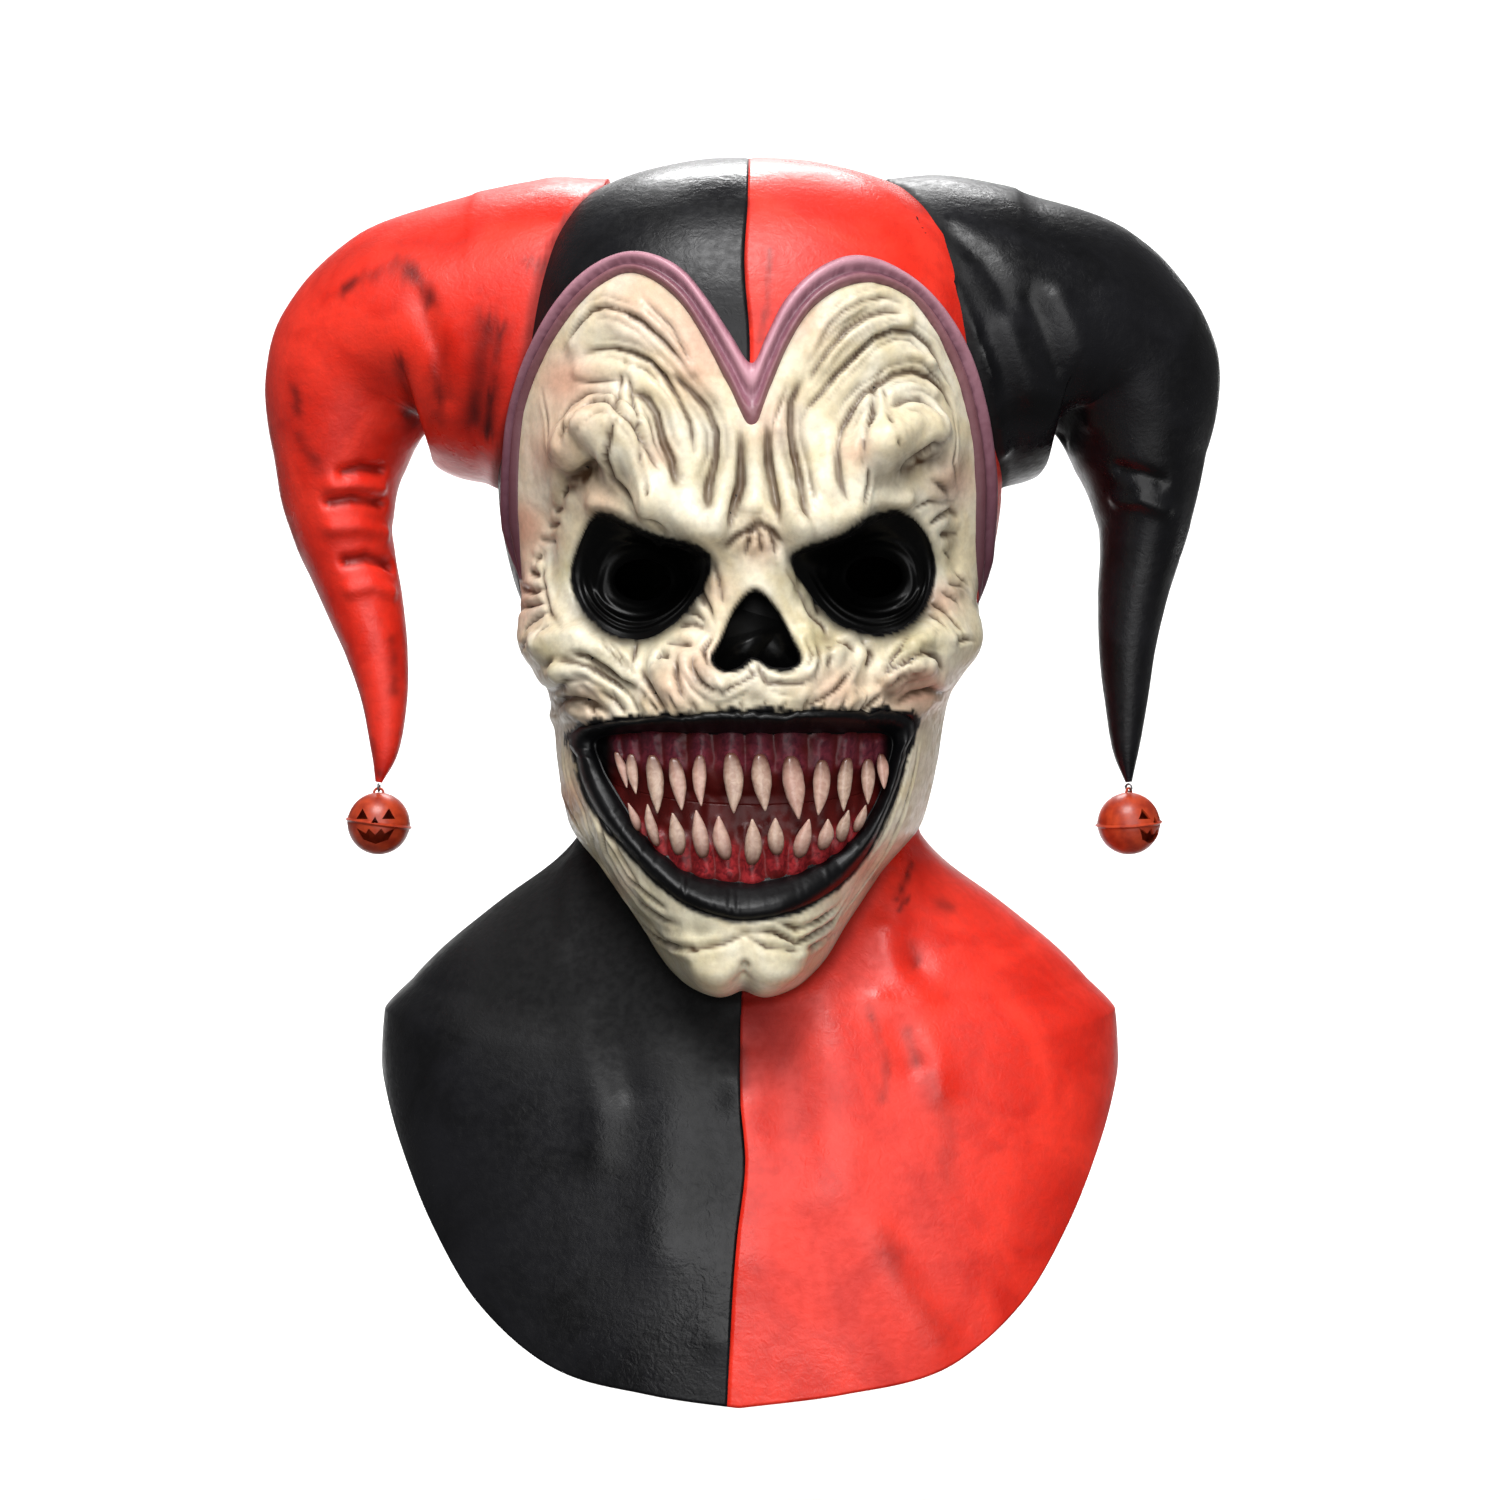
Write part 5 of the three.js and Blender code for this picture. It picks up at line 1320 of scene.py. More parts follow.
class MaskColours(bpy.types.PropertyGroup):
    """Paint and dye colours as sRGB hex."""
    bone_light: colour_property("Bone, light", "Lighter bone paint of the face", "#F0E8D2")
    bone_dark: colour_property("Bone, dark", "Darker bone paint of the face", "#E0D2B0")
    bone_pink: colour_property("Bone, pink", "Pink sprayed over the bone paint", "#DDB096")
    # Olive is partly painted shade where its tints lie in the hollows.
    bone_olive: colour_property("Bone, olive", "Olive sprayed round the cheekbones", "#A39A62")
    # Its brown is also the colour of the painted shade in the creases and hollows of the face.
    wash_and_shade: colour_property("Wash", "Brown wash in the wrinkles", "#4C3420")
    hollow: colour_property("Hollow", "Black sprayed into the sockets", "#070607")
    red_light: colour_property("Red, light", "Lighter dyed red", "#EE3422")
    red_dark: colour_property("Red, dark", "Darker dyed red", "#D0200F")
    # Also the colour of the painted shade in the folds, next to the face and under the chin.
    red_smudge_and_shade: colour_property("Red smudge", "Dark smudges on the red", "#4A0906")
    black_light: colour_property("Black, light", "Lighter dyed black", "#151518")
    black_dark: colour_property("Black, dark", "Darker dyed black", "#0A0A0C")
    # Also the colour of the painted shade in the folds, next to the face and under the chin and jaw.
    black_smudge_and_shade: colour_property("Black smudge", "Deepest black in folds", "#040405")
    # Its lilac is partly a painted highlight along the top of the outer roll.
    lilac: colour_property("Lilac", "Brushed outer roll of the trim", "#CA95A2")
    purple: colour_property("Purple", "Body of the trim", "#A87484")
    purple_dark: colour_property("Purple, dark", "Streaks of the trim", "#8E5868")
    # Its plum is partly painted shade in the groove, along the edges and at the ends of the trim.
    plum: colour_property("Plum", "Groove of the trim", "#45202C")
    purple_brown: colour_property("Brown purple", "Inner band of the trim near the face", "#7E5450")
    tooth: colour_property("Tooth", "Ivory of the teeth", "#C2A996")
    tooth_dark: colour_property("Tooth, dark", "Streaks of the teeth", "#A68878")
    # Also the colour of the painted shade down the sides of each tooth.
    tooth_root: colour_property("Tooth root", "Brown at the roots", "#5E3A2E")
    orange: colour_property("Orange", "Enamel of the bells", "#B8401E")
    orange_dark: colour_property("Orange, dark", "Deeper enamel of the bells", "#942A12")


def sizes():
    return bpy.context.scene.mask_sizes


def colours():
    return bpy.context.scene.mask_colours


MADE = {}


def material_of(key):
    """A material, made the first time that a piece asks for it."""
    paints = colours()
    makers = {
        "bone": lambda: bone_latex(paints),
        "red": lambda: dyed_latex("red_latex_dipped", paints.red_light, paints.red_dark, paints.red_smudge_and_shade,
                                  0.44, 0.52, 0.45),
        "black": lambda: dyed_latex("black_latex_dipped", paints.black_light, paints.black_dark,
                                    paints.black_smudge_and_shade, 0.36, 0.48, 0.28),
        "purple": lambda: purple_latex(paints),
        "socket": lambda: gloss_latex("black_gloss_varnish", "#010101", "#030303", 0.34, 6.0, 0.16),
        "lip": lambda: gloss_latex("black_lip_latex_varnished", "#040405", "#0A0A0C", 0.4, 12.0, 0.24),
        "dark_gum": lambda: gum_latex("dark_gum_latex_varnished", "#6E2A36", "#4A1A26"),
        "red_gum": lambda: gum_latex("red_gum_latex_varnished", "#A22C30", "#64161C"),
        "tooth": lambda: tooth_latex(paints),
        "bell": lambda: bell_enamel(paints),
        "wire": ring_wire,
        "paper": studio_paper,
    }
    if key not in MADE:
        MADE[key] = makers[key]()
    return MADE[key]


# Face


FACE_ROWS = 321
FACE_COLS = 301


def face_grid():
    """Base of the face: rows from hood to chin, columns from one side seam to the other."""
    fine_z = np.linspace(-36.0, -JAW["down"][-1] * CHIN_DROP, 900)
    front_angle = np.full(fine_z.shape, -math.pi / 2)
    profile = face_radius(front_angle, fine_z)
    levels = even_steps(fine_z, np.hypot(np.diff(fine_z), np.diff(profile)), FACE_ROWS)
    angles = np.linspace(-math.pi, 0, 1441)
    rows = []
    for z in levels:
        points = face_base(angles, np.full(angles.shape, z))
        depth = min(SIDE_SEAM - 4, 0.55 * -points[:, 1].min())
        ahead = np.nonzero(points[:, 1] < -depth)[0]
        part = angles[ahead[0]:ahead[-1] + 1]
        run = np.linalg.norm(np.diff(points[ahead[0]:ahead[-1] + 1], axis=0), axis=1)
        even = even_steps(part, run, FACE_COLS)
        rows.append(face_base(even, np.full(even.shape, z)))
    return np.array(rows)


def hole_sink(reach, roll, steep):
    """How far the skin sinks round a hole: a roll from its lip, then a steep wall."""
    s = np.maximum(reach + roll, 0)
    turn = roll + 0.6
    curve = 0.5 * steep * np.minimum(s, turn) ** 2 / turn
    return curve + steep * np.maximum(s - turn, 0) + 0.25 * np.maximum(s - turn, 0) ** 2


class MASK_OT_face(bpy.types.Operator):
    """Wrinkled bone-coloured face with its openings"""
    bl_idname = "mask.face"
    bl_label = "Face"

    def execute(self, context):
        grid = face_grid()
        grid = grid + grid_normals(grid) * relief(grid)[..., None]
        normals = grid_normals(grid)
        swelling = swell(grid, normals, SWELLINGS)
        grid = grid + normals * swelling[..., None]
        normals = grid_normals(grid)
        height, wash_and_shade = carve(grid, normals, list(WRINKLES) + echoes(WRINKLES, 10.0, 0.4))
        lumps = 0.22 * noise(grid, 7.0, 11) + 0.1 * noise(grid, 3.0, 12)
        x, z = grid[..., 0], grid[..., 2]
        eyes = [inside_reach(x, z, outline_of(rows, 8)) for rows in (LEFT_EYE, RIGHT_EYE)]
        eye = np.maximum(*eyes)
        nose = inside_reach(x, z, outline_of(NOSE, 8))
        mouth = inside_reach(x, z, outline_of(MOUTH, 6, "out_across", "out_down"))
        own = face_reach(grid)
        keep = (eye < 4.6) & (nose < 3.6) & (mouth < 3.0) & (own > -5)
        keep = keep[1::2, 1::2]
        sink = hole_sink(eye, 2.2, 1.5) + hole_sink(nose, 1.4, 2.2) + hole_sink(mouth, 1.2, 0.9)
        tuck = 1.3 * step(0.5, -2.5, own)
        outer = grid + normals * ((height * sizes().wrinkle + lumps) * step(0.0, 3.0, own) - tuck)[..., None]
        outer[..., 1] += np.minimum(sink, 16)
        inner = outer[::2, ::2] - grid_normals(outer)[::2, ::2] * sizes().wall
        obj, used = walled_skin("face_skin", outer, inner, keep)
        ragged = 0.5 * noise(grid, 1.6, 21)
        black = np.maximum(step(-0.5, 0.6, eye + 0.5 * ragged), step(-0.4, 0.5, nose + 0.3 * ragged))
        black = np.maximum(black, 0.85 * step(-6.5, 0.5, eye) ** 2 * step(-146.0, -164.0, z))
        black = np.maximum(black, 0.5 * step(-2.6, 0.5, eye))
        brushed = (1.5 * noise(grid, 3.2, 24) + 0.9 * noise(grid, 1.5, 25)) * (0.25 + 0.75 * step(-222.0, -212.0, z))
        black = np.maximum(black, step(-1.6, -0.2, mouth + brushed))
        form = height + lumps + swelling
        # Painted shade: hollows of the face, found against a blurred copy of its form, are darkened with the same
        # brown.
        cavity = step(0.1, 0.9, blurred(form, 3) - form) + 0.8 * step(0.2, 2.4, blurred(form, 9) - form)
        wash_and_shade = np.clip(wash_and_shade + 0.3 * cavity, 0, 1) * (0.88 + 0.12 * noise(grid, 4.0, 22))
        # Brown spots in the deepest hollows, partly painted shade under the brow pads.
        wash_and_shade = np.maximum(wash_and_shade, 1.6 * tint(grid, WASH_AND_SHADE_TINTS) * (0.75 + 0.4 * noise(grid, 2.4, 26)))
        # Painted shade along the outline of the face, where it meets the trim and the cowl.
        edge = 0.5 * step(3.0, 0.0, own)
        # Pink tints, and olive tints that are partly painted shade of the hollows.
        hue = 0.5 + 0.5 * tint(grid, PINK_TINTS) - 0.5 * tint(grid, OLIVE_TINTS)
        paint = np.stack([np.maximum(wash_and_shade, edge), black, hue, 0 * hue], axis=-1)
        paint_points(obj, np.concatenate([paint.reshape(-1, 4), inner_paint(paint)])[used])
        settle(obj, "bone", "face")
        return {"FINISHED"}


# Hood, neck and bib


COWL_ROWS = 301
BIB_ROWS = 110
COWL_COLS = 181


def cowl_grid(side):
    """Half of the cowl, from the front seam round one side to the back seam; side is -1 or 1."""
    top = CROWN_RISE - NECK["down"][0] * CHIN_DROP - 0.02
    fine_z = top - (top + NECK["down"][-1] * CHIN_DROP) * np.linspace(0, 1, 1200) ** 1.6
    profile = neck_radius(np.zeros(fine_z.shape), fine_z)
    levels = even_steps(fine_z, np.hypot(np.diff(fine_z), np.diff(profile)), COWL_ROWS - BIB_ROWS)
    share = np.linspace(0, 1, COWL_COLS)
    seam_x = HALF_HEAD * smooth(SEAM, "down", -levels / CHIN_DROP, "across")
    front = neck_radius(np.full(levels.shape, -math.pi / 2), levels)
    back = neck_radius(np.full(levels.shape, math.pi / 2), levels)
    turn_front = np.arcsin(np.clip(seam_x / np.maximum(front, 1), -0.5, 0.5))
    turn_back = np.arcsin(np.clip(seam_x / np.maximum(back, 1), -0.5, 0.5))
    start = -math.pi / 2 + turn_front
    end = math.pi / 2 - turn_back if side > 0 else -1.5 * math.pi - turn_back
    angles = start[:, None] + (end - start)[:, None] * share
    z = np.broadcast_to(levels[:, None], angles.shape)
    radius = neck_radius(angles, z)
    skin = np.stack([radius * np.cos(angles), radius * np.sin(angles), z], axis=-1)
    return skin, angles[-1]


def bib_grid(shoulder, angle):
    """The bib below the shoulder line, down to its shaped hem."""
    share = np.linspace(0, 1, BIB_ROWS + 1)[1:, None]
    depth = np.where(np.sin(angle) < 0, BIB_FRONT, BIB_BACK)
    half = BIB_WIDTH / 2
    hem = oval(angle, half, depth, SECTION_POWER)
    low = -BIB_DROP * smooth(HEM, "across", np.minimum(np.abs(hem * np.cos(angle)) / half, 1), "down")
    ease = 1 - (1 - share) ** 2
    x = shoulder[:, 0] + (hem * np.cos(angle) - shoulder[:, 0]) * ease
    y = shoulder[:, 1] + (hem * np.sin(angle) - shoulder[:, 1]) * ease
    z = shoulder[:, 2] + (low - shoulder[:, 2]) * share
    down = -z / CHIN_DROP
    pull = HALF_HEAD * (smooth(SEAM, "down", down, "across") - smooth(SEAM, "down", NECK["down"][-1], "across"))
    x = x + pull * np.abs(np.sin(angle)) ** 12
    return np.stack([x, y, z], axis=-1)


# Dark brush marks on hood and bib: half width in mm, strength, route by pixel
COWL_SMUDGES = (
    (1.3, 0.7, ((912, 864), (905, 882), (898, 899))),
    (1.0, 0.6, ((909, 896), (901, 911))),
    (3.0, 0.5, ((940, 902), (950, 908))),
    (2.2, 0.55, ((912, 948), (916, 966))),
    (3.0, 0.5, ((908, 1030), (914, 1062))),
    (4.0, 0.3, ((930, 1080), (946, 1130), (950, 1180))),
    (5.0, 0.3, ((884, 1240), (910, 1290), (944, 1340))),
    (2.0, 0.4, ((868, 1010), (888, 1060), (884, 1100))),
    (2.6, 0.5, ((612, 1048), (622, 1085))),
    (3.0, 0.5, ((560, 850), (556, 930))),
    (1.6, 0.5, ((770, 250), (766, 300), (758, 340))),
    (1.4, 0.5, ((742, 200), (744, 260), (742, 330))),
)


def eased_join(grid, row, reach):
    """The grid with its rows near a join averaged, most at the join itself."""
    eased = grid.copy()
    for i in range(row - reach, row + reach + 1):
        half = reach - abs(i - row)
        eased[i] = grid[i - half:i + half + 1].mean(axis=0)
    return eased


def make_cowl(name, side, material, node):
    skin, angle = cowl_grid(side)
    outward = 1 if side < 0 else -1
    normals = grid_normals(skin) * -outward
    skin = skin + normals * relief(skin)[..., None]
    grid = np.concatenate([skin, bib_grid(skin[-1], angle)])
    grid = eased_join(grid, len(skin) - 1, 26)
    normals = grid_normals(grid) * -outward
    folds = swell(grid, normals, COWL_FOLDS)
    soft = 0.7 * noise(grid, 45.0, 31) + 0.3 * noise(grid, 16.0, 32)
    own = face_reach(grid)
    tuck = 1.5 * step(-1.0, 2.0, own)
    seam = np.minimum(np.arange(COWL_COLS), np.arange(COWL_COLS)[::-1])[None, :] * 2.0
    calm = step(0.0, 8.0, seam) * step(-60.0, -6.0, grid[..., 2])
    outer = grid + normals * (folds + soft * calm - tuck)[..., None]
    inner = outer[::2, ::2] - (grid_normals(outer) * -outward)[::2, ::2] * sizes().wall
    keep = (own < 6)[1::2, 1::2]
    if side > 0:
        outer, inner, keep = outer[:, ::-1], inner[:, ::-1], keep[:, ::-1]
        folds, own, soft = folds[:, ::-1], own[:, ::-1], soft[:, ::-1]
    obj, used = walled_skin(name, outer, inner, keep)
    # Painted shade in the dents of the folds and of the soft lumps, with the dark brush marks over it.
    dark = 0.35 * step(1.0, 3.4, -folds) + 0.2 * step(0.2, 1.0, -soft)
    dark = np.maximum(dark, brush_marks(outer, grid_normals(outer) * -1, COWL_SMUDGES))
    # Painted shade beside the face's outline, where the cowl runs under it, and painted shadow of the chin and jaw on
    # the neck, darker and wider on the black side. The chin's painted shadow lies all round the neck, at the back
    # too.
    shade = 0.5 * step(-5.0, 0.0, own)
    low = outer[..., 2]
    across = np.abs(outer[..., 0])
    chin = step(-336.0, -300.0, low) * step(-236.0, -262.0, low)
    if side < 0:
        neck = step(-330.0, -292.0, low) * step(-215.0, -238.0, low) * step(118.0, 84.0, across)
        shade = np.maximum(shade, 0.95 * np.maximum(neck, chin * step(82.0, 50.0, across)))
    else:
        shade = np.maximum(shade, 0.55 * chin * step(30.0, 4.0, across))
    gloss = 0.7 * step(-0.1, 0.8, noise(outer, 34.0, 36)) + 0.5 * step(0.3, 2.0, folds)
    paint = np.stack([dark, shade, gloss, 0 * dark], axis=-1)
    paint_points(obj, np.concatenate([paint.reshape(-1, 4), inner_paint(paint)])[used])
    settle(obj, material, node)


class MASK_OT_cowl(bpy.types.Operator):
    """Black and red halves of hood, neck and bib"""
    bl_idname = "mask.cowl"
    bl_label = "Hood, neck and bib"

    def execute(self, context):
        make_cowl("cowl_black_skin", -1, "black", "cowl_black")
        make_cowl("cowl_red_skin", 1, "red", "cowl_red")
        return {"FINISHED"}


# Trim


# Height of the trim across its width, from the hood to the face
TRIM_PROFILE = table(
    "share rise",
    (0.0, 0.1),
    (0.08, 0.72),
    (0.22, 1.0),
    (0.36, 0.8),
    (0.48, 0.3),
    (0.58, 0.25),
    (0.72, 0.68),
    (0.86, 0.6),
    (1.0, 0.05),
)


def trim_row(level, column):
    rows = dict(TRIM)
    rows["row"] = np.arange(len(TRIM["in_across"]), dtype=float)
    return smooth(rows, "row", level, column)


class MASK_OT_trim(bpy.types.Operator):
    """Purple double ridge round the forehead"""
    bl_idname = "mask.trim"
    bl_label = "Trim"

    def execute(self, context):
        levels = np.linspace(0, len(TRIM["in_across"]) - 1, 340)
        share = np.linspace(0, 1, 25)
        narrow = 0.14 + 0.86 * share
        columns = {name: trim_row(levels, name)[:, None] for name in TRIM}
        across = columns["out_across"] + (columns["in_across"] - columns["out_across"]) * narrow
        down = columns["out_down"] + (columns["in_down"] - columns["out_down"]) * narrow
        base = front_point(across, down)
        rises = smooth(TRIM_PROFILE, "share", share, "rise")
        ends = np.clip(np.minimum(levels, levels[-1] - levels) / 1.6, 0.1, 1)[:, None]
        seat = relief(base)
        normals = grid_normals(base)
        normals = np.where(normals[..., 1:2] > 0, -normals, normals)
        wave = 1 + 0.08 * noise(base, 14.0, 41)
        top = base + normals * (seat + sizes().trim_rise * rises * ends * wave)[..., None]
        foot = base + normals * (seat - 1.2)[..., None]
        ring = np.concatenate([top, foot[:, ::-1]], axis=1)
        obj = wrapped_grid("face_trim_ridge", ring)
        low = step(8.0, 1.0, levels)[:, None] + step(levels[-1] - 7.0, levels[-1] - 1.0, levels)[:, None]
        middle = np.exp(-((levels - levels[-1] / 2 + 0.5) / 2.6) ** 2)[:, None]
        # Partly painted shade: plum in the groove and along both edges, less at the middle of the V, and over both
        # ends of the trim.
        groove = np.exp(-((share - 0.55) / 0.13) ** 2) + 0.8 * step(0.9, 1.0, share) + 0.6 * step(0.08, 0.0, share)
        groove = np.maximum(groove * (0.8 - 0.45 * middle), 0.85 * low)
        brown = 0.6 * step(0.6, 0.75, share) + 0 * low
        # Lilac along the top of the outer roll is partly a painted highlight; more of it at the middle of the V, none
        # at the ends.
        light = np.exp(-((share - 0.26) / 0.24) ** 2) * (0.8 + 0.3 * middle) * (1 - low)
        light = light * (0.8 + 0.25 * noise(base, 9.0, 42))
        strengths = np.stack([groove, brown, light, 0 * light], axis=-1)
        paint_wrapped(obj, np.concatenate([strengths, strengths[:, ::-1]], axis=1))
        settle(obj, "purple", "face_trim")
        return {"FINISHED"}


def paint_wrapped(obj, values):
    """Paint strengths on a wrapped grid, whose points keep their order, less the merged join."""
    count = len(obj.data.vertices)
    rows, cols = values.shape[:2]
    if count != rows * cols:
        raise ValueError(f"{obj.name} has {count} points, not {rows * cols}")
    paint_points(obj, values.reshape(-1, 4))


# Sockets and nose


def ring_stack(outline, shares, depths, rim):
    """Rings that shrink and grow rounder towards the middle of an outline, behind its rim."""
    centre = outline.mean(axis=0)
    off = outline - centre
    turn = np.arctan2(off[:, 1], off[:, 0])
    size = np.linalg.norm(off, axis=1).mean()
    rounded = size * np.stack([1.15 * np.cos(turn), 0.85 * np.sin(turn)], axis=-1)
    rings = []
    for share, depth in zip(shares, depths):
        roundness = step(0.95, 0.4, share)
        flat = centre + (off + (rounded - off) * roundness) * share
        level = rim + (rim.mean() - rim) * roundness
        rings.append(np.stack([flat[:, 0], level + depth, flat[:, 1]], axis=-1))
    return np.array(rings)


def surface_depth(points):
    """Y of the face surface behind points of the front view."""
    base = front_point(points[:, 0] / HALF_HEAD, -points[:, 1] / CHIN_DROP)
    base = base + np.array([0, -1, 0]) * relief(base)[:, None] * 0.9
    return base[:, 1]


def make_socket(name, rows, node):
    outline = outline_of(rows, 8)
    rim = surface_depth(outline) + RIM_CLEAR
    depth = sizes().socket_depth
    wall = np.linspace(0, 1, 40)[:, None]
    shares = np.concatenate([0.97 - 0.6 * wall[:, 0], np.linspace(0.37, 0.97, 8)])
    low = step(0.2, -0.6, (outline[:, 1] - outline[:, 1].mean()) / (np.ptp(outline[:, 1]) / 2))
    inner = depth * (0.15 + 0.3 * np.sin(wall * math.pi / 2) + 0.55 * wall ** 1.6) * (1 + 0 * low)
    lids = (1.8 * np.exp(-((wall - 0.42) / 0.07) ** 2) + 1.2 * np.exp(-((wall - 0.24) / 0.05) ** 2)) * low
    wavy = 0.5 * np.sin(9 * math.pi * wall + 5 * low) * np.exp(-((wall - 0.6) / 0.2) ** 2)
    back = np.linspace(0, 1, 8)[:, None] * (inner[:1] - inner[-1:]) + inner[-1:] + 1.8
    rings = ring_stack(outline, shares, np.concatenate([inner - lids + 0.4 * wavy, back]), rim)
    obj = wrapped_grid(name, rings, closes_on_itself=True)
    settle(obj, "socket", node)


class MASK_OT_sockets(bpy.types.Operator):
    """Glossy black eye sockets with lid ridges and open middles, and the nose cavity"""
    bl_idname = "mask.sockets"
    bl_label = "Sockets and nose"

    def execute(self, context):
        make_socket("socket_left_bowl", LEFT_EYE, "eye_socket_left")
        make_socket("socket_right_bowl", RIGHT_EYE, "eye_socket_right")
        outline = outline_of(NOSE, 8)
        rim = surface_depth(outline) + RIM_CLEAR
        t = np.linspace(0, 1, 24)[:, None]
        middle = outline[:, 0].mean()
        septum = 3.0 * np.exp(-((outline[:, 0] - middle) / 2.0) ** 2) * step(0.1, 0.5, t)
        rings = ring_stack(outline, 0.97 - 0.9 * t[:, 0], 2.0 + 10.5 * np.sin(t * math.pi / 2) - septum, rim)
        obj = wrapped_grid("nose_cavity_bowl", rings)
        settle(obj, "socket", "nose_cavity")
        return {"FINISHED"}


# Mouth


# Depth of the lip roll across its width, from the skin to the gum
LIP_PROFILE = table(
    "share sink",
    (0.0, 0.3),
    (0.12, -0.35),
    (0.3, -0.55),
    (0.5, -0.1),
    (0.7, 0.7),
    (0.88, 1.6),
    (1.0, 2.6),
)


class MASK_OT_lips(bpy.types.Operator):
    """Black rolled lips round the mouth"""
    bl_idname = "mask.lips"
    bl_label = "Lips"

    def execute(self, context):
        steps = 34
        corners = np.stack([MOUTH[name] for name in ("out_across", "out_down", "in_across", "in_down")], axis=-1)
        line = closed_curve(corners, steps)
        share = np.linspace(-0.06, 1.06, 26)
        rough = np.stack([line[:, 0] * HALF_HEAD, 0 * line[:, 0], -line[:, 1] * CHIN_DROP], axis=-1)
        ragged = (0.12 * noise(rough, 4.0, 54) + 0.08 * noise(rough, 1.8, 55)) * step(0.74, 0.7, line[:, 1])
        rough = ragged[:, None] * (1 - np.clip(share, 0, 1))
        across = line[:, 0:1] + (line[:, 2:3] - line[:, 0:1]) * (share + rough)
        down = line[:, 1:2] + (line[:, 3:4] - line[:, 1:2]) * (share + rough)
        flat = np.stack([across.ravel() * HALF_HEAD, -down.ravel() * CHIN_DROP], axis=-1)
        skin = surface_depth(flat).reshape(across.shape)
        sink = smooth(LIP_PROFILE, "share", np.clip(share, 0, 1), "sink") * sizes().lip_roll
        top = np.stack([across * HALF_HEAD, skin + sink, -down * CHIN_DROP], axis=-1)
        along = np.cumsum(np.linalg.norm(np.diff(line[:, :2], axis=0, append=line[:1, :2]), axis=1))[:, None]
        pleats = noise(np.stack([along * 120, 0 * along, 0 * along], axis=-1), 1.9, 53)
        top[..., 1] += 0.25 * noise(top, 5.0, 51) + 0.28 * pleats * step(0.05, 0.3, share) * step(1.0, 0.7, share)
        back = top[:, ::-1].copy()
        back[..., 1] += LIP_THICKNESS
        ring = np.concatenate([top, back], axis=1)
        obj = wrapped_grid("lips_roll", ring, closes_on_itself=True)
        settle(obj, "lip", "lips")
        return {"FINISHED"}


def tooth_places(rows):
    """Root, tip, turn and half width of each tooth, set on the gums."""
    places = []
    for root_x, root_y, tip_x, tip_y, wide in zip(*(rows[k] for k in ("root_x", "root_y", "tip_x", "tip_y", "wide"))):
        depth = -FACE_DEPTH
        for _ in range(4):
            middle = from_photo(np.array([(root_x + tip_x) / 2]), np.array([(root_y + tip_y) / 2]), depth)[0]
            depth = float(surface_depth(np.array([[middle[0], middle[2]]]))[0]) + TOOTH_SINK
        root = from_photo(np.array([root_x]), np.array([root_y]), depth)[0]
        tip = from_photo(np.array([tip_x]), np.array([tip_y]), depth)[0]
        places.append((root, tip, wide * PIXEL_SLOPE * (CAMERA_AWAY + depth) / 2))
    return places


GUM_COLS = 220
GUM_ROWS = 44


def make_gum(name, edge, teeth, material, node):
    """A gum: swollen round each root, grooved between the teeth."""
    across = np.linspace(GUM["across"][0], GUM["across"][-1], GUM_COLS)
    share = np.linspace(0, 1, GUM_ROWS)[:, None]
    far = smooth(GUM, "across", across, edge)
    near = smooth(GUM, "across", across, "bite")
    down = far + (near - far) * share
    x, z = across * HALF_HEAD + 0 * share, -down * CHIN_DROP
    flat = np.stack([x.ravel(), z.ravel()], axis=-1)
    skin = surface_depth(flat).reshape(x.shape)
    swelling = np.zeros(x.shape)
    for root, tip, half in tooth_places(teeth):
        run = tip - root
        start = np.array([root[0] - 0.2 * run[0], root[2] - 0.3 * run[2]])
        end = np.array([root[0] + 0.1 * run[0], root[2] + 0.14 * run[2]])
        reach, _ = segment_reach(flat, start, end)
        swelling = np.maximum(swelling, np.exp(-(reach.reshape(x.shape) / (1.1 * half + 0.8)) ** 2))
    lumps = noise(np.stack([x, skin, z], axis=-1), 3.0, 61)
    y = skin + GUM_SINK - GUM_SWELL * swelling + 0.5 * lumps
    y = y + 2.6 * step(0.5, 1.0, share) + 0.8 * step(0.12, 0.0, share)
    front = np.stack([x, y, z], axis=-1)
    back = front.copy()
    back[..., 1] = skin + GUM_BACK
    ring = np.concatenate([front, back[::-1]], axis=0).transpose(1, 0, 2)
    obj = wrapped_grid(name, ring)
    # Darker between the root swellings and towards the bite: gum paint that is partly painted shade of the mouth's
    # depth.
    deep = np.clip(1.0 - 1.3 * swelling - 0.3 * lumps, 0, 1) + 0.6 * step(0.5, 0.9, share)
    strength = np.concatenate([deep, deep[::-1] * 0 + 1.0], axis=0).transpose(1, 0)
    # Painted shadow: under the lip along the outer edge of each gum, and at both ends of each gum in the corners of
    # the mouth.
    above = 0.55 * step(0.36, 0.0, share) if edge == "top" else 0.3 * step(0.12, 0.0, share)
    shadow = np.maximum(step(0.46, 0.53, np.abs(across + 0.01)), above)
    shadow = np.concatenate([shadow, shadow[::-1]], axis=0).transpose(1, 0)
    paint_wrapped(obj, np.stack([strength, shadow, 0 * strength, 0 * strength], axis=-1))
    settle(obj, material, node)


class MASK_OT_gums(bpy.types.Operator):
    """Upper and lower gum"""
    bl_idname = "mask.gums"
    bl_label = "Gums"

    def execute(self, context):
        make_gum("gum_upper_flesh", "top", UPPER_TEETH, "dark_gum", "gum_upper")
        make_gum("gum_lower_flesh", "foot", LOWER_TEETH, "red_gum", "gum_lower")
        return {"FINISHED"}


TOOTH_SHAPE = table(
    "share wide",
    (0.0, 0.3),
    (0.06, 0.62),
    (0.2, 0.88),
    (0.38, 1.0),
    (0.55, 0.93),
    (0.72, 0.7),
    (0.88, 0.38),
    (1.0, 0.08),
)


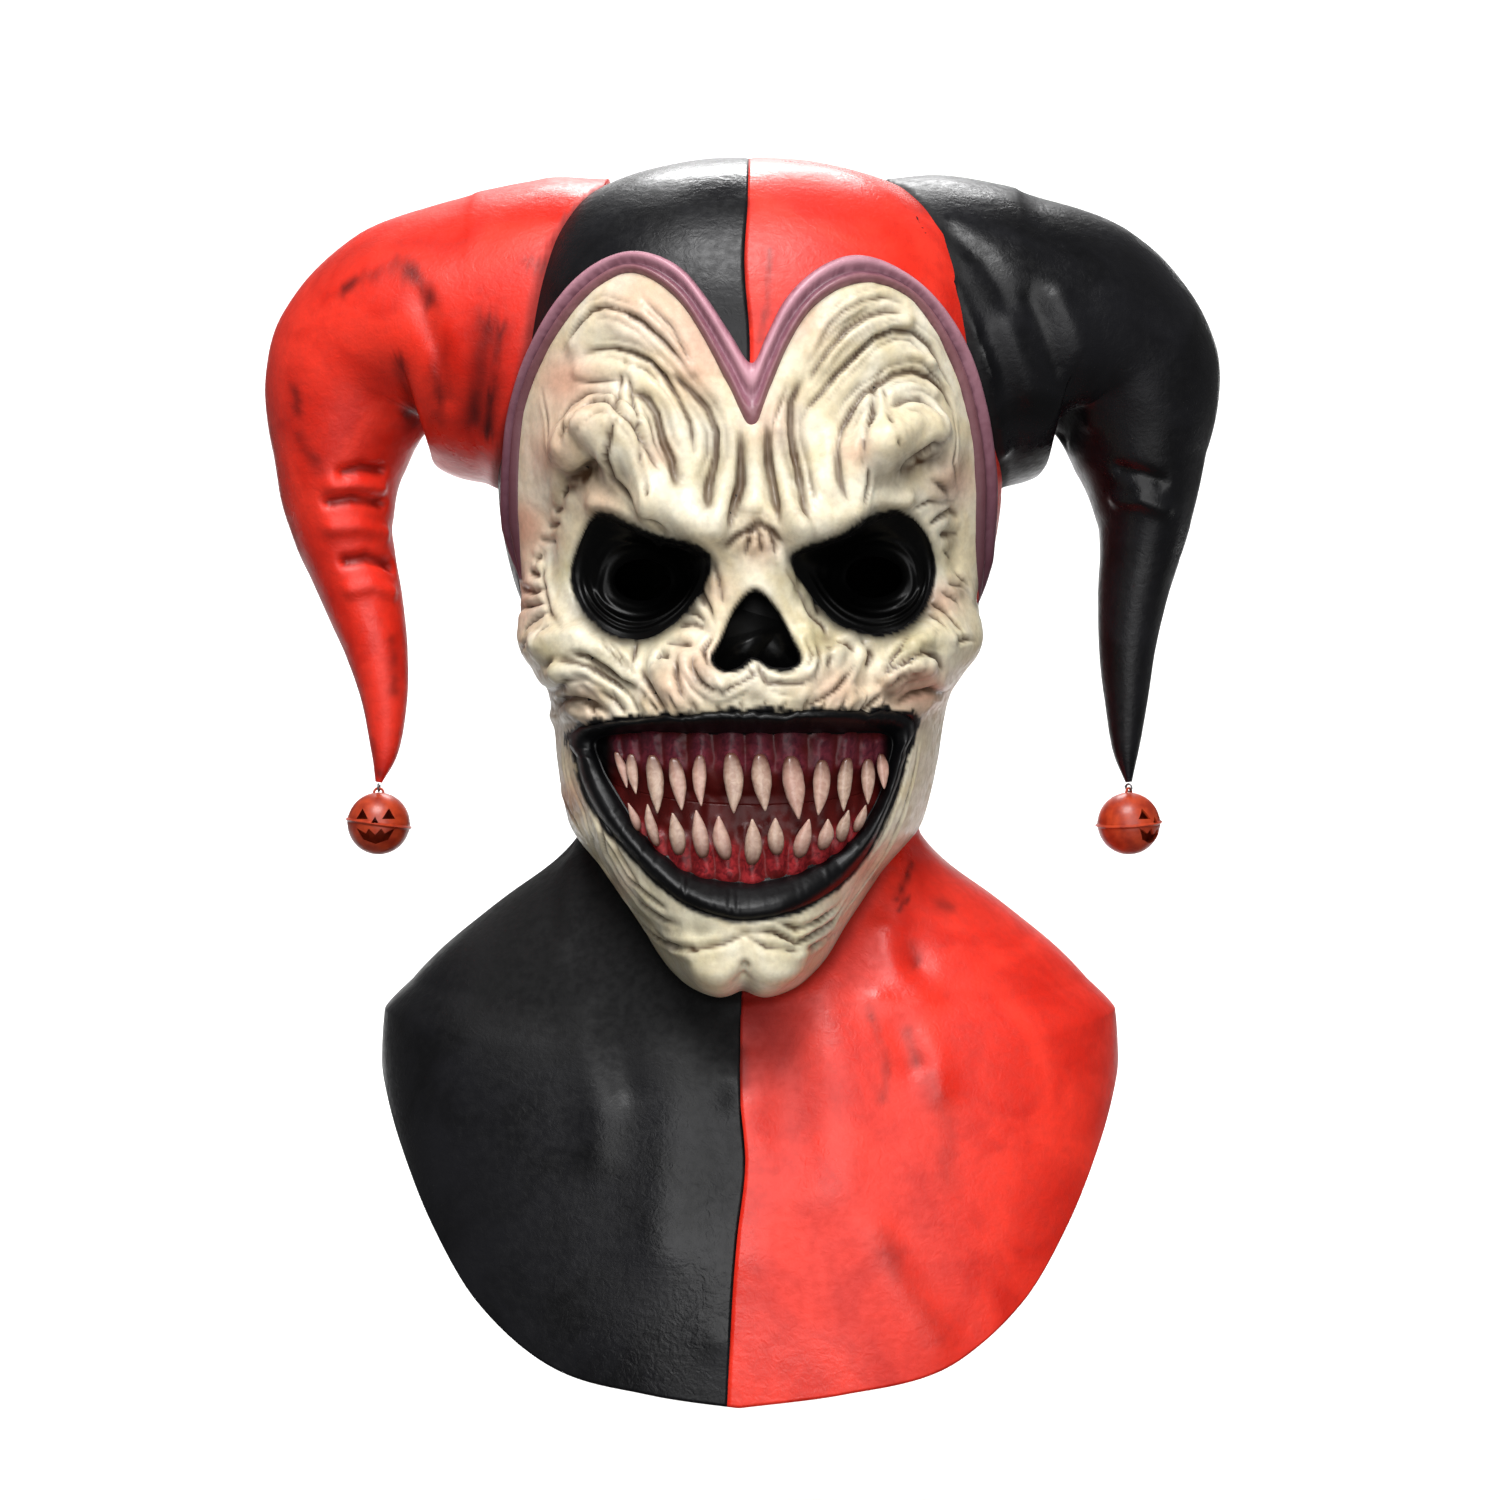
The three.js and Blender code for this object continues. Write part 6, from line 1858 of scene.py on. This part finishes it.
def make_tooth(name, place, index, node):
    """A leaf-shaped cone from a grid primitive wrapped round: rounded root, pointed tip, slight bend."""
    root, tip, half = place
    rings, sides = 22, 18
    run = tip - root
    length = np.linalg.norm(run)
    axis = run / length
    turn = math.atan2(root[0], JAW_DEPTH) * 0.9
    across = np.array([math.cos(turn), math.sin(turn), 0])
    out = np.array([math.sin(turn), -math.cos(turn), 0])
    share = np.linspace(0, 1, rings)[:, None]
    angle = np.linspace(0, 2 * math.pi, sides, endpoint=False)[None, :]
    wide = smooth(TOOTH_SHAPE, "share", share, "wide") * 1.12 * half
    bend = 0.5 * math.sin(index * 2.3) * np.sin(share * math.pi)
    u = wide * np.cos(angle) + bend
    flatness = 0.62
    v = wide * np.sin(angle) * flatness * (1 + 0.15 * np.cos(3 * angle))
    lean = 1.8 * share ** 1.3
    grid = root + axis * (length * share)[..., None] + across * u[..., None] + out * (v + lean)[..., None]
    grid = grid + across * (0.12 * noise(grid + 7 * index, 2.2, 71))[..., None]
    obj = wrapped_grid(name, grid)
    # Brown paint at the root; the brown down both sides of the tooth is painted shade.
    brown = np.clip(1 - share / 0.42, 0, 1) ** 1.2 + 0.4 * np.abs(np.cos(angle)) ** 4
    pink = 0.35 * (0.5 + 0.5 * math.sin(index * 1.7)) + 0 * brown
    paint_wrapped(obj, np.stack([brown, pink, 0 * brown, 0 * brown], axis=-1))
    settle(obj, "tooth", node)


class MASK_OT_teeth(bpy.types.Operator):
    """Upper and lower rows of pointed teeth"""
    bl_idname = "mask.teeth"
    bl_label = "Teeth"

    def execute(self, context):
        for word, rows in (("upper", UPPER_TEETH), ("lower", LOWER_TEETH)):
            for i, place in enumerate(tooth_places(rows), start=1):
                make_tooth(f"fang_{word}_{i:02d}", place, i, f"tooth_{word}_{i:02d}")
        return {"FINISHED"}


# Horns


HORN_ROWS = 260
HORN_SIDES = 160
# Dark brush marks on the red horn: half width in mm, strength, route by pixel
HORN_SMUDGES = (
    (4.0, 0.7, ((395, 262), (415, 275), (432, 300))),
    (3.0, 0.6, ((342, 290), (360, 278), (376, 272))),
    (3.5, 0.75, ((400, 362), (408, 395), (412, 425))),
    (3.0, 0.7, ((436, 372), (440, 410), (438, 440))),
    (4.5, 0.8, ((486, 322), (480, 370), (474, 420))),
    (3.0, 0.7, ((500, 330), (494, 380), (488, 430))),
    (3.0, 0.5, ((528, 262), (545, 268))),
    (2.5, 0.6, ((291, 392), (296, 410))),
    (3.0, 0.5, ((300, 440), (318, 470))),
    (2.5, 0.5, ((352, 690), (360, 735))),
    (2.5, 0.5, ((392, 640), (394, 690))),
    (2.0, 0.5, ((372, 742), (379, 775))),
)


def horn_grid(rows, side):
    """Sections along the drooping middle line of a horn."""
    level = np.linspace(0, rows["row"][-1], HORN_ROWS)
    centre = np.stack([side * smooth(rows, "row", level, "out") * HORN_REACH, 0 * level,
                       -smooth(rows, "row", level, "drop") * HORN_DROP], axis=-1)
    run = np.gradient(centre, axis=0)
    run /= np.linalg.norm(run, axis=1, keepdims=True)
    across = np.cross(run, np.array([0.0, 1.0, 0.0]))
    across /= np.linalg.norm(across, axis=1, keepdims=True)
    angle = np.linspace(0, 2 * math.pi, HORN_SIDES, endpoint=False)
    tall = smooth(rows, "row", level, "tall")[:, None] * HORN_RADIUS * np.cos(angle)
    deep = smooth(rows, "row", level, "deep")[:, None] * HORN_RADIUS * np.sin(angle)
    grid = centre[:, None] + across[:, None] * tall[..., None]
    grid[..., 1] += deep
    return grid


def hood_reach(points):
    """How far a point stands outside the hood."""
    angle = np.arctan2(points[..., 1], points[..., 0])
    angle = np.where(angle > math.pi / 2, angle - 2 * math.pi, angle)
    radius = neck_radius(angle, np.minimum(points[..., 2], 2.0))
    return np.hypot(points[..., 0], points[..., 1]) - radius


def brush_marks(grid, normals, marks):
    """Ragged strokes given by half width, strength and route."""
    flat, shown = grid.reshape(-1, 3), in_photo(grid).reshape(-1, 2)
    facing = normals.reshape(-1, 3)[:, 1] < 0.2
    total = np.zeros(len(flat))
    for wide, strength, pixels in marks:
        route = place_route(flat, shown, facing, pixels)
        near = near_route(flat, route, 3 * wide)
        reach, _ = route_reach(flat[near], route)
        ragged = 1 + 0.6 * noise(flat[near], 1.6 * wide, 84)
        total[near] = np.maximum(total[near], strength * np.exp(-(reach / wide) ** 2) * ragged)
    return np.clip(total, 0, 1).reshape(grid.shape[:2])


def make_horn(name, rows, side, material, node):
    grid = horn_grid(rows, side)
    normals = grid_normals(grid, wraps=True)
    outward = np.sum(normals * (grid - grid.mean(axis=1, keepdims=True)), axis=-1).mean()
    normals = normals if outward > 0 else -normals
    creases = swell(grid, normals, HORN_CREASES)
    size = np.linalg.norm(grid - grid.mean(axis=1, keepdims=True), axis=-1)
    soft = (0.8 * noise(grid, 38.0, 81) + 0.35 * noise(grid, 13.0, 82)) * np.clip(size / 30, 0, 1)
    grid = grid + normals * (creases + soft)[..., None]
    clear = hood_reach(grid)
    flange = 1.0
    scale = np.where(clear < -flange, clear + flange, 0)
    radial = grid * np.array([1.0, 1.0, 0.0])
    radial /= np.maximum(np.linalg.norm(radial, axis=-1, keepdims=True), 1e-6)
    grid = grid - radial * scale[..., None]
    glue = np.zeros(grid.shape[:2])
    if side > 0:
        glue = brush_marks(grid, normals, ((2.2, 1.0, GLUE_SEAM),))
        grid = grid + normals * (1.3 * glue)[..., None]
    obj = wrapped_grid(name, grid)
    # Painted shade in the creases and soft dents, and at the foot of the horn next to the hood, which goes into the
    # shade channel.
    fold = 0.6 * step(0.5, 2.4, -creases) + 0.2 * step(0.3, 1.0, -soft)
    base = 0.7 * step(4.0, 0.5, clear)
    smudge = np.zeros(fold.shape)
    if side < 0:
        smudge = brush_marks(grid, normals, HORN_SMUDGES)
    gloss = np.maximum(glue, 0.6 * step(-0.2, 0.7, noise(grid, 30.0, 85)))
    values = np.stack([np.maximum(fold, smudge), base, gloss, 0 * fold], axis=-1)
    paint_wrapped(obj, values)
    settle(obj, material, node)


class MASK_OT_horns(bpy.types.Operator):
    """Drooping horns, red on the black side and black on the red side"""
    bl_idname = "mask.horns"
    bl_label = "Horns"

    def execute(self, context):
        make_horn("horn_red_skin", LEFT_HORN, -1, "red", "horn_red")
        make_horn("horn_black_skin", RIGHT_HORN, 1, "black", "horn_black")
        return {"FINISHED"}


# Bells


# Pierced shapes as shares of the bell's radius
BELL_MOUTH = ((-0.62, -0.12), (-0.3, -0.3), (-0.2, -0.14), (0.0, -0.34), (0.2, -0.14), (0.3, -0.3),
              (0.62, -0.12), (0.4, -0.5), (0.0, -0.64), (-0.4, -0.5))
BELL_EYES = ((-0.42, 0.3, 0.2), (0.42, 0.3, 0.2), (0.0, 0.12, 0.12))


def cutter(outline, turn, centre):
    """A prism that cuts an outline through the front wall of a bell."""
    flat = np.array(outline) * BELL_RADIUS
    near = np.stack([flat[:, 0], np.full(len(flat), -2 * BELL_RADIUS), flat[:, 1]], axis=-1)
    far = near + np.array([0, 2 * BELL_RADIUS, 0])
    points = np.concatenate([near, far])
    spin = np.array(Matrix.Rotation(math.radians(turn), 3, "Z"))
    points = points @ spin.T + centre
    count = len(flat)
    faces = [tuple(range(count)), tuple(range(2 * count - 1, count - 1, -1))]
    faces += [(i, i + count, (i + 1) % count + count, (i + 1) % count) for i in range(count)]
    obj = mesh_piece("bell_cutter", points, faces)
    bpy.ops.object.mode_set(mode="EDIT")
    bpy.ops.mesh.select_all(action="SELECT")
    bpy.ops.mesh.normals_make_consistent(inside=False)
    bpy.ops.object.mode_set(mode="OBJECT")
    return obj


def make_bell(side, word, turn):
    """A hollow ball with a raised rim, a pierced face and a bail, hung on a wire ring."""
    box = np.array(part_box(f"bell_{word}")) / MM
    ring_box = np.array(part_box(f"bell_ring_{word}")) / MM
    middle = box.mean(axis=0)
    centre = np.array([middle[0], middle[1], box[0][2] + BELL_RADIUS])
    clear_selection()
    bpy.ops.mesh.primitive_uv_sphere_add(segments=72, ring_count=48, radius=BELL_RADIUS * MM,
                                         location=tuple(centre * MM))
    bell = added(f"bell_{word}_shell")
    coords = np.empty(len(bell.data.vertices) * 3, dtype=np.float32)
    bell.data.vertices.foreach_get("co", coords)
    local = coords.reshape(-1, 3) / MM - centre
    height = local[:, 2:3] / BELL_RADIUS
    rim = 1 + 0.085 * np.exp(-(height / 0.045) ** 2) + 0.012 * np.exp(-((np.abs(height) - 0.13) / 0.03) ** 2)
    local = local * np.concatenate([rim, rim, np.ones(rim.shape)], axis=1)
    tilt = np.array(Matrix.Rotation(math.radians(8 if side < 0 else -6), 3, "Y"))
    spin = np.array(Matrix.Rotation(math.radians(turn), 3, "Z"))
    local = local @ tilt.T @ spin.T
    bell.data.vertices.foreach_set("co", ((local + centre) * MM).astype(np.float32).ravel())
    pick(bell)
    bpy.ops.object.shade_smooth()
    apply_modifier(bell, "SOLIDIFY", thickness=sizes().bell_wall * MM, offset=-1.0)
    shapes = [BELL_MOUTH]
    for x, z, size in BELL_EYES:
        shapes.append(((x - size, z - 0.7 * size), (x + size, z - 0.7 * size), (x, z + size)))
    for outline in shapes:
        punch = cutter(outline, turn, centre)
        apply_modifier(bell, "BOOLEAN", object=punch, operation="DIFFERENCE", solver="EXACT")
        bpy.data.objects.remove(punch)
    pick(bell)
    bpy.ops.object.shade_smooth_by_angle(angle=math.radians(35))
    clear_selection()
    top = centre + np.array([0, 0, BELL_RADIUS - 0.1 * BAIL_RADIUS])
    bpy.ops.mesh.primitive_torus_add(
        location=tuple(top * MM), rotation=(math.pi / 2, 0, math.radians(turn)), major_radius=BAIL_RADIUS * MM,
        minor_radius=sizes().wire * MM, major_segments=40, minor_segments=12)
    bail = added(f"bell_{word}_bail")
    bell.select_set(True)
    bail.select_set(True)
    bpy.context.view_layer.objects.active = bell
    bpy.ops.object.join()
    settle(bell, "bell", f"bell_{word}")
    ring_centre = ring_box.mean(axis=0)
    t = np.linspace(0, 2 * math.pi * 1.12, 60)
    drift = np.linspace(-0.5, 0.5, 60) * sizes().wire * 1.2
    spine = np.stack([drift, RING_RADIUS * np.cos(t), RING_RADIUS * np.sin(t)], axis=-1) @ spin.T
    make_ring(f"bell_ring_{word}_wire", ring_centre + spine, f"bell_ring_{word}")


def make_ring(name, spine, node):
    """Round wire bent along a line, with slightly lapped ends."""
    run = np.gradient(spine, axis=0)
    run /= np.linalg.norm(run, axis=1, keepdims=True)
    side = np.cross(run, spine - spine.mean(axis=0))
    side /= np.linalg.norm(side, axis=1, keepdims=True)
    out = np.cross(side, run)
    angle = np.linspace(0, 2 * math.pi, 12, endpoint=False)
    half = 0.8 * sizes().wire
    grid = spine[:, None] + half * (side[:, None] * np.cos(angle)[None, :, None]
                                    + out[:, None] * np.sin(angle)[None, :, None])
    obj = wrapped_grid(name, grid)
    settle(obj, "wire", node)


class MASK_OT_bells(bpy.types.Operator):
    """Pumpkin-faced bells on wire rings at the horn tips"""
    bl_idname = "mask.bells"
    bl_label = "Bells"

    def execute(self, context):
        make_bell(-1, "left", 0)
        make_bell(1, "right", 50)
        return {"FINISHED"}


# Stage


FLOOR_LEVEL = -0.62
FLOOR_BEHIND = 2.5
WALL_HEIGHT = 4.0
WALL_PLACE = 4
WORLD_STRENGTH = 0.12
MIDDLE = (0, 0, CAMERA_DROP * MM)

# Lights: name, place, target, size in m, power in W, share of its shine
LIGHTS = (
    ("key_softbox", (-0.15, -1.15, 1.35), MIDDLE, 0.9, 42, 1.0),
    ("fill_softbox", (0.25, -1.7, 0.1), MIDDLE, 1.4, 15, 0.1),
    ("low_softbox", (0.3, -1.5, -0.7), MIDDLE, 1.2, 4, 0.1),
    ("left_backdrop_softbox", (-1.6, 2.2, 1.2), (0.3, 4.4, 0.0), 1.0, 64, 0.0),
    ("right_backdrop_softbox", (1.6, 2.2, 1.2), (-0.3, 4.4, 0.0), 1.0, 64, 0.0),
    ("floor_softbox", (0.0, 1.6, 1.6), (0.0, 1.6, -0.6), 1.0, 34, 0.0),
)


class MASK_OT_stage(bpy.types.Operator):
    """Pale seamless floor, soft studio lights and the camera of the photograph"""
    bl_idname = "mask.stage"
    bl_label = "Stage"

    def execute(self, context):
        scene = context.scene
        clear_selection()
        bpy.ops.mesh.primitive_plane_add(size=4.0, location=(0, FLOOR_BEHIND, FLOOR_LEVEL))
        floor = added("studio_floor")
        bpy.ops.object.mode_set(mode="EDIT")
        bpy.ops.mesh.select_mode(type="EDGE")
        bpy.ops.mesh.select_all(action="DESELECT")
        bpy.ops.object.mode_set(mode="OBJECT")
        for edge in floor.data.edges:
            edge.select = all(floor.data.vertices[i].co.y > WALL_PLACE for i in edge.vertices)
        bpy.ops.object.mode_set(mode="EDIT")
        bpy.ops.mesh.extrude_region_move(TRANSFORM_OT_translate={"value": (0, 0, WALL_HEIGHT)})
        bpy.ops.object.mode_set(mode="OBJECT")
        for edge in floor.data.edges:
            edge.select = all(v.co.y > WALL_PLACE and v.co.z < 0 for v in (floor.data.vertices[i] for i in edge.vertices))
        bpy.ops.object.mode_set(mode="EDIT")
        bpy.ops.mesh.bevel(offset=1.2, segments=24, affect="EDGES")
        bpy.ops.object.mode_set(mode="OBJECT")
        bpy.ops.object.shade_smooth()
        dress(floor, material_of("paper"))
        camera_data = bpy.data.cameras.new("photo_camera")
        camera_data.sensor_width = SENSOR_WIDTH
        camera_data.lens = SENSOR_WIDTH / (PIXEL_SLOPE * PHOTO_SIZE)
        camera = bpy.data.objects.new("photo_camera", camera_data)
        camera.location = (0, -CAMERA_AWAY * MM, CAMERA_DROP * MM)
        camera.rotation_euler = (math.pi / 2, 0, 0)
        scene.collection.objects.link(camera)
        scene.camera = camera
        for light in LIGHTS:
            soft_light(*light)
        world = bpy.data.worlds.new("studio_world")
        world.use_nodes = True
        world.node_tree.nodes["Background"].inputs["Color"].default_value = (1, 1, 1, 1)
        world.node_tree.nodes["Background"].inputs["Strength"].default_value = WORLD_STRENGTH
        scene.world = world
        scene.view_settings.view_transform = "Standard"
        return {"FINISHED"}


def soft_light(name, place, target, size, power, shine):
    """A square soft light that looks at a target."""
    data = bpy.data.lights.new(name, "AREA")
    data.size = size
    data.energy = power
    data.specular_factor = shine
    light = bpy.data.objects.new(name, data)
    light.location = place
    light.rotation_euler = (Vector(target) - Vector(place)).to_track_quat("-Z", "Y").to_euler()
    bpy.context.scene.collection.objects.link(light)


class MASK_PT_panel(bpy.types.Panel):
    """Lists the pieces of the mask in the order in which they are made"""
    bl_idname = "MASK_PT_panel"
    bl_label = "Jester mask"
    bl_space_type = "VIEW_3D"
    bl_region_type = "UI"
    bl_category = "Jester mask"

    def draw(self, context):
        for operator in OPERATORS:
            self.layout.operator(operator.bl_idname)
        for group in (context.scene.mask_sizes, context.scene.mask_colours):
            for name in group.__annotations__:
                self.layout.prop(group, name)


OPERATORS = (
    MASK_OT_stage,
    MASK_OT_face,
    MASK_OT_cowl,
    MASK_OT_trim,
    MASK_OT_sockets,
    MASK_OT_lips,
    MASK_OT_gums,
    MASK_OT_teeth,
    MASK_OT_horns,
    MASK_OT_bells,
)
CLASSES = (MaskSizes, MaskColours, *OPERATORS, MASK_PT_panel)


def register():
    for made in CLASSES:
        bpy.utils.register_class(made)
    bpy.types.Scene.mask_sizes = bpy.props.PointerProperty(type=MaskSizes)
    bpy.types.Scene.mask_colours = bpy.props.PointerProperty(type=MaskColours)


def unregister():
    del bpy.types.Scene.mask_colours
    del bpy.types.Scene.mask_sizes
    for made in reversed(CLASSES):
        bpy.utils.unregister_class(made)


def main():
    register()
    bpy.ops.mask.stage()
    bpy.ops.mask.face()
    bpy.ops.mask.cowl()
    bpy.ops.mask.trim()
    bpy.ops.mask.sockets()
    bpy.ops.mask.lips()
    bpy.ops.mask.gums()
    bpy.ops.mask.teeth()
    bpy.ops.mask.horns()
    bpy.ops.mask.bells()


if __name__ == "__main__":
    main()
